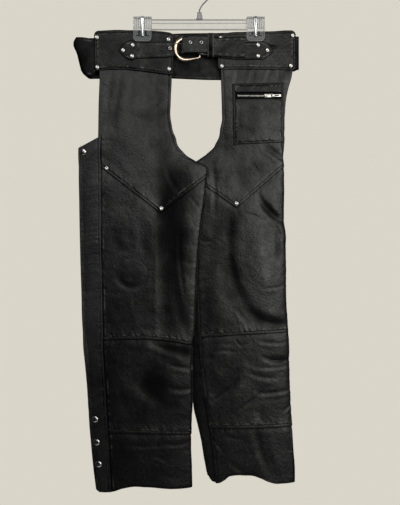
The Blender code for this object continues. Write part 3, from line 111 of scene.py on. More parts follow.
def table(row_type, *rows):
    """Rows with named columns."""
    return tuple(row_type(*row) for row in rows)


def table_curves(rows):
    """One smooth curve for each column of a table, over its first column."""
    keys, *columns = zip(*rows)
    names = rows[0]._fields[1:]
    return SimpleNamespace(**{name: smooth_curve(keys, column) for name, column in zip(names, columns)})


def edge_line(points):
    """Straight-sided edge: drop against x."""
    xs, drops = zip(*points)
    return lambda x: np.interp(x, xs, drops)


def edge_curve(points):
    """Curved edge: drop against x."""
    return smooth_curve(*zip(*points))


def shifted(edge, amount):
    return lambda x: edge(x) + amount


def level(drop):
    return lambda x: np.full(np.shape(x), float(drop))


# ---------------------------------------------------------------- unevenness of worn leather

TABLE_SIZE = 256
FAR_AWAY = 4096.0


def lattice(where, step):
    """Cell that a place lies in, and how far across it."""
    place = np.asarray(where, float) / step + FAR_AWAY
    cell = np.floor(place).astype(int)
    return cell, ease(place - cell)


def random_line(where, step, seed):
    """Smooth random height from -1 to 1 along a line, with a new value every step."""
    values = np.random.default_rng(seed).uniform(-1.0, 1.0, TABLE_SIZE)
    cell, part = lattice(where, step)
    return blend(values[cell % TABLE_SIZE], values[(cell + 1) % TABLE_SIZE], part)


def random_field(x, y, size, seed):
    """Smooth random height from -1 to 1 over a surface, with a new value every size."""
    values = np.random.default_rng(seed).uniform(-1.0, 1.0, (TABLE_SIZE, TABLE_SIZE))
    column, right = lattice(x, size)
    row, low = lattice(y, size)

    def across(row):
        start = values[row % TABLE_SIZE, column % TABLE_SIZE]
        return blend(start, values[row % TABLE_SIZE, (column + 1) % TABLE_SIZE], right)

    return blend(across(row), across(row + 1), low)


# Waves of a hide that has been worn, each turned a little and longer one way.
Wave = namedtuple("Wave", "size height turn stretch")
WAVES = table(
    Wave,
    (64.0, 0.9, 0.5, 1.6),
    (31.0, 0.6, -0.4, 1.3),
    (15.0, 0.3, 0.9, 1.2),
    (7.0, 0.1, 0.2, 1.0),
)


def hide_waves(x, drop, seed, amount=1.0):
    total = np.zeros(np.broadcast(x, drop).shape)
    for number, wave in enumerate(WAVES):
        cos, sin = math.cos(wave.turn), math.sin(wave.turn)
        over = (drop * cos - x * sin) / wave.stretch
        total += wave.height * random_field(x * cos + drop * sin, over, wave.size, seed * 10 + number)
    return total * amount


# A crease runs from its start past its bend to its end. width is its half width. depth is how
# far it sinks in, and less than 0 for a ridge. lip is the height of the ridge that it pushes
# up beside it, as a part of its depth: below a crease that runs to the right, or left of one
# that runs down, and on the other side if it is less than 0.
Crease = namedtuple("Crease", "start bend end width depth lip")
CREASE_STEPS = 14
CREASE_REACH = 3.2
CREASE_END = 0.06
LIP_PLACE = 1.7
LIP_WIDTH = 0.9


def bent_path(line, steps):
    """Points from a line's start past its bend to its end."""
    start, bend, end = (np.array(point, float) for point in (line.start, line.bend, line.end))
    parts = np.linspace(0.0, 1.0, steps)[:, None]
    return start * (1 - parts) ** 2 + bend * 2 * parts * (1 - parts) + end * parts ** 2


def nearest(path, place):
    """Distance of places from a path, how far along it they are from 0 to 1, and their side."""
    best = np.full(len(place), 1e9)
    along = np.zeros(len(place))
    side = np.zeros(len(place))
    for number, (first, second) in enumerate(zip(path[:-1], path[1:])):
        step = second - first
        offset = place - first
        part = np.clip(offset @ step / (step @ step), 0.0, 1.0)
        away = offset - part[:, None] * step
        distance = np.hypot(away[:, 0], away[:, 1])
        closer = distance < best
        best[closer] = distance[closer]
        along[closer] = (number + part[closer]) / (len(path) - 1)
        cross = step[0] * offset[:, 1] - step[1] * offset[:, 0]
        side[closer] = np.sign(cross[closer])
    return best, along, side


def crease_heights(creases, x, drop):
    """Height of a surface that a table of creases marks."""
    total = np.zeros(x.shape)
    for crease in creases:
        path = bent_path(crease, CREASE_STEPS)
        reach = crease.width * CREASE_REACH * (1.0 + abs(crease.lip))
        low = path.min(axis=0) - reach
        high = path.max(axis=0) + reach
        near = (x > low[0]) & (x < high[0]) & (drop > low[1]) & (drop < high[1])
        if not near.any():
            continue
        best, along, side = nearest(path, np.stack((x[near], drop[near]), axis=-1))
        strength = np.sin(math.pi * (CREASE_END + (1 - 2 * CREASE_END) * along)) ** 0.7
        height = -crease.depth * hump(best, crease.width)
        if crease.lip:
            on_side = best * side * np.sign(crease.lip) / crease.width
            height += abs(crease.lip) * crease.depth * hump(on_side - LIP_PLACE, LIP_WIDTH)
        total[near] += height * strength
    return total


# Half widths of the painted shade line along a cut edge and along a row of stitches, and the
# length of the beads of painted highlight beside such a row.
EDGE_SHADE = 0.8
ROW_SHADE = 0.85
BEAD = 4.4


def groove(distance, at, depth=0.45, half=0.8):
    """Line that a row of stitches pulls in, at a distance from an edge."""
    return -depth * hump(distance - at, half)


def seam_shade(inside, *rows):
    """Painted shade: 1 in the lines that stitches pull in and along a cut edge, 0 away from them."""
    shade = hump(np.maximum(inside, 0.0), EDGE_SHADE)
    for row in rows:
        shade = np.maximum(shade, hump(inside - row, ROW_SHADE))
    return shade


def glints(inside, along, row, seed, amount):
    """Painted highlights in beads along a line, taken off the mark of painted seam shade."""
    beads = np.maximum(random_line(along, BEAD, seed) + 0.25, 0.0)
    runs = 0.6 + 0.4 * random_line(along, 37.0, seed + 1)
    return -amount * beads * runs * hump(inside - row, 1.2)


def puckers(along, away, reach, height, seed, step=6.5, tilt=0.35):
    """Small uneven gathers beside a row of stitches: away is the distance from the row."""
    place = along + away * tilt + 2.0 * random_line(along, 23.0, seed + 2)
    strength = 0.65 + 0.35 * random_line(along, 41.0, seed + 1)
    lift = random_line(place, step, seed) * strength * height
    return lift * hump(away, reach) * ease(away / 1.5 + 0.4)


def gathers(inside, row, along, seed, beyond, before, second, step=6.5):
    """Gathers on both sides of a row of stitches: beyond it, and between it and the edge. Each is
    a reach and a height. second is the seed's shift for those before the row."""
    away = inside - row
    height = puckers(along, np.abs(away), *beyond, seed, step) * (away > 0)
    return height + puckers(along, np.abs(away), *before, seed + second) * (away <= 0)


def dimples(places, x, drop, depth=0.7, radius=9.0):
    """Hollows that rivets and snaps press in."""
    total = np.zeros(x.shape)
    for place in places:
        away = np.hypot(x - place[0], drop - place[1])
        total -= depth * hump(away, radius)
    return total


# ---------------------------------------------------------------- building meshes

def new_object(name, mesh):
    item = bpy.data.objects.new(name, mesh)
    bpy.context.scene.collection.objects.link(item)
    return item


def finish_piece(item, material, slot, *nodes, body=BODY):
    """Gives a piece its material and its body, and hides the nodes that it stands for."""
    item.data.materials.clear()
    item.data.materials.append(material)
    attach(item, body)
    if nodes:
        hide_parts(*nodes)
    return item


def set_mark(mesh, name, values):
    """Number for each vertex, for a material to read."""
    mark = mesh.attributes.new(name, "FLOAT", "POINT")
    mark.data.foreach_set("value", np.asarray(values, np.float32).ravel())


def grid_mesh(name, points, marks=None, cut=None, closed=False):
    """Mesh through a grid of points (rows, columns, 3) in millimetres. cut(row, column) says
    which cells are left open. marks are grids of numbers for the material."""
    rows, columns = points.shape[:2]
    shape = bmesh.new()
    bmesh.ops.create_grid(shape, x_segments=columns - 1, y_segments=rows - 1, size=1.0)
    mesh = bpy.data.meshes.new(name)
    shape.to_mesh(mesh)
    shape.free()
    flat = np.zeros(len(mesh.vertices) * 3)
    mesh.vertices.foreach_get("co", flat)
    flat = flat.reshape(-1, 3)
    column = np.rint((flat[:, 0] + 1.0) / 2.0 * (columns - 1)).astype(int)
    row = np.rint((flat[:, 1] + 1.0) / 2.0 * (rows - 1)).astype(int)
    mesh.vertices.foreach_set("co", (points[row, column] * MM).ravel())
    for mark, values in (marks or {}).items():
        set_mark(mesh, mark, values[row, column])
    mesh.update()
    if cut:
        with edited(mesh) as shape:
            open_cells = []
            for face in shape.faces:
                corner = min(row[vert.index] * columns + column[vert.index] for vert in face.verts)
                if cut(corner // columns, corner % columns):
                    open_cells.append(face)
            bmesh.ops.delete(shape, geom=open_cells, context="FACES")
    if closed:
        with edited(mesh) as shape:
            bmesh.ops.remove_doubles(shape, verts=shape.verts, dist=WELD)
    return mesh


WELD = 0.02 * MM
RIM_ANGLE = math.radians(55.0)


@contextmanager
def edited(mesh):
    """A mesh as a bmesh, which is written back after the block."""
    shape = bmesh.new()
    shape.from_mesh(mesh)
    yield shape
    shape.to_mesh(mesh)
    shape.free()


def add_wall(item, thickness, rounding):
    """Thickness round a middle surface, with its cut edges rounded off."""
    with edited(item.data) as shape:
        bmesh.ops.recalc_face_normals(shape, faces=shape.faces)
    item.data.shade_smooth()
    wall = item.modifiers.new("wall", "SOLIDIFY")
    wall.thickness = thickness * MM
    wall.offset = 0.0
    edge = item.modifiers.new("rounded edge", "BEVEL")
    edge.width = rounding * MM
    edge.segments = 2
    edge.limit_method = "ANGLE"
    edge.angle_limit = RIM_ANGLE
    edge.use_clamp_overlap = True


# A kind of leather: its wall's thickness, how far its edges are rounded, its slot and material.
Hide = namedtuple("Hide", "thickness rounding slot material")


def add_hide(node, placed, plain, marks, hide, cut=None, closed=False):
    """A leather piece from the points of its middle surface. plain, the surface without its creases, is not
    used."""
    mesh = grid_mesh(node + "_hide", placed, marks, cut, closed)
    item = new_object(mesh.name, mesh)
    add_wall(item, hide.thickness, hide.rounding)
    finish_piece(item, hide.material, hide.slot, node)


def even_parts(curve, count):
    """Places from 0 to 1 that cut a curve of points into even lengths."""
    fine = np.linspace(0.0, 1.0, 900)
    points = curve(fine)
    steps = np.linalg.norm(np.diff(points, axis=0), axis=-1)
    lengths = np.concatenate(([0.0], np.cumsum(steps)))
    return np.interp(np.linspace(0.0, lengths[-1], count), lengths, fine)


def banded_rows(upper, lower, band, fine, coarse):
    """Drops of the rows between two edges: closer together near both of them."""
    near = np.arange(0.0, band, fine)[:, None]
    inner = lower - upper - 2.0 * band
    steps = max(2, int(math.ceil(inner.max() / coarse)))
    middle = upper + band + inner * np.linspace(0.0, 1.0, steps + 1)[:, None]
    return np.concatenate((upper + near, middle, lower - near[::-1]))


def moved(points, out):
    """Points moved out to the front."""
    points = points.copy()
    points[..., 1] -= out
    return points


def even_rows(upper, lower, count):
    """Drops of rows spread evenly between two edges."""
    return upper + (lower - upper) * np.linspace(0.0, 1.0, count)[:, None]


def spaced(keys, counts):
    """Places from the first key to the last, each stretch in its own number of even steps."""
    stretches = [np.linspace(*ends, endpoint=False) for ends in zip(keys, keys[1:], counts)]
    return np.concatenate(stretches + [keys[-1:]])


def arc(x, y, radius, start, end, count):
    """Points on an arc between two angles in degrees."""
    angles = np.radians(np.linspace(start, end, count))
    return [(x + radius * math.cos(angle), y + radius * math.sin(angle)) for angle in angles]


# ---------------------------------------------------------------- the legs' sizes

# Shape of a leg's section: 1 is round, and less is flatter with tighter folds at its sides.
SECTION_POWER = 0.9

# One row for each section of a leg. outer and inner are the x of its two folds. edge is how
# far the front panels' outer edge lies from the outer fold, and inseam how far the inseam
# lies from the inner fold: both are positive on the front and negative round the back.
# mid_outer and mid_inner are the y of the section's middle plane at its two folds, front
# and back the depth of each side in the middle of the leg.
LegRow = namedtuple("LegRow", "drop outer inner edge inseam mid_outer mid_inner front back")

LEFT_LEG = table(
    LegRow,
    (185, -272.0, -61.5, 45.0, 0.0, -6.2, -6.2, 0.2, 0.2),
    (212, -272.3, -61.2, 45.6, 0.0, -7.3, -7.3, 0.3, 0.3),
    (281, -273.0, -63.7, 44.0, 0.0, -6.5, -7.8, 2.5, 1.0),
    (322, -273.0, -61.2, 43.5, 0.0, -5.8, -8.2, 4.0, 2.0),
    (354, -273.0, -52.0, 43.0, 0.0, -5.0, -8.8, 5.5, 4.0),
    (389, -273.0, -33.4, 42.0, 0.0, -4.0, -9.6, 7.5, 6.0),
    (408, -272.8, -8.0, 42.5, -2.5, -3.4, -10.0, 8.5, 7.0),
    (424, -272.6, 19.6, 43.0, -6.0, -3.0, -10.4, 9.5, 8.0),
    (447, -272.2, 17.3, 42.5, -6.0, -2.4, -10.6, 11.0, 9.5),
    (490, -271.2, 13.8, 42.0, -6.0, -1.4, -10.8, 14.0, 12.0),
    (589, -269.0, 1.2, 40.0, -6.0, -0.6, -11.0, 17.0, 15.0),
    (718, -265.6, -6.2, 39.4, -6.0, 0.0, -11.0, 17.0, 15.0),
    (796, -263.4, -9.2, 38.8, -6.0, 0.0, -11.0, 16.0, 14.5),
    (853, -258.2, -14.4, 34.4, -6.0, 0.0, -11.0, 16.0, 14.5),
    (908, -254.5, -15.9, 34.4, -6.0, 0.0, -10.5, 16.0, 14.5),
    (961, -250.3, -14.7, 33.4, -6.0, 0.0, -10.0, 15.5, 14.0),
    (1026, -247.0, -17.3, 34.0, -6.0, 0.0, -9.0, 15.0, 13.5),
    (1125, -238.0, -16.5, 30.4, -6.0, 0.0, -8.0, 15.0, 13.5),
    (1170, -231.5, -15.9, 26.5, -6.0, 0.0, -8.0, 15.5, 14.0),
)

RIGHT_LEG = table(
    LegRow,
    (185, 216.5, 50.6, 0.0, 0.0, -6.2, -6.2, 0.2, 0.2),
    (212, 214.0, 51.0, 0.0, 0.0, -7.3, -7.3, 0.3, 0.3),
    (248, 204.2, 52.2, 0.0, 0.0, -6.9, -7.0, 1.5, 1.0),
    (294, 198.6, 53.6, 0.0, 0.0, -6.4, -5.5, 3.0, 2.0),
    (334, 197.0, 49.9, 0.0, 0.0, -5.6, -2.5, 4.5, 3.0),
    (366, 196.2, 39.3, -2.0, 0.0, -4.8, 1.0, 6.0, 5.0),
    (386, 195.0, 23.5, -7.0, 0.0, -4.2, 4.0, 7.0, 6.0),
    (408, 194.0, -6.9, -14.0, 0.0, -3.6, 7.0, 8.5, 7.0),
    (430, 195.0, -32.0, -19.0, 0.0, -3.0, 9.0, 10.0, 8.0),
    (447, 195.4, -30.0, -20.0, 1.0, -2.4, 10.0, 11.0, 9.5),
    (490, 196.2, -26.0, -20.0, 5.0, -1.4, 10.5, 14.0, 12.0),
    (538, 195.8, -24.0, -19.0, 7.5, -1.0, 10.5, 16.0, 14.0),
    (589, 200.4, -22.0, -18.5, 10.0, -0.6, 10.5, 17.0, 15.0),
    (718, 201.8, -20.0, -17.5, 13.5, 0.0, 10.5, 17.0, 15.0),
    (813, 206.4, -17.0, -16.0, 16.0, 0.0, 10.5, 16.0, 14.5),
    (908, 209.6, -15.0, -13.0, 22.0, 0.0, 10.0, 16.0, 14.5),
    (961, 212.0, -12.7, -11.5, 27.0, 0.0, 9.5, 15.5, 14.0),
    (1017, 214.2, -2.3, -9.5, 26.0, 0.0, 9.0, 15.0, 13.5),
    (1065, 217.0, 7.1, -8.0, 23.0, 0.0, 8.0, 15.0, 13.5),
    (1118, 221.0, 16.6, -6.0, 18.0, 0.0, 7.0, 15.0, 13.5),
    (1148, 221.2, 24.0, -5.0, 15.0, 0.0, 6.5, 15.5, 14.0),
)

# Each leg's largest folds, as soft troughs in its front. A trough runs from its start past
# its bend to its end; width is its half width and depth how far it sinks in. skew makes the
# side on the right of a fold that runs down wider, and its other side steeper.
Fold = namedtuple("Fold", "start bend end width depth skew")

LEFT_FOLDS = table(
    Fold,
    ((-78, 380), (-66, 540), (-68, 856), 28, 5.4, 0.3),
    ((-100, 232), (-92, 310), (-80, 440), 9, 0.9, 0.4),
    ((-196, 215), (-198, 300), (-206, 370), 11, 1.5, 0),
    ((-86, 832), (-50, 840), (-10, 852), 13, 2.2, 0),
    ((-138, 884), (-100, 915), (-62, 944), 24, 2.4, 0),
    ((-200, 572), (-190, 600), (-172, 628), 20, 0.8, 0),
    ((-112, 545), (-116, 590), (-118, 640), 13, 0.8, 0),
)

RIGHT_FOLDS = table(
    Fold,
    ((76, 515), (50, 680), (122, 760), 18, 3.6, -0.4),
    ((62, 505), (54, 610), (74, 715), 31, 2.3, -0.2),
    ((106, 744), (150, 785), (201, 785), 13, 3.6, -0.2),
    ((138, 485), (160, 530), (196, 548), 8, 3.2, 0),
    ((160, 868), (180, 864), (205, 868), 7, 3.0, 0),
    ((88, 905), (62, 930), (36, 955), 11, 3.0, 0),
)

# The edges between the front panels: drop against x. The pointed seams turn at their points.
LEFT_POINT = (-86.3, 528.5)
RIGHT_POINT = (86.9, 516.0)
LEFT_POINTED_SEAM = edge_line(((-224.0, 422.0), LEFT_POINT, (20.0, 445.0)))
LEFT_KNEE_SEAM = edge_curve(((-212, 818.0), (-128, 815.0), (-88, 817.5), (-12, 829.0)))
LEFT_SHIN_SEAM = edge_curve(((-208, 1030.0), (-110, 1031.0), (-16, 1032.5)))
LEFT_HEM = edge_curve(
    ((-236, 1158), (-222, 1166), (-194, 1163.5), (-172, 1156), (-120, 1152), (-60, 1156), (-14, 1154))
)
RIGHT_POINTED_SEAM = edge_line(((-34.0, 430.0), RIGHT_POINT, (218.0, 401.5)))
RIGHT_KNEE_SEAM = edge_curve(((-2, 813.5), (93, 806.5), (206, 800.0)))
RIGHT_SHIN_SEAM = edge_curve(((22, 1021.5), (120, 1020.0), (214, 1015.5)))
RIGHT_HEM = edge_curve(
    ((21, 1133), (36, 1147), (60, 1139.5), (73, 1130), (107, 1128), (142, 1134), (160, 1142),
     (193, 1146), (222, 1144.5))
)

PANEL_TOP = 187.0

# Rounds in which a panel's corner is moved until it lies on its edge.
SETTLING_STEPS = 30

# The front's folds fade out this quickly near the leg's sides.
FOLD_FADE = 4.0

# Steps over which a surface's slope is measured: in turns, and in millimetres down.
SLOPE_TURN = 0.01
SLOPE_DROP = 2.0


class Leg:
    """A flattened tube. turn is 0 at its outer fold, 1 at its inner fold and 2 at the outer
    fold again: the front lies between 0 and 1 and the back between 1 and 2. It has the curves
    of its table. side is the sign of X from the outer fold to the inner one, shade how dark the
    painted shade in its hollows is, and the last number how far painted shade darkens its lower part."""

    def __init__(self, rows, folds, seed, shade, dull):
        vars(self).update(vars(table_curves(rows)))
        self.side = float(np.sign(rows[0].inner - rows[0].outer))
        self.folds = folds
        self.seed = seed
        self.shade = shade
        self.dull = dull

    def width(self, drop):
        return np.abs(self.inner(drop) - self.outer(drop))

    def turn_at(self, distance, drop):
        """The turn of a place on the front, or behind if its distance from the fold is under 0."""
        part = np.clip(np.abs(distance) / self.width(drop), 0.0, 1.0)
        return np.sign(distance) * np.arccos(1.0 - 2.0 * part) / math.pi

    def front_turn(self, x, drop):
        return self.turn_at(np.maximum(self.side * (x - self.outer(drop)), 0.0), drop)

    def across(self, turn, drop):
        """x of a place, and its x with what is round a fold laid out flat."""
        outer, inner = self.outer(drop), self.inner(drop)
        x = outer + (inner - outer) * (1.0 - np.cos(math.pi * turn)) / 2.0
        flat = np.where(turn < 0.0, 2.0 * outer - x, x)
        return x, np.where(turn > 1.0, 2.0 * inner - x, flat)

    def from_edge(self, x, drop):
        """How far a place laid flat lies inside the front panels' outer edge."""
        return self.side * (x - self.outer(drop)) - self.edge(drop)

    def from_inseam(self, x, drop):
        """How far a place laid flat lies inside the inseam."""
        return self.side * (self.inner(drop) - x) - self.inseam(drop)

    def sink(self, x, drop):
        """How far the folds push the front in."""
        return np.max([trough(fold, x, drop) for fold in self.folds], axis=0)

    def surface(self, turn, drop, lift=0.0):
        """Points of the wall's middle surface, or lift outside it."""
        turn, drop = np.asarray(turn, float), np.asarray(drop, float)
        points = self.plain_surface(turn, drop)
        if np.any(lift):
            along = self.plain_surface(turn + SLOPE_TURN, drop) - self.plain_surface(turn - SLOPE_TURN, drop)
            down = self.plain_surface(turn, drop + SLOPE_DROP) - self.plain_surface(turn, drop - SLOPE_DROP)
            out = np.cross(along, down)
            out /= np.linalg.norm(out, axis=-1, keepdims=True)
            points -= out * (self.side * np.asarray(lift))[..., None]
        return points

    def plain_surface(self, turn, drop):
        outer, inner = self.outer(drop), self.inner(drop)
        x, _ = self.across(turn, drop)
        middle = blend(self.mid_outer(drop), self.mid_inner(drop), (x - outer) / (inner - outer))
        bulge = np.sin(math.pi * turn)
        round_out = np.sign(bulge) * np.abs(bulge) ** SECTION_POWER
        front = np.maximum(round_out, 0.0) * self.front(drop)
        back = np.maximum(-round_out, 0.0) * self.back(drop)
        on_front = ease(np.clip(bulge, 0.0, 1.0) * FOLD_FADE)
        y = middle - front + back + self.sink(x, drop) * on_front
        return np.stack(np.broadcast_arrays(x, y, -drop), axis=-1)


# Part of a fold over which it starts and ends, how much its depth varies, and how often.
FOLD_END = 0.04
FOLD_ROUNDNESS = 1.4
FOLD_UNEVEN = 0.28
FOLD_CHANGE = 0.17


def trough(fold, x, drop):
    """Depth of one fold at a place: it fades out to both sides and at both ends."""
    x, drop = np.broadcast_arrays(x, drop)
    place = np.stack((x.ravel(), drop.ravel()), axis=-1)
    away, along, side = nearest(bent_path(fold, CREASE_STEPS), place)
    width = fold.width * (1.0 - fold.skew * side)
    along = FOLD_END + (1.0 - 2.0 * FOLD_END) * along
    strength = fold.depth * np.sin(math.pi * along) ** 0.75
    strength *= (1.0 + FOLD_UNEVEN * random_line(along, FOLD_CHANGE, int(fold.width * 7)))
    return (strength * hump(away, width) ** (1.0 / FOLD_ROUNDNESS)).reshape(x.shape)


# The last two numbers are the strength of the painted shade in the hollows and on the lower leg.
LEFT = Leg(LEFT_LEG, LEFT_FOLDS, 11, 1.35, 0.38)
RIGHT = Leg(RIGHT_LEG, RIGHT_FOLDS, 61, 0.62, 0.05)


# ---------------------------------------------------------------- seams of the legs

# How far a panel runs on under the one that laps it, and how it sinks there. A lapping edge is
# lifted, rolled over at its rim and stitched.
TUCK = 8.0
TUCK_SINK = 0.75
TUCK_FADE = 12.0
TUCK_DEEP = 1.1
LAP_LIFT = 0.75
LAP_FLAT = 8.0
LAP_FADE = 17.0
ROLL = 1.6
ROLL_DROP = 0.5
SEAM_STITCH = 6.4
HEM_STITCH = 4.0
CROTCH_DROP = 430.0

# A front panel's rows lie FINE_STEP apart near its seams and DOWN_STEP apart between them.
SEAM_BAND = 15.0
FINE_STEP = 0.85
DOWN_STEP = 3.2
FRONT_COLUMNS = 120
SLOPE_REACH = 2.0


def edge_steepness(edge, x):
    """How much longer an edge is than its reach along X."""
    slope = (edge(x + SLOPE_REACH) - edge(x - SLOPE_REACH)) / (2.0 * SLOPE_REACH)
    return np.sqrt(1.0 + slope ** 2)


def seam_distance(edge, x, drop):
    """How far a place lies above an edge, square to it, and where it lies along it."""
    steep = edge_steepness(edge, x)
    return (edge(x) - drop) / steep, x * steep


def lap(inside):
    """How far a panel's edge is lifted over its neighbour."""
    return LAP_LIFT * fade((inside - LAP_FLAT) / LAP_FADE)


def rim_roll(inside):
    return -ROLL_DROP * fade(inside / ROLL)


def lapped_seam(inside, along, seed, strength=1.0):
    """A lapped edge with its row of stitches and the gathers beyond it."""
    beyond, before = (10.0, 0.95 * strength), (3.5, 0.3 * strength)
    height = groove(inside, SEAM_STITCH) + rim_roll(inside)
    return height + gathers(inside, SEAM_STITCH, along, seed, beyond, before, 5, 5.5)


def tucked_seam(inside, along, seed):
    """The neighbour below a lapped edge, deeper out of sight. The edge's stitches gather it too."""
    height = -TUCK_SINK * fade(inside / TUCK_FADE) - TUCK_DEEP * ease(-inside / 2.5)
    return height + puckers(along, np.maximum(inside, 0.0), 9.0, 0.5, seed)


# ---------------------------------------------------------------- creases of the front

LEFT_TOP_CREASES = table(
    Crease,
    ((-194, 207), (-204, 248), (-210, 308), 9, 1.26, 0.5),
    ((-176, 207), (-185, 255), (-194, 324), 9, 1.47, 0.5),
    ((-148, 212), (-155, 255), (-158, 301), 7.5, 0.56, 0),
    ((-112, 216), (-118, 267), (-116, 336), 13.5, 0.49, 0),
    ((-107, 267), (-93, 347), (-82, 423), 18, 0.91, 0.3),
    ((-70, 432), (-63, 453), (-47, 476), 6, 1.19, 0.5),
    ((-47, 382), (-40, 405), (-22, 432), 12, 0.77, 0),
)
LEFT_THIGH_CREASES = table(
    Crease,
    ((-95, 543), (-98, 658), (-98, 796), 6.9, -0.75, 0),
    ((-43, 570), (-47, 639), (-29, 727), 4.6, 0.98, 0.3),
    ((-20, 490), (-8, 504), (3, 520), 3.4, 0.83, 0.4),
    ((-15, 552), (-6, 559), (3, 564), 2.9, 0.52, 0),
    ((-24, 603), (-10, 598), (1, 603), 3.4, 0.52, 0),
    ((-33, 639), (-20, 646), (-1, 639), 4.6, 0.83, 0.3),
    ((-197, 580), (-183, 600), (-164, 621), 10.3, 0.98, -0.5),
    ((-199, 568), (-187, 570), (-171, 580), 5.8, 0.52, 0),
    ((-130, 552), (-135, 596), (-118, 619), 9.2, 0.83, 0.4),
    ((-148, 708), (-148, 727), (-146, 752), 2.9, 0.3, 0),
    ((-52, 704), (-40, 754), (-20, 805), 12.6, 1.65, 0.3),
    ((-185, 639), (-171, 630), (-148, 635), 4.6, 0.45, 0),
)
LEFT_KNEE_CREASES = table(
    Crease,
    ((-109, 823), (-70, 839), (-13, 851), 8, 1.82, 0.4),
    ((-63, 874), (-38, 881), (-13, 883), 4.6, 1.23, 0.4),
    ((-61, 929), (-38, 934), (-13, 925), 5.8, 1.43, 0.5),
    ((-146, 915), (-107, 931), (-63, 977), 14.9, 1.82, 0.3),
    ((-155, 892), (-146, 881), (-130, 876), 3.4, 0.72, 0.4),
    ((-61, 987), (-47, 977), (-31, 987), 3.4, -0.59, 0),
    ((-183, 844), (-146, 835), (-112, 844), 4.6, 0.39, 0),
    ((-185, 899), (-178, 957), (-160, 982), 9.2, 0.59, 0),
    ((-112, 892), (-89, 906), (-52, 904), 10.3, -0.59, 0),
)
LEFT_HEM_CREASES = table(
    Crease,
    ((-197, 1056), (-135, 1063), (-20, 1053), 4.4, 0.77, 0.3),
    ((-112, 1086), (-93, 1076), (-68, 1097), 4.4, 0.49, 0.3),
    ((-77, 1051), (-54, 1065), (-24, 1049), 3.3, 0.56, 0),
    ((-185, 1113), (-162, 1127), (-135, 1122), 6.6, 0.49, 0),
    ((-112, 1118), (-77, 1136), (-31, 1127), 8.8, 0.56, 0),
)
LEFT_FLAP_CREASES = table(
    Crease,
    ((-266, 897), (-250, 892), (-229, 881), 3, 1.8, -0.6),
    ((-266, 922), (-250, 918), (-229, 906), 3, 1.6, -0.6),
    ((-261, 954), (-245, 954), (-224, 936), 3.5, 2.0, -0.6),
    ((-259, 987), (-240, 975), (-222, 966), 6, 2.5, -0.4),
    ((-261, 407), (-247, 396), (-231, 382), 3, 0.9, 0.4),
    ((-256, 425), (-243, 409), (-229, 400), 3, 0.7, 0),
    ((-256, 846), (-245, 842), (-229, 830), 3, 0.7, 0),
)
RIGHT_TOP_CREASES = table(
    Crease,
    ((128, 202), (128, 221), (118, 237), 6.5, 2, 0.4),
    ((89, 202), (86, 221), (79, 248), 5.2, 1.38, 0),
    ((167, 198), (160, 214), (153, 232), 5.2, 1.53, 0.3),
    ((185, 198), (178, 216), (190, 239), 3.9, 1.38, 0),
    ((54, 216), (56, 290), (59, 382), 6.5, 0.92, 0),
    ((151, 375), (169, 384), (197, 407), 6.5, 2, 0.4),
    ((121, 414), (130, 423), (141, 437), 3.9, 1.06, 0.3),
    ((33, 414), (40, 462), (36, 529), 6.5, 1.53, 0.3),
    ((95, 382), (91, 428), (95, 474), 11.7, 1.06, 0),
)
RIGHT_THIGH_CREASES = table(
    Crease,
    ((76, 528), (63, 600), (76, 660), 12, 0.8, -0.3),
    ((76, 660), (90, 722), (124, 760), 12, 1.0, -0.3),
    ((118, 756), (150, 783), (204, 784), 12, 1.1, -0.4),
    ((102, 527), (128, 531), (155, 545), 3.4, 0.75, -0.4),
    ((135, 485), (151, 522), (199, 550), 5.8, 1.3, -0.5),
    ((178, 563), (185, 600), (183, 630), 7, 1.5, -0.3),
    ((176, 559), (190, 575), (201, 603), 3.4, 0.83, 0.4),
    ((144, 699), (174, 704), (204, 688), 2.9, 0.75, 0.4),
    ((6, 591), (17, 596), (31, 593), 2.9, 0.68, 0.4),
    ((61, 630), (52, 688), (68, 731), 13.8, 0.68, 0),
    ((132, 560), (130, 640), (165, 715), 24, -2.4, 0),
    ((182, 545), (190, 560), (202, 590), 10, -1.2, 0),
    ((84, 743), (102, 764), (118, 787), 5.8, 0.68, 0.3),
    ((36, 531), (29, 612), (22, 704), 9.2, 0.45, 0),
    ((34, 550), (32, 660), (44, 800), 25, -1.7, 0),
)
RIGHT_KNEE_CREASES = table(
    Crease,
    ((135, 819), (164, 828), (208, 823), 3.9, 1.0, 0.5),
    ((144, 856), (169, 869), (210, 862), 4.4, 1.5, 0.4),
    ((128, 879), (160, 885), (210, 876), 3.9, 1.2, 0.3),
    ((114, 892), (146, 908), (181, 904), 5.5, 1.1, 0.3),
    ((135, 938), (164, 943), (213, 931), 4.4, 1.4, 0.4),
    ((91, 908), (68, 936), (31, 961), 4.4, 1.53, 0.5),
    ((139, 941), (118, 961), (93, 977), 4.4, 1.27, 0.4),
    ((29, 849), (54, 837), (84, 846), 3.9, 0.77, 0.3),
    ((40, 830), (72, 823), (109, 837), 3.3, 0.59, 0),
    ((194, 982), (204, 975), (215, 959), 3.3, 0.94, 0.4),
    ((86, 819), (95, 837), (112, 826), 3.3, 0.77, 0.4),
    ((146, 966), (132, 984), (146, 1005), 6.6, 0.68, 0),
)
RIGHT_HEM_CREASES = table(
    Crease,
    ((132, 1030), (139, 1072), (158, 1113), 8, 1.3, 0.3),
    ((160, 1040), (178, 1095), (194, 1141), 9, -0.9, 0),
    ((36, 1049), (45, 1063), (59, 1076), 3, 0.7, 0.3),
    ((59, 1037), (84, 1049), (109, 1040), 4, 0.7, 0),
    ((70, 1097), (95, 1118), (116, 1129), 6, 0.8, 0.3),
    ((194, 1040), (204, 1067), (213, 1083), 5, 0.8, 0),
)

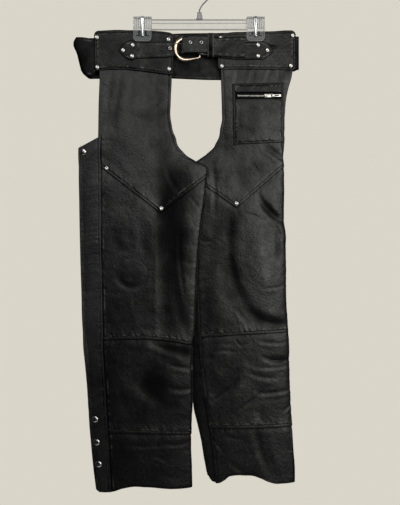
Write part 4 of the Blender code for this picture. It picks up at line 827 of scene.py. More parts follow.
# Creases of the backs, deepest behind the knees.
LEFT_BACK_CREASES = table(
    Crease,
    ((-236, 470), (-180, 520), (-120, 535), 12, 1.8, 0.3),
    ((-60, 480), (-50, 560), (-62, 660), 14, 2.2, 0.3),
    ((-210, 590), (-170, 610), (-130, 600), 6, 1.3, 0.4),
    ((-160, 700), (-120, 722), (-60, 716), 8, 1.6, 0.4),
    ((-240, 805), (-190, 826), (-120, 818), 6, 2.4, 0.4),
    ((-150, 842), (-90, 858), (-30, 846), 5, 2.2, 0.4),
    ((-236, 862), (-180, 876), (-110, 884), 6, 2.6, 0.4),
    ((-120, 905), (-70, 912), (-28, 930), 5, 1.9, 0.4),
    ((-225, 930), (-190, 950), (-140, 946), 6, 1.7, 0.4),
    ((-170, 1010), (-120, 1024), (-60, 1016), 8, 1.2, 0.3),
    ((-90, 1060), (-80, 1100), (-92, 1140), 10, 1.2, 0),
    ((-190, 1070), (-182, 1110), (-194, 1150), 9, 1.0, 0),
)
RIGHT_BACK_CREASES = table(
    Crease,
    ((40, 500), (80, 540), (140, 545), 11, 1.8, 0.3),
    ((120, 470), (128, 560), (112, 650), 13, 2.0, 0.3),
    ((30, 610), (60, 626), (104, 618), 6, 1.3, 0.4),
    ((50, 722), (96, 736), (160, 724), 8, 1.6, 0.4),
    ((20, 800), (70, 822), (130, 812), 6, 2.4, 0.4),
    ((80, 846), (130, 862), (190, 850), 5, 2.3, 0.4),
    ((26, 872), (80, 890), (140, 882), 6, 2.5, 0.4),
    ((96, 915), (140, 930), (196, 920), 5, 1.8, 0.4),
    ((30, 958), (70, 970), (110, 962), 6, 1.5, 0.4),
    ((60, 1040), (100, 1050), (160, 1044), 8, 1.1, 0.3),
    ((90, 1070), (98, 1100), (88, 1130), 10, 1.2, 0),
)

# A round hollow with a raised rim, where a hard thing pressed the left thigh.
DENT = (-151.0, 667.0)
DENT_RADIUS = 31.0
DENT_RIM = 3.2
DENT_HEIGHT = 0.85
DENT_LOW = 1.5


def dent(x, drop):
    """Round swelling: a thin lip over its top and a hollow under its foot."""
    below = drop - DENT[1]
    away = np.hypot(x - DENT[0], below)
    swelling = DENT_HEIGHT * fade((away - 0.55 * DENT_RADIUS) / (0.6 * DENT_RADIUS))
    low = ease((below / DENT_RADIUS + 0.1) / 0.9)
    rim = hump(away - DENT_RADIUS, DENT_RIM)
    foot = hump(away - DENT_RADIUS, 2.0 * DENT_RIM)
    return swelling + 0.3 * rim * (1.0 - low) - DENT_LOW * foot * low


# ---------------------------------------------------------------- leg panels

TOP_GUESS = 300.0
BOTTOM_GUESS = 800.0
LEAST_SLOPE = 0.12
REFERENCE_DROP = 620.0
FLAP_LAP = 7.0
FLAP_STITCH = 6.2
FLAP_GATHER = 9.0
FLAP_START = 340.0

# A panel of the front. laps_bottom says that it lies over the panel below it.
Panel = namedtuple("Panel", "name top bottom seed laps_top laps_bottom creases rivets")


def edge_turn(leg, edge, at_inner_fold, offset):
    """Turn of a long seam, moved by an offset round the leg."""
    def at(drop):
        turn = leg.turn_at(edge(drop), drop)
        turn = 1.0 - turn if at_inner_fold else turn
        slope = np.maximum(np.abs(np.sin(math.pi * turn)), LEAST_SLOPE) * math.pi / 2.0
        return turn + offset / (slope * leg.width(drop))

    return at


def turns_between(start, end, extra=0.0):
    """Turn of a place, from its part of the way between two long seams."""
    return lambda part, drop: start(drop) + (end(drop) + extra - start(drop)) * part


def even_columns(leg, turn_at, count):
    """Parts of the way round a panel that lie evenly spread on it."""
    def across(part):
        drop = np.full(part.shape, REFERENCE_DROP)
        return leg.plain_surface(turn_at(part, drop), drop)

    return even_parts(across, count)


def settled(leg, turn_at, parts, edge, guess, laid_flat):
    """Drops at which a panel's columns reach an edge."""
    drop = np.full(parts.shape, guess)
    for _ in range(SETTLING_STEPS):
        drop = (drop + edge(leg.across(turn_at(parts, drop), drop)[laid_flat])) / 2.0
    return drop


def front_height(leg, panel, x, drop):
    """Height of a front panel's surface over the leg's plain form."""
    from_fold = leg.side * (leg.inner(drop) - x)
    height = crease_heights(panel.creases, x, drop) * ease(from_fold / 12.0 + 0.3)
    height += hide_waves(x, drop, leg.seed)
    above, along = seam_distance(panel.bottom, x, drop)
    if panel.laps_bottom:
        height += lap(above) + lapped_seam(above, along, panel.seed + 1)
    else:
        height += rim_roll(above) + groove(above, HEM_STITCH, 0.3)
    if panel.laps_top:
        below, along = seam_distance(panel.top, x, drop)
        height += tucked_seam(-below, along, panel.seed + 2)
    inside = leg.from_inseam(x, drop)
    height += lapped_seam(inside, drop, panel.seed + 3, 0.6)
    height += lap(inside) * ease((drop - CROTCH_DROP) / 40.0)
    outside = leg.from_edge(x, drop) - FLAP_STITCH
    height += puckers(drop, np.abs(outside - FLAP_GATHER), 5.0, 0.55, panel.seed + 4, 5.5)
    height -= 0.35 * hump(outside - 2.5, 2.0) * ease((drop - FLAP_START) / 40.0)
    if leg is LEFT:
        height += dent(x, drop)
    return height + dimples(panel.rivets, x, drop)


# Height at which a fold's hollow takes its full painted shade, and drops from which hollows
# take it in full and painted shade darkens the lower leg.
HOLLOW_DEPTH = 4.2
HOLLOW_START = 395.0
LOWER_LEG_SHADE_START = 790.0


def front_marks(leg, panel, x, drop, height):
    """Painted shade along seam lines, in hollows and down the lower leg, and painted highlights beside the
    seams, for a front panel's leather.
    """
    above, _ = seam_distance(panel.bottom, x, drop)
    # Painted shade along the cut edges and rows of stitches, under a lapping edge and beside the flap.
    shade = seam_shade(above, SEAM_STITCH if panel.laps_bottom else HEM_STITCH)
    shade = np.maximum(shade, seam_shade(leg.from_inseam(x, drop), SEAM_STITCH))
    if panel.laps_top:
        below, _ = seam_distance(panel.top, x, drop)
        shade = np.maximum(shade, hump(np.minimum(below, 0.0), 0.9))
    beside_flap = leg.from_edge(x, drop) - FLAP_LAP
    on_flap = ease((drop - FLAP_START - 5.0) / 12.0)
    shade = np.maximum(shade, hump(beside_flap - 0.6, 1.6) * on_flap)
    # Painted highlights in beads above a lapped seam and beside the flap.
    if panel.laps_bottom:
        shade += glints(above, x, SEAM_STITCH + 3.5, panel.seed + 5, 0.7)
    shade += glints(beside_flap, drop, 5.0, panel.seed + 7, 0.8) * on_flap
    # Painted shade in the hollows of the folds and creases, patchy and fainter above the crotch.
    low = (leg.sink(x, drop) + np.maximum(-height - 0.8, 0.0)) * leg.shade / HOLLOW_DEPTH
    low *= 1.0 + 0.35 * random_field(x, drop, 24.0, leg.seed + 9)
    hollow = 1.0 - np.exp(-2.0 * low ** 1.3)
    hollow *= 0.4 + 0.6 * ease((drop - HOLLOW_START) / 50.0)
    # Painted shade over the dent.
    if leg is LEFT:
        from_dent = np.hypot(x - DENT[0], drop - DENT[1]) / DENT_RADIUS
        hollow = np.maximum(hollow, 0.4 * fade((from_dent - 0.7) / 0.4))
    # Painted shade darkens the lower leg.
    dull = leg.dull * ease((drop - LOWER_LEG_SHADE_START) / 50.0)
    return {"height": height, "seam": shade, "hollow": blend(dull, 1.0, hollow)}


FRONT_RIVETS = {"left": ((-209.8, 424.8), (-84.6, 517.0)), "right": ((87.2, 505.0),)}


def add_front(side, leg, seams, hem, creases):
    """Four panels, each lapped over the one below it."""
    pointed, knee, shin = seams
    turn_at = turns_between(edge_turn(leg, leg.edge, False, 0.35), edge_turn(leg, leg.inseam, True, -0.35))
    parts = even_columns(leg, turn_at, FRONT_COLUMNS)
    shared = (sum(creases, ()), FRONT_RIVETS[side])
    panels = table(
        Panel,
        ("front_top", level(PANEL_TOP), pointed, leg.seed, False, True, *shared),
        ("front_thigh", pointed, knee, leg.seed + 10, True, True, *shared),
        ("front_knee", knee, shin, leg.seed + 20, True, True, *shared),
        ("front_hem", shin, hem, leg.seed + 30, True, False, *shared),
    )
    lines = []
    for panel in panels:
        top = shifted(panel.top, -TUCK) if panel.laps_top else panel.top
        upper = settled(leg, turn_at, parts, top, TOP_GUESS, True)
        lower = settled(leg, turn_at, parts, panel.bottom, BOTTOM_GUESS, True)
        drop = banded_rows(upper, lower, SEAM_BAND, FINE_STEP, DOWN_STEP)
        turn = turn_at(parts, drop)
        _, flat = leg.across(turn, drop)
        height = front_height(leg, panel, flat, drop)
        marks = front_marks(leg, panel, flat, drop, height)
        placed, plain = leg.surface(turn, drop, height), leg.plain_surface(turn, drop)
        add_hide(f"{side}_{panel.name}", placed, plain, marks, LEG_HIDE)
        if panel.laps_bottom:
            lines.append(seam_stitches(leg, panel))
        lines.append(inseam_stitches(leg, panel))
    sew(f"{side}_front_stitches", lines, LEG_HIDE.slot)


STITCH_SAMPLE = 1.6


def on_front(leg, panel, turn, flat, drop):
    """Low and high line of a row of stitches on a front panel."""
    height = front_height(leg, panel, flat, drop)
    return [leg.surface(turn, drop, height + LEATHER * part) for part in (0.5, 1.0)]


def seam_stitches(leg, panel):
    """Row of stitches above a panel's lapped bottom edge."""
    first = leg.outer(panel.bottom(0.0)) + leg.side * 0.8
    last = leg.inner(panel.bottom(0.0)) - leg.side * 1.5
    x = np.arange(first, last, leg.side * STITCH_SAMPLE)
    drop = panel.bottom(x) - SEAM_STITCH * edge_steepness(panel.bottom, x)
    keep = (leg.from_edge(x, drop) > 1.0) & (leg.from_inseam(x, drop) > 1.0)
    keep &= leg.side * (x - leg.outer(drop)) > 0.5
    keep &= leg.side * (leg.inner(drop) - x) > 0.5
    x, drop = x[keep], drop[keep]
    return on_front(leg, panel, leg.front_turn(x, drop), x, drop)


def inseam_stitches(leg, panel):
    """Row of stitches beside the inseam, down one panel."""
    near = leg.inner(BOTTOM_GUESS)
    at = np.array(((near + leg.outer(BOTTOM_GUESS)) / 2.0 + near) / 2.0)
    first = float(panel.top(at)) + (6.0 if panel.laps_top else 22.0)
    drop = np.arange(first, float(panel.bottom(at)) - 12.0, STITCH_SAMPLE)
    turn = 1.0 - leg.turn_at(leg.inseam(drop) + SEAM_STITCH, drop)
    return on_front(leg, panel, turn, leg.across(turn, drop)[1], drop)


BACK_TOP_INNER = 447.0
BACK_TOP_OUTER = 386.0
BACK_TOP_EDGE = 366.0
HEM_STEP = 2.5
HEM_GUESS = 1150.0
BACK_COLUMNS = 74
BACK_BAND = 11.0
BACK_FINE_STEP = 1.2
BACK_DOWN_STEP = 6.5
BACK_STITCH = 5.0


def back_top(fold_part):
    """Top edge of a back panel, against its column."""
    return edge_curve(((0.0, BACK_TOP_INNER), (0.12, BACK_TOP_INNER - 2), (fold_part, BACK_TOP_OUTER),
                       (1.0, BACK_TOP_EDGE)))


def add_back(side, leg, top, hem, creases):
    """From under the inseam round the back to under the flap."""
    inseam = edge_turn(leg, leg.inseam, True, -TUCK * 0.8)
    turn_at = turns_between(inseam, edge_turn(leg, leg.edge, False, -0.35), 2.0)
    parts = even_columns(leg, turn_at, BACK_COLUMNS)
    upper = top(parts)
    lower = settled(leg, turn_at, parts, shifted(hem, -HEM_STEP), HEM_GUESS, False)
    drop = banded_rows(upper, lower, BACK_BAND, BACK_FINE_STEP, BACK_DOWN_STEP)
    turn = turn_at(parts, drop)
    x, _ = leg.across(turn, drop)
    below, above = drop - upper, lower - drop
    seed = 5 if leg is LEFT else 8
    under = leg.inseam(drop) + leg.side * (x - leg.inner(drop))
    height = crease_heights(creases, x, drop) * ease((turn - 1.05) / 0.1)
    height += hide_waves(x, drop, seed, 1.3)
    height += groove(below, BACK_STITCH) + groove(above, BACK_STITCH)
    height += puckers(x, np.maximum(below - BACK_STITCH, 0.0), 9.0, 0.7, seed + 1)
    height -= 0.9 * np.where(turn < 1.5, ease((under + 2.0) / 5.0), 0.0)
    # Painted shade along the edges and the rows of stitches.
    marks = {"height": height, "seam": seam_shade(np.minimum(below, above), BACK_STITCH)}
    placed, plain = leg.surface(turn, drop, height), leg.plain_surface(turn, drop)
    add_hide(side + "_back", placed, plain, marks, LEG_HIDE)


# ---------------------------------------------------------------- snap flaps

FlapRow = namedtuple("FlapRow", "drop reach")
FLAP_ROWS = table(
    FlapRow,
    (350, 43.5),
    (425, 44.5),
    (589, 42.5),
    (718, 41.6),
    (796, 40.6),
    (908, 36.6),
    (1026, 35.8),
    (1170, 28.5),
)
FLAP_REACH = table_curves(FLAP_ROWS).reach
FLAP_LIFT = LEATHER + GAP + 0.4
FLAP_LEAST = -1.1
FLAP_TOPSTITCH = 4.2
LEFT_FLAP_GRID = (420, 34)
LEFT_FLAP_TOP = edge_line(((-276.0, 378.8), (-223.0, 351.0)))
LEFT_FLAP_HEM = edge_curve(((-236, 1157), (-231, 1163), (-222, 1166), (-198, 1164)))
LEFT_FLAP_TOP_GUESS = 365.0
LEFT_FLAP_STITCHED = (372.0, 1152.0)
FLAP_EDGE_INSIDE = 6.0
LEFT_SNAPS = ((-263.1, 386.9), (-235.4, 998.7), (-231.6, 1050.9), (-227.2, 1101.2))
RIGHT_FLAP_GRID = (240, 24)
RIGHT_FLAP_TOP = 352.0
RIGHT_FLAP_CORNER = 372.0
RIGHT_FLAP_HEM = 1143.0
RIGHT_FLAP_STITCHED = (378.0, 1136.0)
RIGHT_FLAP_LEAST = -5.0
RIGHT_FLAP_WIDTH = smooth_curve((350, 600, 900, 1150), (52.0, 50.0, 44.0, 36.0))


def flap_height(from_free, from_sewn, x, drop, seed):
    """A flap that its two rows of stitches gather across."""
    height = 0.35 + hide_waves(x, drop, seed, 0.5)
    for inside, row in ((from_free, FLAP_TOPSTITCH), (from_sewn, FLAP_STITCH)):
        height += groove(inside, row, 0.5) + rim_roll(inside)
    gathered = ease((drop - 385.0) / 30.0) * (1.0 - 0.6 * ease((drop - 690.0) / 60.0))
    ripple = random_line(drop + 0.15 * x, 3.4, seed + 3) * (0.6 + 0.4 * random_line(drop, 37.0, seed + 4))
    inner = ease((from_sewn - FLAP_STITCH) / 4.0) * ease((from_free - FLAP_TOPSTITCH) / 4.0)
    height += 0.85 * ripple * gathered * (0.35 + 0.65 * inner)
    height += puckers(drop, np.abs(from_sewn - FLAP_STITCH), 9.0, 0.6, seed + 6, 5.0)
    return height + puckers(drop, np.abs(from_free - FLAP_TOPSTITCH), 6.0, 0.4, seed + 9, 5.0)


def left_flap_width(drop):
    return FLAP_LAP + FLAP_REACH(drop)


def left_flap_x(part, drop):
    near = LEFT.outer(drop) + LEFT.edge(drop) + FLAP_LAP
    return near - left_flap_width(drop) * (1.0 - part)


def left_flap_surface(part, drop, lift=0.0):
    """Places lift outside the flap's middle surface, its height, and its places without that."""
    x = left_flap_x(part, drop)
    inside = np.maximum(x, LEFT.outer(drop) + FLAP_EDGE_INSIDE)
    plain = LEFT.surface(LEFT.front_turn(inside, drop), drop)
    plain[..., 0] = x
    plain[..., 1] -= FLAP_LIFT
    from_free = x - left_flap_x(0.0, drop)
    from_sewn = left_flap_x(1.0, drop) - x
    height = flap_height(from_free, from_sewn, x, drop, 3) + dimples(LEFT_SNAPS, x, drop, 0.5, 11.0)
    height = np.maximum(height + crease_heights(LEFT_FLAP_CREASES, x, drop), FLAP_LEAST)
    return moved(plain, height + lift), height, plain


def right_flap_surface(part, drop, lift=0.0):
    """The same on the other leg, where the flap lies round the back."""
    near = np.minimum(RIGHT.edge(drop) + FLAP_LAP, RIGHT_FLAP_LEAST)
    from_sewn = RIGHT_FLAP_WIDTH(drop) * part
    from_free = RIGHT_FLAP_WIDTH(drop) - from_sewn
    distance = near - from_sewn
    turn = RIGHT.turn_at(distance, drop)
    height = np.maximum(flap_height(from_free, from_sewn, distance, drop, 23), FLAP_LEAST)
    placed = RIGHT.surface(turn, drop, FLAP_LIFT + height + lift)
    return placed, height, RIGHT.surface(turn, drop, np.full(drop.shape, FLAP_LIFT))


def add_flap(side, surface, width, drop, sewn_part, stitched):
    """A flap whose grid has these drops, and whose sewn edge is at this part of its width."""
    part = np.broadcast_to(np.linspace(0.0, 1.0, drop.shape[1]), drop.shape)
    placed, height, plain = surface(part, drop)
    from_sewn = width(drop) * np.abs(part - sewn_part)
    from_free = width(drop) - from_sewn
    # Painted shade along the flap's rows of stitches and edges, and down the lower left flap.
    shade = np.maximum(seam_shade(from_sewn, FLAP_STITCH), seam_shade(from_free, FLAP_TOPSTITCH))
    hollow = 0.5 * ease((drop - 760.0) / 180.0) * (side == "left")
    marks = {"height": height, "seam": shade, "hollow": hollow}
    add_hide(side + "_flap", placed, plain, marks, FLAP_HIDE)
    drop = np.arange(*stitched, STITCH_SAMPLE)
    lines = []
    for from_sewn in (FLAP_STITCH, width(drop) - FLAP_TOPSTITCH):
        part = np.abs(sewn_part - from_sewn / width(drop))
        lines.append([surface(part, drop, LEATHER * share)[0] for share in (0.5, 1.0)])
    sew(side + "_flap_stitches", lines, FLAP_HIDE.slot)


def add_flaps():
    rows, columns = LEFT_FLAP_GRID
    across = np.linspace(0.0, 1.0, columns)
    top = np.full(columns, LEFT_FLAP_TOP_GUESS)
    bottom = np.full(columns, HEM_GUESS)
    for _ in range(SETTLING_STEPS):
        top = LEFT_FLAP_TOP(left_flap_x(across, top))
        bottom = LEFT_FLAP_HEM(left_flap_x(across, bottom))
    drop = even_rows(top, bottom, rows)
    add_flap("left", left_flap_surface, left_flap_width, drop, 1.0, LEFT_FLAP_STITCHED)
    rows, columns = RIGHT_FLAP_GRID
    drop = even_rows(np.linspace(RIGHT_FLAP_TOP, RIGHT_FLAP_CORNER, columns), RIGHT_FLAP_HEM, rows)
    add_flap("right", right_flap_surface, RIGHT_FLAP_WIDTH, drop, 0.0, RIGHT_FLAP_STITCHED)


def add_legs():
    left_seams = (LEFT_POINTED_SEAM, LEFT_KNEE_SEAM, LEFT_SHIN_SEAM)
    right_seams = (RIGHT_POINTED_SEAM, RIGHT_KNEE_SEAM, RIGHT_SHIN_SEAM)
    left_creases = (LEFT_TOP_CREASES, LEFT_THIGH_CREASES, LEFT_KNEE_CREASES, LEFT_HEM_CREASES)
    right_creases = (RIGHT_TOP_CREASES, RIGHT_THIGH_CREASES, RIGHT_KNEE_CREASES, RIGHT_HEM_CREASES)
    add_front("left", LEFT, left_seams, LEFT_HEM, left_creases)
    add_front("right", RIGHT, right_seams, RIGHT_HEM, right_creases)
    add_back("left", LEFT, back_top(0.78), LEFT_HEM, LEFT_BACK_CREASES)
    add_back("right", RIGHT, back_top(0.97), RIGHT_HEM, RIGHT_BACK_CREASES)
    add_flaps()


# ---------------------------------------------------------------- the waist's sizes

YOKE_CORNER = 9.0
# A yoke's last field is how far painted shade darkens it: the left yoke is painted darker.
Yoke = namedtuple("Yoke", "node ends top bottom rivets seed dull")
LEFT_YOKE = Yoke(
    "left_yoke", (-238.5, -57.3),
    edge_curve(((-238, 110.5), (-205, 108.5), (-160, 107.5), (-100, 109), (-57, 116))),
    edge_curve(((-238, 203), (-189, 199), (-147, 201), (-75, 210), (-57, 212))),
    ((-232.8, 124.7), (-231.6, 193.9), (-68.8, 129.5), (-67.2, 197.8)), 101, 0.38,
)
RIGHT_YOKE = Yoke(
    "right_yoke", (44.6, 222.0),
    edge_curve(((44, 119), (64, 115), (108, 111), (180, 110), (210, 109), (222, 110))),
    edge_curve(((44, 199), (108, 198), (170, 199), (222, 201))),
    ((51.3, 126.4), (53.4, 191.4), (215.6, 121.0), (211.0, 190.4)), 131, 0.05,
)

# The clips press the waist flat this far from their middle and down to this drop.
CLIP_X = (-128.6, 130.9)
CLIP_WIDTH = 41.4
PINCH_FLAT = 30.0
PINCH_END = 66.0
PINCH_DROP = 136.0
PINCH_FADE = 18.0
PINCHED_Y = -1.9
WAIST_DROPS = (108.0, 200.0)
WAIST_TOP_Y = -5.5
WAIST_BOTTOM_Y = -9.5


def pinch(x, drop):
    """1 where a clip presses the waist flat, 0 away from it."""
    away = np.min([np.abs(x - middle) for middle in CLIP_X], axis=0)
    return fade((away - PINCH_FLAT) / (PINCH_END - PINCH_FLAT)) * fade((drop - PINCH_DROP) / PINCH_FADE)


def waist_y(x, drop):
    """The waist's front, open towards its bottom, without the clips."""
    part = (drop - WAIST_DROPS[0]) / (WAIST_DROPS[1] - WAIST_DROPS[0])
    return WAIST_TOP_Y + (WAIST_BOTTOM_Y - WAIST_TOP_Y) * part + np.zeros(np.shape(x))


def yoke_y(x, drop):
    """The yokes' middle surface, pressed in at the clips."""
    return blend(waist_y(x, drop), PINCHED_Y, pinch(x, drop))


def band_back_y(x, drop):
    return -yoke_y(x, drop)


def band_front_y(x, drop):
    return yoke_y(x, drop) + YOKE_LEATHER / 2 + GAP + BAND_LEATHER / 2


# The band's outline along its loop, from its end under the left yoke, round the left fold,
# along the back, round the right fold and under the right yoke. way counts these stretches.
BandRow = namedtuple("BandRow", "way top bottom")
BAND_ROWS = table(
    BandRow,
    (0.0, 129, 184),
    (0.16, 129, 184),
    (0.36, 128, 200),
    (1.0, 123.5, 213),
    (1.5, 123.5, 216),
    (2.0, 123.5, 216),
    (2.3, 117, 214),
    (2.6, 112, 219),
    (2.8, 114, 217),
    (3.0, 122, 199),
    (3.5, 122, 197),
    (4.0, 122, 197),
    (4.35, 123, 184),
    (5.0, 127, 184),
)
BAND_LEFT_END = -219.0
BAND_RIGHT_END = 208.0
BAND_LEFT_FOLD = edge_curve(
    ((120, -278.0), (125, -281.5), (130, -284.8), (138, -286.4), (146, -284.8), (155, -280.6))
    + ((172, -275.6), (192, -270.4), (202, -266.8), (210, -259.5), (218, -249.0))
)
BAND_RIGHT_FOLD = 229.5
BAND_LAST_WAY = 4.9999


def band_radius(x, drop):
    return (band_back_y(x, drop) - band_front_y(x, drop)) / 2.0


def band_point(way, drop):
    """Place on the band's middle surface."""
    left, right = BAND_LEFT_FOLD(drop), np.full(np.shape(drop), BAND_RIGHT_FOLD)
    left_radius, right_radius = band_radius(left, drop), band_radius(right, drop)
    left_start, right_start = left + left_radius, right - right_radius
    stretch = np.floor(way).astype(int)
    part = way - stretch
    x = np.choose(stretch, [
        BAND_LEFT_END + (left_start - BAND_LEFT_END) * part,
        left_start - left_radius * np.sin(math.pi * part),
        left_start + (right_start - left_start) * part,
        right_start + right_radius * np.sin(math.pi * part),
        right_start + (BAND_RIGHT_END - right_start) * part,
    ])
    front, back = band_front_y(x, drop), band_back_y(x, drop)
    middle = (front + back) / 2.0
    turn = np.cos(math.pi * part) * (back - front) / 2.0
    y = np.choose(stretch, [front, middle - turn, back, middle + turn, front])
    return np.stack(np.broadcast_arrays(x, y, -drop), axis=-1)


# The belt's two straps. Each row is a section: middle is the drop of its middle line, half
# its half width, and y its middle surface where it lies on neither yoke nor strap.
StrapRow = namedtuple("StrapRow", "x middle half y")
ON_YOKE = YOKE_LEATHER / 2 + GAP + STRAP_LEATHER / 2
ON_STRAP = STRAP_LEATHER + GAP

TIP_STRAP = table(
    StrapRow,
    (-183, 155.5, 1.0, -10.4),
    (-151, 155.0, 22.4, -10.4),
    (-144, 155.0, 19.6, -10.4),
    (-100, 154.5, 18.0, -10.5),
    (-64, 153.6, 16.4, -10.6),
    (-56, 152.6, 15.2, -10.9),
    (-47, 152.0, 13.9, -11.1),
    (-40, 152.0, 13.9, -16.0),
    (-38, 151.0, 14.6, -16.9),
    (-33, 144.6, 18.6, -17.1),
    (1, 143.0, 19.0, -16.6),
    (20, 143.6, 19.0, -15.6),
    (35, 147.0, 20.4, -14.6),
    (60, 148.3, 22.0, -13.7),
    (103, 148.6, 23.8, -13.6),
    (107, 148.6, 21.5, -13.6),
)
TIP_HOLE = (-47.0, -36.0)
TIP_LEAVES_YOKE = -56.0
TIP_MEETS_STRAP = 46.0
BUCKLE_STRAP_LEAVES_YOKE = 44.0
LEAVING = 7.0

BUCKLE_STRAP = table(
    StrapRow,
    (171.4, 155.5, 1.0, -10.5),
    (142, 155.6, 20.8, -10.5),
    (135, 156.0, 19.4, -10.5),
    (106, 156.4, 19.4, -10.6),
    (60, 155.0, 18.6, -10.6),
    (46, 153.5, 18.0, -10.7),
    (34, 152.6, 17.2, -11.3),
    (20, 152.0, 15.4, -12.5),
)

# The buckle's heel bar, the strap's loop round it and the prong's slot in that loop.
HEEL_X = 2.0
HEEL_Y = -9.6
HEEL_RADIUS = 2.2
HEEL_LOOP = HEEL_RADIUS + GAP + STRAP_LEATHER / 2
HEEL_LOOP_MIDDLE = 152.0
HEEL_LOOP_HALF = 14.2
STRAP_RETURN = (12.0, 37.0)
PRONG_DROP = 141.6
PRONG_RADIUS = 1.3
PRONG_SLOT = 2.4


# ---------------------------------------------------------------- waist pieces

STRAP_RIVETS = {
    "tip_strap": ((-150.4, 143.5), (-172.5, 155.4), (-151.8, 168.8)),
    "buckle_strap": ((135.9, 143.4), (157.4, 155.4), (136.4, 168.8)),
}
EYELETS = ((-64.9, 150.7), (-18.4, 138.9), (6.4, 138.9))
YOKE_GRID = (64, 112)
YOKE_STITCH = 5.0
THICK_ROLL = 2.4
ROUTE_STEP = 1.5
CORNER_STEPS = 7


def rolled(inside, drop_by=0.7, width=THICK_ROLL):
    """Outer face of a thick edge that is rounded over."""
    part = np.clip(inside / width, 0.0, 1.0)
    return -drop_by * (1.0 - np.sqrt(1.0 - (1.0 - part) ** 2))


def yoke_corner(yoke, x):
    """How far a rounded corner takes an edge in, near either end."""
    inside = np.clip(np.minimum(x - yoke.ends[0], yoke.ends[1] - x), 0.0, YOKE_CORNER)
    return YOKE_CORNER - np.sqrt(YOKE_CORNER ** 2 - (YOKE_CORNER - inside) ** 2)


def yoke_inside(yoke, x, drop):
    """How far a place lies inside a yoke's outline, and where it lies along it."""
    from_end = np.minimum(drop - yoke.top(x), yoke.bottom(x) - drop) - yoke_corner(yoke, x)
    from_side = np.minimum(x - yoke.ends[0], yoke.ends[1] - x)
    return np.minimum(from_end, from_side), np.where(from_side < from_end, drop, x)


def yoke_height(yoke, x, drop):
    """Height of a yoke's face: rolled edges, a row of stitches all round, and gathers."""
    inside, along = yoke_inside(yoke, x, drop)
    height = rolled(inside) + groove(inside, YOKE_STITCH, 0.55, 0.9)
    height += hide_waves(x, drop, yoke.seed, 0.7)
    near_bottom = ease((drop - 165.0) / 25.0)
    gathered = gathers(inside, YOKE_STITCH, along, yoke.seed + 1, (8.0, 0.8), (3.5, 0.35), 3)
    height += (0.45 + 0.55 * near_bottom) * gathered
    height += 0.35 * random_line(x + 0.3 * drop, 13.0, yoke.seed + 7) * near_bottom
    return height + dimples(yoke.rivets, x, drop, 0.6, 10.0)


def yoke_out(yoke, x, drop):
    """Its height where the clips don't flatten it, and half of it where they do."""
    return yoke_height(yoke, x, drop) * (1.0 - 0.5 * pinch(x, drop))


def add_yoke(yoke):
    """A yoke with its places closer together at both ends. Its row of stitches is handed back."""
    rows, columns = YOKE_GRID
    part = np.linspace(0.0, 1.0, columns)
    part = part - 0.35 * np.sin(2.0 * math.pi * part) / (2.0 * math.pi)
    xs = yoke.ends[0] + (yoke.ends[1] - yoke.ends[0]) * part
    cut_in = yoke_corner(yoke, xs)
    drop = even_rows(yoke.top(xs) + cut_in, yoke.bottom(xs) - cut_in, rows)
    x = np.broadcast_to(xs, drop.shape)
    height = yoke_height(yoke, x, drop)
    plain = np.stack((x, yoke_y(x, drop), -drop), axis=-1)
    inside, along = yoke_inside(yoke, x, drop)
    # Painted shade along the stitches and edges, painted highlights beside the stitches, and the yoke's
    # painted shade.
    shade = seam_shade(inside, YOKE_STITCH) + glints(inside, along, YOKE_STITCH + 2.8, 401, 1.0)
    marks = {"height": height, "seam": shade, "hollow": np.full(height.shape, yoke.dull)}
    add_hide(yoke.node, moved(plain, yoke_out(yoke, x, drop)), plain, marks, YOKE_HIDE)
    route = outline_route(yoke, YOKE_STITCH)
    return flat_route(route, lambda x, drop: yoke_y(x, drop) - yoke_out(yoke, x, drop), YOKE_LEATHER)


def outline_route(yoke, inset):
    """Places at one distance inside a yoke's rounded outline, all the way round it."""
    left, right = yoke.ends[0] + inset, yoke.ends[1] - inset
    radius = YOKE_CORNER - inset
    xs = np.arange(left + radius, right - radius, ROUTE_STEP)

    def side(x, centre, first, last, start):
        """Corner, straight side and corner, from one end's drop to the other's."""
        step = math.copysign(ROUTE_STEP, last - first)
        straight = [(x, drop) for drop in np.arange(first + step, last, step)]
        corner = arc(centre, first, radius, start, start + 90.0, CORNER_STEPS)
        return corner + straight + arc(centre, last, radius, start + 90.0, start + 180.0, CORNER_STEPS)

    def drops(x):
        return float(yoke.top(x)) + inset + radius, float(yoke.bottom(x)) - inset - radius

    route = list(zip(xs, yoke.top(xs) + inset)) + side(right, right - radius, *drops(right), -90.0)
    route += list(zip(xs, yoke.bottom(xs) - inset))[::-1]
    return np.array(route + side(left, left + radius, *drops(left)[::-1], 90.0))


def flat_route(route, surface_y, thickness):
    """Low and high line of a row of stitches on a piece that faces the front."""
    x, drop = route[:, 0], route[:, 1]
    low = np.stack((x, surface_y(x, drop) - thickness / 2, -drop), axis=-1)
    return low, moved(low, 1.0)


BAND_COLUMNS = (16, 22, 150, 18, 14)
BAND_PLACES = 44
BAND_STITCH = 5.0
BAND_CREASES = table(
    Crease,
    ((-262, 150), (-250, 166), (-232, 176), 5, 1.2, 0.4),
    ((-56, 190), (-20, 198), (30, 194), 7, 0.9, 0.3),
    ((-40, 132), (-30, 160), (-44, 188), 9, 0.8, 0),
    ((20, 130), (26, 160), (16, 190), 8, 0.8, 0),
)


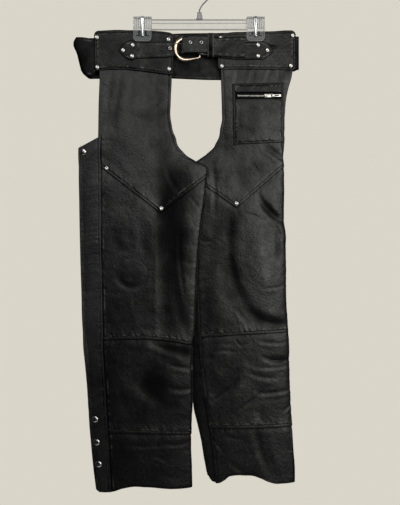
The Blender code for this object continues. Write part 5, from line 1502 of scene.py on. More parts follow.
def add_band():
    """The band round the back, in five stretches of one loop. Its rows of stitches are handed back."""
    size = table_curves(BAND_ROWS)
    ways = spaced(range(6), BAND_COLUMNS)
    top, bottom = size.top(ways), size.bottom(ways)
    drop = even_rows(top, bottom, BAND_PLACES)
    way = np.broadcast_to(np.minimum(ways, BAND_LAST_WAY), drop.shape)
    plain = band_point(way, drop)
    x = plain[..., 0]
    along = np.floor(way) * 300.0 + x
    inside = np.minimum(drop - top, bottom - drop)
    height = rolled(inside) + groove(inside, BAND_STITCH, 0.5, 0.9) + hide_waves(along, drop, 151, 0.8)
    beyond = np.maximum(inside - BAND_STITCH, 0.0)
    height += puckers(along, beyond, 7.0, 0.5, 157) + crease_heights(BAND_CREASES, x, drop)
    in_clip = np.maximum(pinch(x, drop), fade(np.minimum(way, 5.0 - way) / 0.9))
    height *= 1.0 - 0.8 * in_clip
    on_back = (way >= 2.0) & (way <= 3.0)
    # Painted shade, darkest in the middle of the band's left fold; painted shade along its edges and painted
    # highlights along its stitches.
    wing = 0.85 * np.clip(1.0 - np.abs(way - 1.0) / 0.9, 0.0, 1.0) * (x < LEFT_YOKE.ends[0] + 3.0)
    shade = seam_shade(inside) + glints(inside, along, BAND_STITCH, 403, 1.5)
    marks = {"height": height, "seam": shade, "hollow": wing}
    add_hide("back_band", moved(plain, height * np.where(on_back, 1.0, 0.4)), plain, marks, BAND_HIDE)
    way = np.linspace(2.02, 2.98, 330)
    lines = []
    for drop in (size.top(way) + BAND_STITCH, size.bottom(way) - BAND_STITCH):
        for face in (1.0, -1.0):
            low = moved(band_point(way, drop), -face * (BAND_LEATHER / 2 - 0.2))
            lines.append((low, moved(low, -face)))
    return lines


STRAP_STITCH = 5.4


STRAP_PLACES = {"tip": 33, "buckle": 31}
TIP_COLUMNS = 210


def strap_inside(curves, x, drop):
    return curves.half(x) - np.abs(drop - curves.middle(x))


def strap_height(curves, x, drop, seed, ridge, rivets):
    """Height of a strap: rolled edges, two rows of stitches, and a ridge down its middle."""
    across = drop - curves.middle(x)
    inside = strap_inside(curves, x, drop)
    height = rolled(inside, 0.8, 2.2) + groove(inside, STRAP_STITCH, 0.5, 0.85)
    height += hide_waves(x, drop, seed, 0.5)
    height += ridge * hump(across + 1.0, 5.0) * (0.55 + 0.6 * random_line(x - 0.9 * across, 6.0, seed + 1))
    height += puckers(x, np.maximum(inside - STRAP_STITCH, 0.0), 5.0, 0.45, seed + 2, 5.0)
    return height + dimples(rivets, x, drop, 0.45, 8.0)


def snap_to(places, keys):
    """Moves the nearest place onto each key."""
    for key in keys:
        places[int(np.argmin(np.abs(places - key)))] = key


def strap_parts(count, middle, half):
    """Places across a strap, and which of the cells between them lie in the prong's slot."""
    parts = np.linspace(-1.0, 1.0, count)
    low, high = ((PRONG_DROP + side * PRONG_SLOT - middle) / half for side in (-1, 1))
    snap_to(parts, (low, high))
    return parts, (parts[:-1] >= low - 1e-6) & (parts[1:] <= high + 1e-6)


def strap_lines(curves, ends, surface_y):
    """A strap's two rows of stitches."""
    xs = np.arange(*ends, ROUTE_STEP)
    half = curves.half(xs) - STRAP_STITCH
    routes = [np.stack((xs, curves.middle(xs) + sign * half), axis=-1) for sign in (-1.0, 1.0)]
    return [flat_route(route, surface_y, STRAP_LEATHER) for route in routes]


def tip_strap_y(x, drop, curves):
    """It lies on the left yoke, then crosses to lie on the other strap."""
    off_yoke = ease((x - TIP_LEAVES_YOKE) / LEAVING)
    on_strap = ease((x - TIP_MEETS_STRAP + 2 * LEAVING) / (2 * LEAVING))
    lying = waist_y(x, drop) - ON_YOKE - ON_STRAP * on_strap
    free = off_yoke * (1.0 - on_strap)
    return blend(lying, curves.y(x), free)


def tip_strap_height(curves, x, drop):
    ridge = 0.9 * fade((x + 62.0) / 20.0)
    height = strap_height(curves, x, drop, 171, ridge, STRAP_RIVETS["tip_strap"] + EYELETS)
    return height + ease((x - 60.0) / 20.0) * 0.4 * random_line(x + drop, 9.0, 177)


def add_tip_strap():
    curves = table_curves(TIP_STRAP)
    xs = np.linspace(TIP_STRAP[0].x, TIP_STRAP[-1].x, TIP_COLUMNS)
    snap_to(xs, (*TIP_HOLE, TIP_STRAP[1].x, TIP_STRAP[2].x))
    hole_x = sum(TIP_HOLE) / 2.0
    parts, in_slot = strap_parts(STRAP_PLACES["tip"], curves.middle(hole_x), curves.half(hole_x))
    in_hole = (xs[:-1] >= TIP_HOLE[0]) & (xs[1:] <= TIP_HOLE[1])
    drop = curves.middle(xs) + curves.half(xs) * parts[:, None]
    x = np.broadcast_to(xs, drop.shape)
    height = tip_strap_height(curves, x, drop)
    plain = np.stack((x, tip_strap_y(x, drop, curves), -drop), axis=-1)
    inside = strap_inside(curves, x, drop)
    # Painted shade along the strap's edges and painted highlights along its stitches.
    marks = {"height": height, "seam": seam_shade(inside) + glints(inside, x, STRAP_STITCH, 405, 1.3)}
    add_hide("tip_strap", moved(plain, height), plain, marks, STRAP_HIDE,
             cut=lambda row, column: in_slot[row] and in_hole[column])
    return strap_lines(curves, (-143.0, 102.0), lambda x, drop: (
        tip_strap_y(x, drop, curves) - tip_strap_height(curves, x, drop)))


HEEL_LOOP_COLUMNS = 17
RETURN_COLUMNS = 8
BUCKLE_STRAP_END = 10.0


def buckle_strap_y(curves, x, drop):
    on_yoke = waist_y(x, drop) - ON_YOKE
    off = np.where(x > STRAP_RETURN[0], curves.y(x), HEEL_Y - HEEL_LOOP)
    part = ease((BUCKLE_STRAP_LEAVES_YOKE - x) / (2 * LEAVING))
    return blend(on_yoke, off, part)


def buckle_strap_height(curves, x, drop):
    return strap_height(curves, x, drop, 191, 0.25, STRAP_RIVETS["buckle_strap"])


def add_buckle_strap():
    """From its riveted end to the buckle's heel bar, round the bar and back under itself."""
    curves = table_curves(BUCKLE_STRAP[::-1])
    parts, in_slot = strap_parts(STRAP_PLACES["buckle"], HEEL_LOOP_MIDDLE, HEEL_LOOP_HALF)
    parts = parts[:, None]
    xs = np.append(np.arange(BUCKLE_STRAP[0].x, STRAP_RETURN[0], -ROUTE_STEP), BUCKLE_STRAP_END)
    drop = curves.middle(xs) + curves.half(xs) * parts
    x = np.broadcast_to(xs, drop.shape)
    height = buckle_strap_height(curves, x, drop) * ease((x - BUCKLE_STRAP_END) / 20.0)
    strap = np.stack((x, buckle_strap_y(curves, x, drop) - height, -drop), axis=-1)
    loop = arc(HEEL_X, HEEL_Y, HEEL_LOOP, -90.0, -270.0, HEEL_LOOP_COLUMNS)
    loop += [(x, HEEL_Y + HEEL_LOOP) for x in np.linspace(*STRAP_RETURN, RETURN_COLUMNS)]
    x, y = np.array(loop).T
    rest = np.stack(np.broadcast_arrays(x, y, -HEEL_LOOP_MIDDLE - HEEL_LOOP_HALF * parts), axis=-1)
    placed = np.concatenate((strap, rest), axis=1)
    half = np.append(curves.half(xs), np.full(len(loop), HEEL_LOOP_HALF))
    inside = half * (1.0 - np.abs(parts))
    # Painted shade along the strap's edges and painted highlights along its stitches.
    marks = {
        "height": np.pad(height, ((0, 0), (0, len(loop)))),
        "seam": seam_shade(inside) + glints(inside, placed[..., 0], STRAP_STITCH, 407, 1.3),
    }
    looped = range(len(xs) - 1, len(xs) + HEEL_LOOP_COLUMNS)
    add_hide("buckle_strap", placed, placed, marks, STRAP_HIDE,
             cut=lambda row, column: in_slot[row] and column in looped)
    return strap_lines(curves, (22.0, 141.0), lambda x, drop: (
        buckle_strap_y(curves, x, drop) - buckle_strap_height(curves, x, drop)))


KEEPER_X = (20.9, 34.3)
KEEPER_Y = (-19.4, -2.2)
KEEPER_DROPS = (117.0, 172.4)
KEEPER_CORNER = 3.0
KEEPER_COLUMNS = 13
KEEPER_STEP = 1.6


def add_keeper():
    """Loop round both straps."""
    reach = KEEPER_CORNER - KEEPER_LEATHER / 2
    front, back = KEEPER_Y[0] + KEEPER_CORNER, KEEPER_Y[1] - KEEPER_CORNER
    top, bottom = KEEPER_DROPS[0] + KEEPER_CORNER, KEEPER_DROPS[1] - KEEPER_CORNER
    corners = arc(front, top, reach, 180.0, 270.0, CORNER_STEPS)
    corners += arc(back, top, reach, 270.0, 360.0, CORNER_STEPS)
    corners += arc(back, bottom, reach, 0.0, 90.0, CORNER_STEPS)
    corners += arc(front, bottom, reach, 90.0, 180.0, CORNER_STEPS)
    corners.append(corners[0])
    ring = []
    for first, second in zip(corners[:-1], corners[1:]):
        steps = max(1, int(math.dist(first, second) / KEEPER_STEP))
        ring.append(np.linspace(first, second, steps, endpoint=False))
    y, drop = np.concatenate(ring + [corners[:1]]).T
    xs = np.linspace(*KEEPER_X, KEEPER_COLUMNS)[:, None]
    points = np.stack(np.broadcast_arrays(xs, y, -drop), axis=-1)
    inside = np.minimum(xs - KEEPER_X[0], KEEPER_X[1] - xs)
    height = rolled(inside, 0.4, 1.4) + groove(inside, 2.6, 0.3, 0.6)
    points = moved(points, np.where(y < front, height, 0.0))
    # Painted highlights along the keeper's edges and painted shade across its middle.
    shade = 0.5 - 1.3 * hump(inside - 0.8, 0.9)
    marks = {name: np.broadcast_to(mark, points.shape[:2]) for name, mark in
             (("height", height), ("seam", shade))}
    add_hide("keeper", points, points, marks, KEEPER_HIDE, closed=True)


# ---------------------------------------------------------------- buckle

BuckleRow = namedtuple("BuckleRow", "x y drop radius")
BUCKLE_FRAME = table(
    BuckleRow,
    (HEEL_X, HEEL_Y, 142.0, 2.2),
    (HEEL_X, HEEL_Y, 134.0, 2.2),
    (-10, -10.2, 130.2, 2.1),
    (-25, -11.6, 128.0, 2.1),
    (-38, -13.2, 129.4, 2.3),
    (-49, -15.2, 138.0, 2.6),
    (-52.8, -15.6, 152.0, 2.6),
    (-49, -15.2, 167.6, 2.6),
    (-38, -13.2, 175.4, 2.3),
    (-25, -11.6, 176.2, 2.1),
    (-10, -10.2, 174.0, 2.1),
    (HEEL_X, HEEL_Y, 171.0, 2.2),
    (HEEL_X, HEEL_Y, 163.0, 2.2),
)
PRONG_ROUTE = (
    (-10, -9.9), (-24, -12.0), (-37, -13.9), (-43, -16.4), (-48.5, -19.4), (-53.5, -20.2), (-56.5, -19.8),
)
PRONG_HOOK = (-60.0, 180.0)
BUCKLE_STEPS = 150
BUCKLE_TOE = -10.0
BUCKLE_TOE_FADE = 22.0
BUCKLE_WIDEST = 2.6
BUCKLE_SWELL = 0.75
BUCKLE_FLAT = 0.6


def smooth_path(points, count, cyclic=False):
    """Points read from a smooth curve through a few route points."""
    route = [Vector(point) for point in points]
    total = len(route) if cyclic else len(route) - 1
    found = []
    for step in range(count):
        place = step * total / (count if cyclic else count - 1)
        base = min(int(place), total - 1)
        part = place - base
        near = range(base - 1, base + 3)
        before, start, end, after = (
            route[at % total if cyclic else min(max(at, 0), total)] for at in near)
        bend = start * 2 + (end - before) * part
        bend += (before * 2 - start * 5 + end * 4 - after) * part ** 2
        bend += (start * 3 - before - end * 3 + after) * part ** 3
        found.append(bend / 2)
    return found


def smoothed(mesh, angle):
    """Smooth shading, apart from edges sharper than an angle in degrees."""
    mesh.shade_smooth()
    mesh.set_sharp_from_angle(angle=math.radians(angle))
    return mesh


def add_spline(curve, points, cyclic):
    """Straight pieces through points in millimetres. It hands back their knots."""
    spline = curve.splines.new("POLY")
    spline.points.add(len(points) - 1)
    spline.use_cyclic_u = cyclic
    for knot, point in zip(spline.points, points):
        knot.co = (*(Vector(point).to_3d() * MM), 1.0)
    return spline.points


def curve_mesh(curve):
    guide = new_object(curve.name + "_guide", curve)
    bpy.context.view_layer.update()
    mesh = bpy.data.meshes.new_from_object(guide.evaluated_get(bpy.context.evaluated_depsgraph_get()))
    bpy.data.objects.remove(guide)
    mesh.name = curve.name
    return mesh


def add_rod(name, points, radii, material, slot, node, cyclic=False):
    """Round rod through points, made a mesh."""
    curve = bpy.data.curves.new(name, "CURVE")
    curve.dimensions = "3D"
    curve.bevel_depth = MM
    curve.bevel_resolution = 5
    curve.use_fill_caps = not cyclic
    for knot, radius in zip(add_spline(curve, points, cyclic), radii):
        knot.radius = radius
    return finish_piece(new_object(name, smoothed(curve_mesh(curve), 50.0)), material, slot, node)


def add_buckle():
    """Frame, and a prong hooked round its heel bar."""
    count = BUCKLE_STEPS
    points = smooth_path([(row.x, row.y, -row.drop) for row in BUCKLE_FRAME], count, cyclic=True)
    widths = smooth_path([(row.radius, 0, 0) for row in BUCKLE_FRAME], count, cyclic=True)
    toe = [float(ease((BUCKLE_TOE - point.x) / BUCKLE_TOE_FADE)) for point in points]
    radii = [min(width.x, BUCKLE_WIDEST) * (1.0 + BUCKLE_SWELL * part) for width, part in zip(widths, toe)]
    item = add_rod("buckle_frame", points, radii, BUCKLE_METAL, "buckle_metal", "buckle", cyclic=True)
    for vert in item.data.vertices:
        near = min(range(count), key=lambda number: (points[number] * MM - vert.co).length)
        middle = points[near].y * MM
        vert.co.y = middle + (vert.co.y - middle) * (1.0 - (1.0 - BUCKLE_FLAT) * toe[near])
    hook = arc(HEEL_X, HEEL_Y, HEEL_LOOP, *PRONG_HOOK, 24)
    points = [Vector((x, y, -PRONG_DROP)) for x, y in hook]
    points += smooth_path([(x, y, -PRONG_DROP) for x, y in PRONG_ROUTE], 44)
    radii = [PRONG_RADIUS] * (len(points) - 8) + list(PRONG_RADIUS * np.linspace(1.0, 0.55, 8))
    add_rod("prong_wire", points, radii, BUCKLE_METAL, "buckle_metal", "prong")


def add_waist():
    sew("yoke_stitches", [add_yoke(LEFT_YOKE), add_yoke(RIGHT_YOKE)], "waist_leather")
    sew("band_stitches", add_band(), "waist_leather")
    sew("strap_stitches", add_tip_strap() + add_buckle_strap(), "strap_leather")
    add_keeper()
    add_buckle()


# ---------------------------------------------------------------- many small copies

STITCH_PITCH = 3.3
# Its length, width and height.
STITCH_SIZE = (2.55, 0.78, 0.62)


def add_piece(mesh, material, slot, *nodes, body=BODY):
    finish_piece(new_object(mesh.name, mesh), material, slot, *nodes, body=body)


def template(shape):
    """Corners and triangles of a small shape."""
    bmesh.ops.triangulate(shape, faces=shape.faces)
    shape.verts.ensure_lookup_table()
    corners = np.array([tuple(vert.co) for vert in shape.verts])
    triangles = np.array([[vert.index for vert in face.verts] for face in shape.faces])
    shape.free()
    return corners, triangles


def tiled_mesh(name, small, frames):
    """One mesh of many copies. Each frame is three axes and a place, in millimetres."""
    corners, triangles = small
    placed = np.einsum("kj,njl->nkl", corners, frames[:, :3]) + frames[:, 3][:, None, :]
    faces = triangles[None] + (np.arange(len(frames)) * len(corners))[:, None, None]
    mesh = bpy.data.meshes.new(name)
    mesh.from_pydata((placed.reshape(-1, 3) * MM).tolist(), [], faces.reshape(-1, 3).tolist())
    mesh.shade_smooth()
    return mesh


def unit(vectors):
    return vectors / np.linalg.norm(vectors, axis=-1, keepdims=True)


def stitch_template():
    shape = bmesh.new()
    bmesh.ops.create_uvsphere(shape, u_segments=6, v_segments=3, radius=0.5)
    bmesh.ops.rotate(shape, verts=shape.verts, cent=(0, 0, 0), matrix=Matrix.Rotation(math.pi / 2, 3, "Y"))
    return template(shape)


def sew(name, lines, slot):
    """Rows of stitches. Each line is the route on the leather and a line just outside it."""
    frames = []
    for low, high in lines:
        steps = np.linalg.norm(np.diff(low, axis=0), axis=-1)
        lengths = np.concatenate(([0.0], np.cumsum(steps)))
        places = np.arange(STITCH_PITCH / 2, lengths[-1] - STITCH_PITCH / 2, STITCH_PITCH)

        def at(route, where):
            return np.stack([np.interp(where, lengths, route[:, axis]) for axis in range(3)], axis=-1)

        middle = at(low, places)
        along = unit(at(low, places + 0.9) - at(low, places - 0.9))
        out = unit(at(high, places) - middle)
        over = unit(np.cross(out, along))
        out = np.cross(along, over)
        axes = [axis * size for axis, size in zip((along, over, out), STITCH_SIZE)]
        frames.append(np.stack((*axes, middle), axis=1))
    add_piece(tiled_mesh(name, stitch_template(), np.concatenate(frames)), THREAD, slot)


# ---------------------------------------------------------------- rivets, snaps and eyelets

RIVET_PROFILE = (
    (0, -1.4), (4.3, -1.4), (4.5, -0.2), (5.1, 0.05), (5.2, 0.35), (5.1, 0.75), (4.75, 1.3), (4.2, 1.8),
    (3.5, 2.15), (2.9, 2.3), (2.4, 2.25), (2.0, 2.0), (1.6, 1.85), (0, 1.8),
)
SNAP_PROFILE = (
    (0, -1.6), (6.4, -1.6), (6.6, -0.2), (7.5, 0.05), (7.7, 0.45), (7.6, 0.95), (7.1, 1.55), (6.3, 2.15),
    (5.2, 2.7), (3.8, 3.1), (2.0, 3.33), (0, 3.4),
)
EYELET_PROFILE = (
    (2.0, -1.2), (2.0, 0.2), (2.2, 0.75), (2.65, 1.1), (3.2, 1.15), (3.8, 0.85), (4.2, 0.4), (4.3, 0.0),
    (4.0, -0.35), (3.2, -0.5), (2.6, -1.2), (2.0, -1.2),
)
CAP_SIDES = 40


def turned_mesh(name, profile, sides=CAP_SIDES):
    """Solid of revolution about Z: profile is (radius, height) pairs."""
    shape = bmesh.new()
    verts = [shape.verts.new((radius * MM, 0.0, height * MM)) for radius, height in profile]
    for first, second in zip(verts[:-1], verts[1:]):
        shape.edges.new((first, second))
    bmesh.ops.spin(
        shape, geom=shape.verts[:] + shape.edges[:], cent=(0, 0, 0), axis=(0, 0, 1),
        angle=2.0 * math.pi, steps=sides, use_merge=True, use_duplicate=False,
    )
    bmesh.ops.remove_doubles(shape, verts=shape.verts, dist=WELD)
    bmesh.ops.recalc_face_normals(shape, faces=shape.faces)
    mesh = bpy.data.meshes.new(name)
    shape.to_mesh(mesh)
    shape.free()
    return smoothed(mesh, 48.0)


def seat_of(node):
    """Base centre and outward direction of a turned node, from its mesh."""
    places = np.array([vert.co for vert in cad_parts[node].data.vertices])
    places = np.unique(places.round(7), axis=0)
    middle = places.mean(axis=0)
    axis = np.linalg.svd(places - middle)[2][2]
    heights = (places - middle) @ axis
    low = places[heights < heights.min() + 1e-4]
    high = places[heights > heights.max() - 1e-4]
    if np.ptp(high, axis=0).max() > np.ptp(low, axis=0).max():
        low, axis = high, -axis
    return (low.max(axis=0) + low.min(axis=0)) / 2.0, Vector(axis)


def put(mesh, place, out=None):
    """Moves a mesh to a place in metres, with its Z axis turned outwards if that is given."""
    turn = out.to_track_quat("Z", "Y").to_matrix().to_4x4() if out else Matrix()
    mesh.transform(Matrix.Translation(Vector(place)) @ turn)
    return mesh


def add_cap(node, profile, material, slot):
    add_piece(put(turned_mesh(node + "_metal", profile), *seat_of(node)), material, slot, node)


def add_caps():
    for node in sorted(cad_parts):
        if "rivet" in node:
            add_cap(node, RIVET_PROFILE, RIVET_METAL, "rivets")
        elif "snap" in node:
            add_cap(node, SNAP_PROFILE, SNAP_METAL, "snaps")
        elif "eyelet" in node:
            add_cap(node, EYELET_PROFILE, RIVET_METAL, "eyelets")


# ---------------------------------------------------------------- pocket and zip

POCKET_SIDES = ((77.5, 80.8), (194.0, 194.6))
POCKET_DROPS = (230.4, 368.0)
POCKET_TOP = edge_line(((76, 231.8), (196, 229.0)))
POCKET_BOTTOM = edge_line(((76, 370.5), (196, 365.5)))
POCKET_LIFT = LEATHER + GAP
POCKET_PUFF = 2.0
POCKET_PUFF_WIDTH = 5.0
POCKET_TOP_FADE = 15.0
POCKET_BOTTOM_FADE = 60.0
POCKET_STITCH = 4.2
SLOT_X = (87.0, 189.0)
SLOT_TOP = 253.0
SLOT_BOTTOM = 265.6
TAPE_X = (84.5, 190.5)
TAPE_DROPS = (248.0, 270.5)
TAPE_LIFT = LEATHER / 2 + GAP + ZIP_TAPE / 2
ZIP_DROP = 259.4
TEETH_X = (89.0, 150.0)
TOOTH_PITCH = 1.25
SLIDER_X = (150.4, 166.9)
SLIDER_HALF = 4.2
SLIDER_THICK = 3.0
PULL_LENGTH = 20.5
PULL_HALF = 2.7
PULL_THICK = 1.4
PULL_AXIS_X = 167.8
PULL_AXIS_OUT = 0.95
SEAT_SLACK = 0.25
# Cells of the pocket before, in and after its slot.
POCKET_COLUMNS = (7, 74, 5)
POCKET_ROWS = (18, 8, 70)
POCKET_CREASES = table(
    Crease,
    ((104, 288), (128, 296), (160, 290), 7, 0.7, 0.3),
    ((92, 330), (110, 345), (128, 338), 8, 0.6, 0),
    ((150, 320), (166, 336), (184, 332), 7, 0.7, 0.3),
    ((96, 272), (90, 300), (95, 336), 5, 0.5, 0),
)


def pocket_side(x_pair, drop):
    return np.interp(drop, POCKET_DROPS, x_pair)


def pocket_inside(x, drop):
    """How far a place lies inside the pocket's edges."""
    from_left = x - pocket_side(POCKET_SIDES[0], drop)
    from_side = np.minimum(from_left, pocket_side(POCKET_SIDES[1], drop) - x)
    return from_side, np.minimum(drop - POCKET_TOP(x), POCKET_BOTTOM(x) - drop)


def on_right_front(x, drop, lift):
    """Point in front of the right leg's front panels."""
    points = RIGHT.surface(RIGHT.front_turn(x, drop), drop)
    points[..., 1] -= lift
    return points


def slot_distance(x, drop):
    """How far a place lies from the slot, and how far beside it."""
    half = (SLOT_X[1] - SLOT_X[0]) / 2.0
    beside = np.abs(x - SLOT_X[0] - half) - half
    over = np.maximum(SLOT_TOP - drop, drop - SLOT_BOTTOM)
    return np.hypot(np.maximum(beside, 0.0), np.maximum(over, 0.0)), beside


def pocket_height(x, drop):
    from_side, from_end = pocket_inside(x, drop)
    inside = np.minimum(from_side, from_end)
    along = np.where(from_side < from_end, drop, x)
    puff = 0.4 + 0.6 * ease((inside - POCKET_STITCH + 1.0) / POCKET_PUFF_WIDTH)
    height = POCKET_PUFF * puff + rolled(inside, 0.6, 1.8)
    height += groove(inside, POCKET_STITCH, 0.3, 1.0) + hide_waves(x, drop, 211, 0.9)
    height += gathers(inside, POCKET_STITCH, along, 213, (8.0, 0.8), (3.0, 0.4), 4)
    from_slot, beside = slot_distance(x, drop)
    height += groove(from_slot, 3.2, 0.55, 0.8) - 0.5 * fade(from_slot / 1.4)
    above = (drop < SLOT_TOP) & (beside < 2.0)
    height += np.where(above, 0.7 * hump(from_slot - 1.8, 2.2), 0.0)
    return height + crease_heights(POCKET_CREASES, x, drop)


def add_pocket():
    """A patch with a slot for its zip."""
    inner = pocket_side(POCKET_SIDES[0], SLOT_TOP)
    outer = pocket_side(POCKET_SIDES[1], SLOT_TOP)
    slot = [(x - inner) / (outer - inner) for x in SLOT_X]
    top, bottom = POCKET_DROPS
    drops = spaced((top, SLOT_TOP, SLOT_BOTTOM, bottom), POCKET_ROWS)
    part, guess = np.meshgrid(spaced((0.0, *slot, 1.0), POCKET_COLUMNS), drops)
    left = pocket_side(POCKET_SIDES[0], guess)
    x = left + (pocket_side(POCKET_SIDES[1], guess) - left) * part
    to_bottom = ease((guess - SLOT_BOTTOM) / POCKET_BOTTOM_FADE)
    to_top = fade((guess - top) / POCKET_TOP_FADE)
    drop = guess + (POCKET_BOTTOM(x) - bottom) * to_bottom + (POCKET_TOP(x) - top) * to_top
    height = pocket_height(x, drop)
    placed = on_right_front(x, drop, POCKET_LIFT + height)
    slot_rows, slot_columns = (
        range(before, before + within) for before, within, _ in (POCKET_ROWS, POCKET_COLUMNS))
    inside = np.minimum(*pocket_inside(x, drop))
    # Painted shade along the edges, round the slot and down the row of stitches, painted highlights beside
    # that row, and painted shade darkest above the zip.
    shade = np.maximum(seam_shade(inside), hump(slot_distance(x, drop)[0], 2.0))
    shade += 0.25 * hump(inside - POCKET_STITCH, ROW_SHADE)
    shade += glints(inside, x + drop, POCKET_STITCH + 2.8, 409, 1.4)
    dull = 0.55 - 0.27 * ease((drop - SLOT_TOP) / 20.0) - 0.12 * ease((x - 110.0) / 60.0)
    marks = {"height": height - 0.8 * POCKET_PUFF, "seam": shade, "hollow": dull}
    add_hide("pocket", placed, on_right_front(x, drop, POCKET_LIFT), marks, LEG_HIDE,
             cut=lambda row, column: row in slot_rows and column in slot_columns)
    lines = [pocket_line(pocket_outline(POCKET_STITCH))]
    xs = np.arange(SLOT_X[0] - 2.0, SLOT_X[1] + 2.0, 1.5)
    for drop in (SLOT_TOP - 3.2, SLOT_BOTTOM + 3.2):
        lines.append(pocket_line(np.stack((xs, np.full(xs.shape, drop)), axis=-1)))
    sew("pocket_stitches", lines, "leg_leather")


def pocket_outline(inset):
    """Places at one distance inside the pocket's edges, all the way round."""
    xs = np.arange(POCKET_SIDES[0][0] + inset + 1.0, POCKET_SIDES[1][0] - inset - 1.0, 1.5)
    drops = np.arange(POCKET_DROPS[0] + inset + 2.0, POCKET_DROPS[1] - inset - 2.0, 1.5)
    upper = [(x, float(POCKET_TOP(x)) + inset) for x in xs]
    right = [(float(pocket_side(POCKET_SIDES[1], drop)) - inset, drop) for drop in drops]
    lower = [(x, float(POCKET_BOTTOM(x)) - inset) for x in xs[::-1] if x > POCKET_SIDES[0][1] + inset]
    left = [(float(pocket_side(POCKET_SIDES[0], drop)) + inset, drop) for drop in drops[::-1]]
    return np.array(upper + right + lower + left)


def pocket_line(route):
    x, drop = route[:, 0], route[:, 1]
    lift = POCKET_LIFT + pocket_height(x, drop) + LEATHER / 2
    return on_right_front(x, drop, lift), on_right_front(x, drop, lift + 1.0)


def round_edges(shape, edges, offset, segments, **settings):
    bmesh.ops.bevel(
        shape, geom=edges, offset=offset, segments=segments, profile=0.5, affect="EDGES", material=-1,
        **settings,
    )


def tooth_template():
    shape = bmesh.new()
    bmesh.ops.create_cube(shape, size=1.0)
    round_edges(shape, shape.edges[:], 0.18, 1)
    return template(shape)


def add_zip():
    """Tape, teeth, slider and pull tab."""
    x, drop = np.meshgrid(np.linspace(*TAPE_X, 70), np.linspace(*TAPE_DROPS, 16))
    middle = np.abs(drop - ZIP_DROP)
    height = 0.25 * hump(middle - 3.2, 0.9)
    points = on_right_front(x, drop, TAPE_LIFT + height)
    item = new_object("zip_tape_weave", grid_mesh("zip_tape_weave", points))
    add_wall(item, ZIP_TAPE, 0.15)
    finish_piece(item, ZIP_WEAVE, "zip_tape", "zip_tape")
    on_right_front(x, drop, TAPE_LIFT)
    lift = TAPE_LIFT + ZIP_TAPE / 2 + GAP + 0.75
    frames = []
    for number, x in enumerate(np.arange(TEETH_X[0] + 0.6, TEETH_X[1], TOOTH_PITCH)):
        side = 1.0 if number % 2 else -1.0
        place = on_right_front(np.array(x), np.array(ZIP_DROP + side * 0.55), lift)
        frames.append(((1.05, 0, 0), (0, 1.4, 0), (0, 0, 2.9), place))
    mesh = tiled_mesh("zip_tooth_rows", tooth_template(), np.array(frames))
    add_piece(smoothed(mesh, 40.0), ZIP_METAL, "zip_metal", "zip_teeth")
    middle = sum(SLIDER_X) / 2.0
    tape = on_right_front(np.array(middle), np.array(ZIP_DROP), TAPE_LIFT + ZIP_TAPE / 2)
    seat = float(tape[1]) - GAP - SEAT_SLACK
    add_slider(seat)
    add_pull(seat - SLIDER_THICK - PULL_AXIS_OUT)


def block(low, high, rounding, segments=3):
    """Box between two corners with rounded edges, as a bmesh in metres."""
    shape = bmesh.new()
    bmesh.ops.create_cube(shape, size=1.0)
    low, high = Vector(low), Vector(high)
    bmesh.ops.scale(shape, vec=(high - low) * MM, verts=shape.verts)
    bmesh.ops.translate(shape, vec=(high + low) / 2.0 * MM, verts=shape.verts)
    round_edges(shape, shape.edges[:], rounding * MM, segments)
    return shape


def taken(mesh):
    """A mesh as a bmesh, in its stead."""
    shape = bmesh.new()
    shape.from_mesh(mesh)
    bpy.data.meshes.remove(mesh)
    return shape


def joined_mesh(name, shapes):
    """One mesh of several bmeshes."""
    mesh = bpy.data.meshes.new(name)
    whole = bmesh.new()
    for shape in shapes:
        part = bpy.data.meshes.new(name + "_part")
        shape.to_mesh(part)
        shape.free()
        whole.from_mesh(part)
        bpy.data.meshes.remove(part)
    whole.to_mesh(mesh)
    whole.free()
    return smoothed(mesh, 40.0)


EAR_THICK = 0.9


def add_slider(seat):
    """Body with a waist, a crown on its face and two ears for the pull tab."""
    front = seat - SLIDER_THICK
    body = block(
        (SLIDER_X[0], front + 0.5, -ZIP_DROP - SLIDER_HALF),
        (SLIDER_X[1] - 0.6, seat, -ZIP_DROP + SLIDER_HALF), 0.9,
    )
    for vert in body.verts:
        part = (vert.co.x / MM - SLIDER_X[0]) / (SLIDER_X[1] - SLIDER_X[0])
        vert.co.z = -ZIP_DROP * MM + (vert.co.z + ZIP_DROP * MM) * (0.78 + 0.22 * abs(2.0 * part - 0.7))
    crown = block(
        (SLIDER_X[0] + 3.0, front - 0.6, -ZIP_DROP - 1.7),
        (SLIDER_X[1] - 1.2, front + 1.0, -ZIP_DROP + 1.7), 0.6,
    )
    shapes = [body, crown]
    axis_y = front - PULL_AXIS_OUT
    near = PULL_HALF + GAP
    for side in (-1.0, 1.0):
        low, high = sorted((side * near, side * (near + EAR_THICK)))
        shapes.append(block(
            (SLIDER_X[1] - 3.2, axis_y - 0.8, -ZIP_DROP + low),
            (PULL_AXIS_X + 0.9, front + 1.0, -ZIP_DROP + high), 0.3,
        ))
    add_piece(joined_mesh("zip_slider_body", shapes), ZIP_METAL, "zip_metal", "zip_slider")


PULL_PLATE = 1.0
PULL_HOLE_X = (5.5, 16.0)
PULL_HOLE_HALF = 1.0
PULL_CORNER = 1.6


def rounded_box(low, high, half, radius):
    """Outline of a flat shape with rounded corners."""
    outline = []
    for x, y, start in ((high - radius, half - radius, 0), (low + radius, half - radius, 90),
                        (low + radius, radius - half, 180), (high - radius, radius - half, 270)):
        outline += arc(x, y, radius, start, start + 90, 6)
    return outline


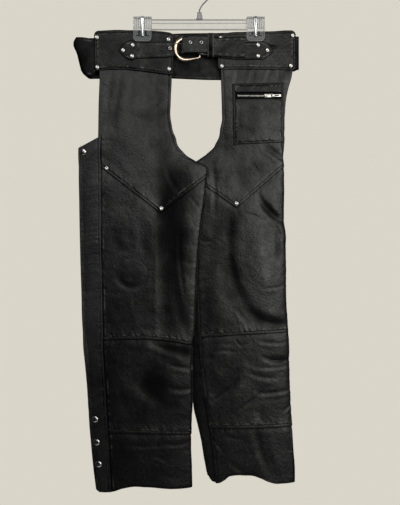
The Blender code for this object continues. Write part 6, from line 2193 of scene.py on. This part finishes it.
def flat_plate(name, outlines, thickness, rounding):
    """Plate with holes, from outlines in X and Z, as a mesh in metres round Y = 0."""
    curve = bpy.data.curves.new(name, "CURVE")
    curve.dimensions = "2D"
    curve.fill_mode = "BOTH"
    curve.extrude = (thickness / 2 - rounding) * MM
    curve.bevel_depth = rounding * MM
    curve.bevel_resolution = 2
    curve.offset = -rounding * MM
    for outline in outlines:
        add_spline(curve, outline, True)
    mesh = curve_mesh(curve)
    mesh.transform(Matrix.Rotation(math.pi / 2, 4, "X"))
    with edited(mesh) as shape:
        bmesh.ops.remove_doubles(shape, verts=shape.verts, dist=WELD / 4)
        bmesh.ops.recalc_face_normals(shape, faces=shape.faces)
    return smoothed(mesh, 35.0)


def add_pull(axis_y):
    """Flat tab with a long hole, on a barrel that turns in the slider's ears."""
    outline = rounded_box(0.2, PULL_LENGTH, PULL_HALF, PULL_CORNER)
    hole = rounded_box(*PULL_HOLE_X, PULL_HOLE_HALF, PULL_HOLE_HALF * 0.98)
    place = Vector((PULL_AXIS_X, axis_y, -ZIP_DROP)) * MM
    tab = put(flat_plate("zip_pull_tab", (outline, hole), PULL_PLATE, 0.2), place)
    add_piece(tab, ZIP_METAL, "zip_metal", "zip_pull", body="pull_tab")
    half = PULL_HALF - 0.15
    profile = ((0, -half), (PULL_THICK / 2, -half), (PULL_THICK / 2, half), (0, half))
    barrel = put(turned_mesh("zip_pull_barrel", profile, 20), place)
    add_piece(barrel, ZIP_METAL, "zip_metal", body="pull_tab")


# ---------------------------------------------------------------- the hanger

BAR_X = (-107.2, 109.7)
BAR_SECTION = (
    (3.0, 82.0), (3.0, 83.7), (1.2, 84.6), (1.2, 89.8), (2.1, 90.3), (2.1, 91.3), (1.2, 91.8),
    (1.2, 103.4), (3.0, 104.3), (3.0, 106.2),
)
JAW_DROPS = (77.0, 133.4)
JAW_INNER = 3.9
JAW_THICK = 3.6
JAW_CORNER = 9.0
JAW_PLATE = 1.5
JAW_RIM = 1.7
CLIP_ROOF = 103.0
CLIP_RIBS = 7
SPRING_HALF = 3.5
SPRING_DROP = 118.0
SPRING_THICK = 1.2
FOOT_PROFILE = ((0, 0), (2.9, 0), (3.3, 0.3), (3.3, 0.9), (2.5, 1.5), (0, 1.7))
HOOK_WIRE = 1.6
HOOK_RADIUS = 24.6
HOOK_ANGLES = (-28.0, 172.0)
NECK_X = 2.0
NECK_DROP = 81.7
NECK_PROFILE = (
    (0, 0), (7.6, 0), (8.0, 0.4), (8.0, 1.4), (7.5, 2.0), (7.2, 4.4), (6.6, 8.0), (5.9, 11.5), (5.35, 14.0),
    (5.2, 14.6), (5.3, 15.2), (5.0, 15.9), (4.3, 16.2), (0, 16.2),
)
STEM_ROUTE = ((NECK_X, -65.2), (3.2, -58.0), (8.5, -49.0), (16.0, -41.0))


def extruded_section(name, section, ends):
    """Bar along X whose section is (half thickness, drop) pairs down one side."""
    outline = [(-half, drop) for half, drop in section] + [(half, drop) for half, drop in reversed(section)]
    shape = bmesh.new()
    verts = [shape.verts.new((ends[0] * MM, y * MM, -drop * MM)) for y, drop in outline]
    face = shape.faces.new(verts)
    made = bmesh.ops.extrude_face_region(shape, geom=[face])
    far = [item for item in made["geom"] if isinstance(item, bmesh.types.BMVert)]
    bmesh.ops.translate(shape, verts=far, vec=((ends[1] - ends[0]) * MM, 0, 0))
    bmesh.ops.recalc_face_normals(shape, faces=shape.faces)
    sharp = [edge for edge in shape.edges if edge.calc_face_angle(0.0) > math.radians(25.0)]
    round_edges(shape, sharp, 0.3 * MM, 2, clamp_overlap=True)
    return joined_mesh(name, [shape])


def jaw_outline(middle, inset=0.0):
    """Front view of a clip's jaw: square at its top, round at its lower corners."""
    half = CLIP_WIDTH / 2 - inset
    radius = JAW_CORNER - inset
    outline = [(middle + half, -JAW_DROPS[0] - inset), (middle - half, -JAW_DROPS[0] - inset)]
    for side, start in ((-1, 180.0), (1, 270.0)):
        centre = middle + side * (half - radius)
        outline += arc(centre, JAW_CORNER - JAW_DROPS[1], radius, start, start + 90.0, 10)
    return outline


def window_outline(middle, side):
    """L-shaped opening beside the spring."""
    corner = ((5.6, -109.0), (9.6, -109.0), (9.6, -118.6), (14.6, -118.6), (14.6, -121.4), (5.6, -121.4))
    outline = [(middle + side * x, z) for x, z in corner]
    return outline if side > 0 else outline[::-1]


def add_clip(side, middle):
    """Two rimmed jaws joined under a roof, with ribs and windows in each."""
    name = side + "_clip_shell"
    outer = jaw_outline(middle)
    windows = [window_outline(middle, 1), window_outline(middle, -1)]
    shapes = []
    for face in (-1.0, 1.0):
        plate = flat_plate(name + "_plate", (outer, *windows), JAW_PLATE, 0.25)
        rim = flat_plate(name + "_rim", (outer, jaw_outline(middle, JAW_RIM)), JAW_THICK, 0.35)
        for mesh, thickness in ((plate, JAW_PLATE), (rim, JAW_THICK)):
            place = (0, face * (JAW_INNER + thickness / 2) * MM, 0)
            shapes.append(taken(put(mesh, place)))
        near, far = sorted((
            face * (JAW_INNER + JAW_PLATE * 0.6), face * (JAW_INNER + JAW_THICK * 0.92)))
        for number in range(CLIP_RIBS):
            x = middle + (number - (CLIP_RIBS - 1) / 2.0) * (CLIP_WIDTH - 7.0) / CLIP_RIBS
            low = (x - 0.75, near, -101.0)
            high = (x + 0.75, far, -JAW_DROPS[0] - 1.2)
            shapes.append(block(low, high, 0.3, 2))
    half, wall = CLIP_WIDTH / 2, JAW_INNER + 0.4
    for inset, low, high in ((0, -79.4, -77.0), (2, -CLIP_ROOF, -100.9)):
        corners = (middle - half + inset, -wall, low), (middle + half - inset, wall, high)
        shapes.append(block(*corners, 0.4, 2))
    mesh = joined_mesh(name, shapes)
    mark_ribs(mesh, JAW_INNER + JAW_PLATE + 0.2)
    add_piece(mesh, CLEAR_PLASTIC, "clip_plastic", side + "_clip")


def add_spring(side, middle):
    """Flat spring over a clip, narrower towards its two feet."""
    out = JAW_INNER + JAW_THICK + GAP + SPRING_THICK / 2
    roof = JAW_DROPS[0] - GAP - SPRING_THICK / 2
    bend = 2.4
    route = [(-out, drop) for drop in np.linspace(SPRING_DROP, roof + bend, 14)]
    route += arc(bend - out, roof + bend, bend, 180.0, 270.0, 8)
    y, drop = np.array(route + [(-y, drop) for y, drop in reversed(route)]).T
    across = np.linspace(-1.0, 1.0, 9)[:, None]
    narrow = 1.0 - 0.42 * ease((drop - 84.0) / (SPRING_DROP - 84.0))
    swell = 0.5 * (1.0 - across ** 2) * ease((drop - 82.0) / 20.0)
    x = middle + across * SPRING_HALF * narrow
    points = np.stack(np.broadcast_arrays(x, y + np.copysign(swell, y), -drop), axis=-1)
    item = new_object(side + "_spring_strip", grid_mesh(side + "_spring_strip", points))
    add_wall(item, SPRING_THICK * 0.8, 0.2)
    finish_piece(item, SPRING_METAL, "clip_springs", side + "_clip_spring")
    feet = []
    for face in (-1.0, 1.0):
        place = Vector((middle, face * (out - SPRING_THICK / 2 + 0.1), -SPRING_DROP - 1.6)) * MM
        foot = put(turned_mesh("foot", FOOT_PROFILE, 28), place, Vector((0, face, 0)))
        feet.append(taken(foot))
    add_piece(joined_mesh(side + "_spring_feet", feet), SPRING_METAL, "clip_springs")


def mark_ribs(mesh, plate):
    """Marks what stands out in front of a plate, where the plastic is thicker."""
    points = np.zeros(len(mesh.vertices) * 3)
    mesh.vertices.foreach_get("co", points)
    set_mark(mesh, "rib", np.abs(points[1::3]) > plate * MM)


def add_hanger():
    mesh = extruded_section("hanger_bar_web", BAR_SECTION, BAR_X)
    mark_ribs(mesh, 1.7)
    add_piece(mesh, CLEAR_PLASTIC, "hanger_plastic", "hanger_bar")
    mesh = turned_mesh("hanger_neck_cone", NECK_PROFILE)
    mark_ribs(mesh, -1.0)
    put(mesh, Vector((NECK_X, 0, -NECK_DROP)) * MM)
    add_piece(mesh, CLEAR_PLASTIC, "hanger_plastic", "hanger_neck")
    for side, middle in zip(("left", "right"), CLIP_X):
        add_clip(side, middle)
        add_spring(side, middle)
    loop = arc(0.0, HOOK_WIRE - HOOK_RADIUS, HOOK_RADIUS, *HOOK_ANGLES, 60)
    loop = [Vector((x, 0, z)) for x, z in loop]
    route = [(x, 0, z) for x, z in STEM_ROUTE] + [loop[0]]
    points = smooth_path(route, 36) + loop[1:]
    add_rod("hanger_hook_wire", points, [HOOK_WIRE] * len(points), WIRE_STEEL, "hook_wire", "hanger_hook")


# ---------------------------------------------------------------- materials

class Value:
    """A number or colour on its way through a material. Arithmetic on it adds Math nodes."""

    def __init__(self, look, socket):
        self.look = look
        self.socket = socket

    def maths(self, operation, first, second, **settings):
        return self.look.node("Math", {"operation": operation, **settings}, {0: first, 1: second})

    def __add__(self, other):
        return self.maths("ADD", self, other)

    def __sub__(self, other):
        return self.maths("SUBTRACT", self, other)

    def __rsub__(self, other):
        return self.maths("SUBTRACT", other, self)

    def __mul__(self, other):
        return self.maths("MULTIPLY", self, other)

    def limited(self):
        return self.maths("ADD", self, 0.0, use_clamp=True)

    __radd__ = __add__
    __rmul__ = __mul__


class Look:
    """A node tree that is being built, of a material or of the world."""

    def __init__(self, tree):
        self.tree = tree

    def node(self, kind, settings, sockets, out=0):
        item = self.tree.nodes.new("ShaderNode" + kind)
        for name, value in settings.items():
            if name == "stops":
                for place, colour in value[1:-1]:
                    item.color_ramp.elements.new(place).color = (*colour, 1.0)
                for end, (place, colour) in ((0, value[0]), (-1, value[-1])):
                    item.color_ramp.elements[end].position = place
                    item.color_ramp.elements[end].color = (*colour, 1.0)
            else:
                setattr(item, name, value)
        for key, value in sockets.items():
            if isinstance(value, Value):
                self.tree.links.new(value.socket, item.inputs[key])
            else:
                item.inputs[key].default_value = value
        return Value(self, item.outputs[out])

    def mark(self, name):
        return self.node("Attribute", {"attribute_name": name}, {}, "Fac")

    def noise(self, size, detail=2.0, roughness=0.5, place=None, distortion=0.0):
        """Noise from 0 to 1 whose lumps are size millimetres across."""
        sockets = {
            "Scale": 1.0 / (size * MM), "Detail": detail, "Roughness": roughness, "Distortion": distortion,
        }
        sockets["Vector"] = place or self.place
        return self.node("TexNoise", {}, sockets)

    def cells(self, size, feature="F1", smooth=1.0):
        settings = {"feature": feature}
        sockets = {"Scale": 1.0 / (size * MM), "Vector": self.place, "Randomness": 1.0}
        if feature == "SMOOTH_F1":
            sockets["Smoothness"] = smooth
        return self.node("TexVoronoi", settings, sockets)

    def mix(self, amount, first, second):
        settings = {"data_type": "RGBA"}
        sockets = {0: amount, 6: colour(first), 7: colour(second)}
        return self.node("Mix", settings, sockets, 2)

    def bump(self, height, strength=1.0):
        """Normal of a surface whose height is in millimetres."""
        return self.node("Bump", {}, {"Height": height, "Strength": strength, "Distance": MM})


def colour(value):
    return value if isinstance(value, Value) else (*value, 1.0)


def new_look(name, **fixed):
    """Material with a principled shader, whose fixed sockets are set on the shader itself."""
    material = bpy.data.materials.new(name)
    material.use_nodes = True
    look = Look(material.node_tree)
    look.material = material
    look.shader = material.node_tree.nodes["Principled BSDF"]
    for key, value in fixed.items():
        look.shader.inputs[key.replace("_", " ").title().replace("Ior", "IOR")].default_value = value
    look.place = look.node("TexCoord", {}, {}, "Object")
    return look


def feed(look, **sockets):
    for key, value in sockets.items():
        look.tree.links.new(value.socket, look.shader.inputs[key.replace("_", " ").title()])
    return look.material


# Colour of the dark dull shader: painted shade in the hide's creases, hollows and stitch lines, and its own
# matte finish and dull patches.
DULL_DYE_AND_PAINTED_SHADE = (0.0015, 0.0015, 0.0017)
# Colour of the painted highlights along its edges and stitch lines.
PAINTED_GLINT = (0.15, 0.145, 0.135)


def leather(name, deep, worn, grain=1.5, roughness=0.42, wrinkle=0.26, scuff=0.5, hollow=0.96, matte=0.0):
    """Black hide: pebbled grain, fine wrinkles, paler where ridges are rubbed, painted shade in its creases,
    hollows and stitch lines, and painted highlights beside them.
    """
    look = new_look(name, specular_ior_level=0.5)
    height = look.mark("height")
    seam = look.mark("seam")
    broad = look.noise(70.0, 3.0, 0.6)
    cloud = look.noise(58.0, 3.0, 0.55, distortion=0.6)
    middle = look.noise(9.0, 1.0, 0.5)
    grainy = look.noise(4.4, 1.0, 0.5)
    fine = look.noise(2.2, 2.0, 0.5)
    pebble = look.cells(grain, "SMOOTH_F1", 0.6)
    pits = look.cells(grain * 2.6, "DISTANCE_TO_EDGE")
    crack = look.cells(8.0, "DISTANCE_TO_EDGE")
    lines = (1.0 - crack * 6.0).limited() * ((broad - 0.45) * 5.0).limited()
    rubbed = ((height - 0.5) * 0.5).limited() * 0.6 + ((middle - 0.55) * 3.0).limited() * 0.22
    # Painted shade in the creases, which also makes them rougher.
    painted_crease_shade = ((0.0 - height - 0.3) * 0.4).limited()
    scratch_place = look.node("Mapping", {}, {
        "Vector": look.place, "Rotation": (0.0, 0.5, 0.3), "Scale": (1.0, 1.0, 0.12),
    })
    scratch = look.noise(1.6, 2.0, 0.5, scratch_place)
    scratches = ((scratch - 0.68) * 12.0).limited() * ((broad - 0.5) * 4.0).limited()
    tone = (rubbed * scuff + scratches * 0.35 + (broad - 0.5) * 0.25).limited()
    base = look.mix(tone, deep, worn)
    base = look.mix(painted_crease_shade * 0.6, base, tuple(part * 0.45 for part in deep))
    # Painted highlights where the seam mark falls below 0.
    base = look.mix((0.0 - seam).limited() * 0.8, base, PAINTED_GLINT)
    rough = roughness + (middle - 0.5) * 0.22 + (fine - 0.5) * 0.12 + painted_crease_shade * 0.15 - rubbed * 0.1
    surface = (middle - 0.5) * wrinkle * 1.8 + (grainy - 0.5) * wrinkle * 2.2
    surface = surface + (fine - 0.5) * wrinkle * 0.8 - pebble * 0.07
    surface += (pits * 5.0).limited() * 0.02 - lines * 0.05
    feed(look, base_color=base, roughness=rough, normal=look.bump(surface))
    dark = look.node("BsdfPrincipled", {}, {
        "Base Color": (*DULL_DYE_AND_PAINTED_SHADE, 1.0), "Roughness": 0.7, "Specular IOR Level": 0.06,
        "Normal": look.bump(surface),
    })
    # Mix towards the dark shader: painted shade along seams and in hollows, plus the hide's own matte finish
    # and dull patches.
    low = look.mark("hollow") * hollow
    depth = (seam + low + (1.0 - low) * (matte + (cloud - 0.46) * 1.7)).limited()
    both = look.node("MixShader", {}, {0: depth, 1: Value(look, look.shader.outputs[0]), 2: dark})
    output = look.tree.nodes["Material Output"]
    look.tree.links.new(both.socket, output.inputs["Surface"])
    return look.material


def metal(name, tint, roughness, dull=0.2, dent=0.01, size=2.5):
    """Plated or polished metal with a slightly uneven gloss."""
    look = new_look(name, metallic=1.0)
    patches = look.noise(size, 3.0, 0.6)
    fine = look.noise(0.35, 2.0, 0.6)
    spots = ((patches - 0.55) * 4.0).limited()
    base = look.mix(spots * dull, tint, tuple(part * 0.55 for part in tint))
    rough = roughness + (patches - 0.5) * 0.22 + (fine - 0.5) * 0.1
    surface = (patches - 0.5) * dent * 4.0 + (fine - 0.5) * dent
    return feed(look, base_color=base, roughness=rough, normal=look.bump(surface))


def clear_plastic(name, tint, cover, roughness):
    """Clear moulded plastic, a little cloudy and scratched."""
    look = new_look(name, ior=1.49)
    cloud = look.noise(14.0, 3.0, 0.6)
    fine = look.noise(0.8, 3.0, 0.6)
    rib = look.mark("rib")
    base = look.mix(cloud * 0.3 + rib * 0.7, tint, tuple(part * 0.42 for part in tint))
    facing = look.node("LayerWeight", {}, {"Blend": 0.35}, "Facing")
    alpha = (cover + facing * 0.3 + rib * 0.38 + (cloud - 0.5) * 0.1 + (fine - 0.5) * 0.06).limited()
    rough = roughness + (fine - 0.5) * 0.16
    surface = (cloud - 0.5) * 0.08 + (fine - 0.5) * 0.01
    return feed(look, base_color=base, roughness=rough, alpha=alpha, normal=look.bump(surface))


def waxed_thread(name, deep, pale):
    """Twisted thread."""
    look = new_look(name, specular_ior_level=0.5)
    twist = look.noise(0.5, 2.0, 0.6)
    broad = look.noise(40.0, 2.0, 0.5)
    base = look.mix((twist * 0.7 + broad * 0.5 - 0.1).limited(), deep, pale)
    return feed(look, base_color=base, roughness=0.42 + twist * 0.2, normal=look.bump(twist * 0.1))


def woven_tape(name, deep, pale):
    """Close twill of the zip's tape."""
    look = new_look(name, specular_ior_level=0.2)
    parts = [
        look.node("TexWave", {"bands_direction": axis}, {
            "Vector": look.place, "Scale": 0.314 / (0.9 * MM), "Distortion": 0.6, "Detail": 1.0,
            "Detail Scale": 1.0,
        }, "Fac")
        for axis in ("X", "Z")
    ]
    weave = parts[0] * parts[1]
    base = look.mix(weave, deep, pale)
    return feed(look, base_color=base, roughness=0.7 + weave * 0.2, normal=look.bump(weave * 0.14))


LEG_HIDE = Hide(LEATHER, 0.42, "leg_leather", leather(
    "leg_hide", (0.0042, 0.0041, 0.0044), (0.035, 0.034, 0.033), wrinkle=0.2,
))
# A paler copy of the leg's hide, as painted light on the flaps, which turn away from the lamps.
FLAP_HIDE = Hide(LEATHER, 0.42, "leg_leather", leather(
    "flap_hide", (0.021, 0.0205, 0.0225), (0.07, 0.069, 0.073), roughness=0.48, scuff=0.9,
))
YOKE_HIDE = Hide(YOKE_LEATHER, 0.8, "waist_leather", leather(
    "waist_hide", (0.004, 0.0039, 0.0036), (0.04, 0.038, 0.033), wrinkle=0.34, matte=0.08,
))
BAND_HIDE = Hide(BAND_LEATHER, 0.8, "waist_leather", leather(
    "band_hide", (0.0036, 0.0035, 0.0034), (0.03, 0.029, 0.027), roughness=0.5, matte=0.6,
))
STRAP_HIDE = Hide(STRAP_LEATHER, 0.7, "strap_leather", leather(
    "strap_hide", (0.004, 0.0039, 0.0037), (0.04, 0.038, 0.034), roughness=0.4, wrinkle=0.34, matte=0.4,
))
KEEPER_HIDE = STRAP_HIDE._replace(thickness=KEEPER_LEATHER, rounding=0.5)
BUCKLE_METAL = metal("buckle_plate", (0.68, 0.55, 0.42), 0.22, 0.4)
RIVET_METAL = metal("rivet_nickel", (0.7, 0.68, 0.64), 0.3, 0.4)
SNAP_METAL = metal("snap_nickel", (0.66, 0.65, 0.62), 0.26, 0.35)
ZIP_METAL = metal("zip_nickel", (0.62, 0.6, 0.56), 0.3, 0.4, size=1.2)
SPRING_METAL = metal("spring_steel", (0.55, 0.55, 0.56), 0.24, 0.3)
WIRE_STEEL = metal("wire_steel", (0.16, 0.165, 0.175), 0.35, 0.25)
CLEAR_PLASTIC = clear_plastic("hanger_clear", (0.72, 0.75, 0.78), 0.12, 0.16)
THREAD = waxed_thread("black_thread", (0.05, 0.05, 0.05), (0.2, 0.19, 0.18))
ZIP_WEAVE = woven_tape("tape_twill", (0.0015, 0.0015, 0.0018), (0.006, 0.006, 0.007))


# ---------------------------------------------------------------- building it all

add_legs()
add_waist()
add_pocket()
add_zip()
add_caps()
add_hanger()


# ---------------------------------------------------------------- floor, light and camera

WALL = (0.700, 0.665, 0.585)
FLOOR_Z = -2.3


def add_floor():
    shape = bmesh.new()
    bmesh.ops.create_grid(shape, x_segments=8, y_segments=8, size=1.3)
    bmesh.ops.translate(shape, verts=shape.verts, vec=(0.0, 0.0, FLOOR_Z))
    mesh = bpy.data.meshes.new("floor")
    shape.to_mesh(mesh)
    shape.free()
    item = new_object("floor", mesh)
    look = new_look("pale_floor")
    patches = look.noise(300.0, 2.0, 0.5)
    base = look.mix(patches, (0.66, 0.64, 0.6), (0.7, 0.68, 0.64))
    item.data.materials.append(feed(look, base_color=base, roughness=0.6 + patches * 0.1))


def add_world():
    """Pale wall for the camera, and a room that is brighter above and to the right."""
    world = bpy.data.worlds.new("room")
    bpy.context.scene.world = world
    world.use_nodes = True
    tree = world.node_tree
    look = Look(tree)
    tree.nodes.clear()
    where = look.node("TexCoord", {}, {}, "Generated")
    split = look.node("SeparateXYZ", {}, {0: where})
    x = Value(look, split.socket.node.outputs["X"])
    y = Value(look, split.socket.node.outputs["Y"])
    z = Value(look, split.socket.node.outputs["Z"])
    window_side = ((z + x * 1.8 + 0.32) * 2.4).limited()
    behind = (y * 3.0).limited()
    glow = 0.006 + window_side * (1.0 - behind) * 0.06 + behind * ((z + 0.4).limited() * 0.3 + 0.1)
    room = look.node("Background", {}, {"Color": (0.92, 0.94, 1.0, 1.0), "Strength": glow})
    wall = look.node("Background", {}, {"Color": (*WALL, 1.0), "Strength": 1.0})
    seen = look.node("LightPath", {}, {}, "Is Camera Ray")
    both = look.node("MixShader", {}, {0: seen, 1: room, 2: wall})
    output = tree.nodes.new("ShaderNodeOutputWorld")
    tree.links.new(both.socket, output.inputs["Surface"])


def add_light(name, place, target, size, power, tint):
    data = bpy.data.lights.new(name, "AREA")
    data.shape = "DISK"
    data.size = size
    data.energy = power
    data.color = tint
    item = bpy.data.objects.new(name, data)
    item.location = place
    item.rotation_euler = (Vector(target) - Vector(place)).to_track_quat("-Z", "Y").to_euler()
    bpy.context.scene.collection.objects.link(item)


def add_camera():
    data = bpy.data.cameras.new("view")
    data.sensor_fit = "VERTICAL"
    data.sensor_height = 36.0
    data.lens = 58.9
    item = bpy.data.objects.new("view", data)
    item.location = (0.00345, -1.9, -0.6176)
    item.rotation_euler = (math.pi / 2, 0.0, 0.0)
    bpy.context.scene.collection.objects.link(item)
    bpy.context.scene.camera = item


add_floor()
add_world()
add_light("window", (1.08, -2.3, -0.16), (0.0, 0.0, -0.5), 1.9, 30.0, (1.0, 1.0, 0.95))
add_light("ceiling", (-0.5, -2.0, 0.6), (0.0, 0.0, -0.2), 1.2, 9.0, (1.0, 0.99, 0.97))
add_light("rear", (-0.9, 2.0, 0.6), (0.0, 0.0, -0.6), 1.2, 26.0, (1.0, 0.97, 0.94))
add_camera()
bpy.context.scene.view_settings.view_transform = "Standard"

bpy.context.view_layer.update()
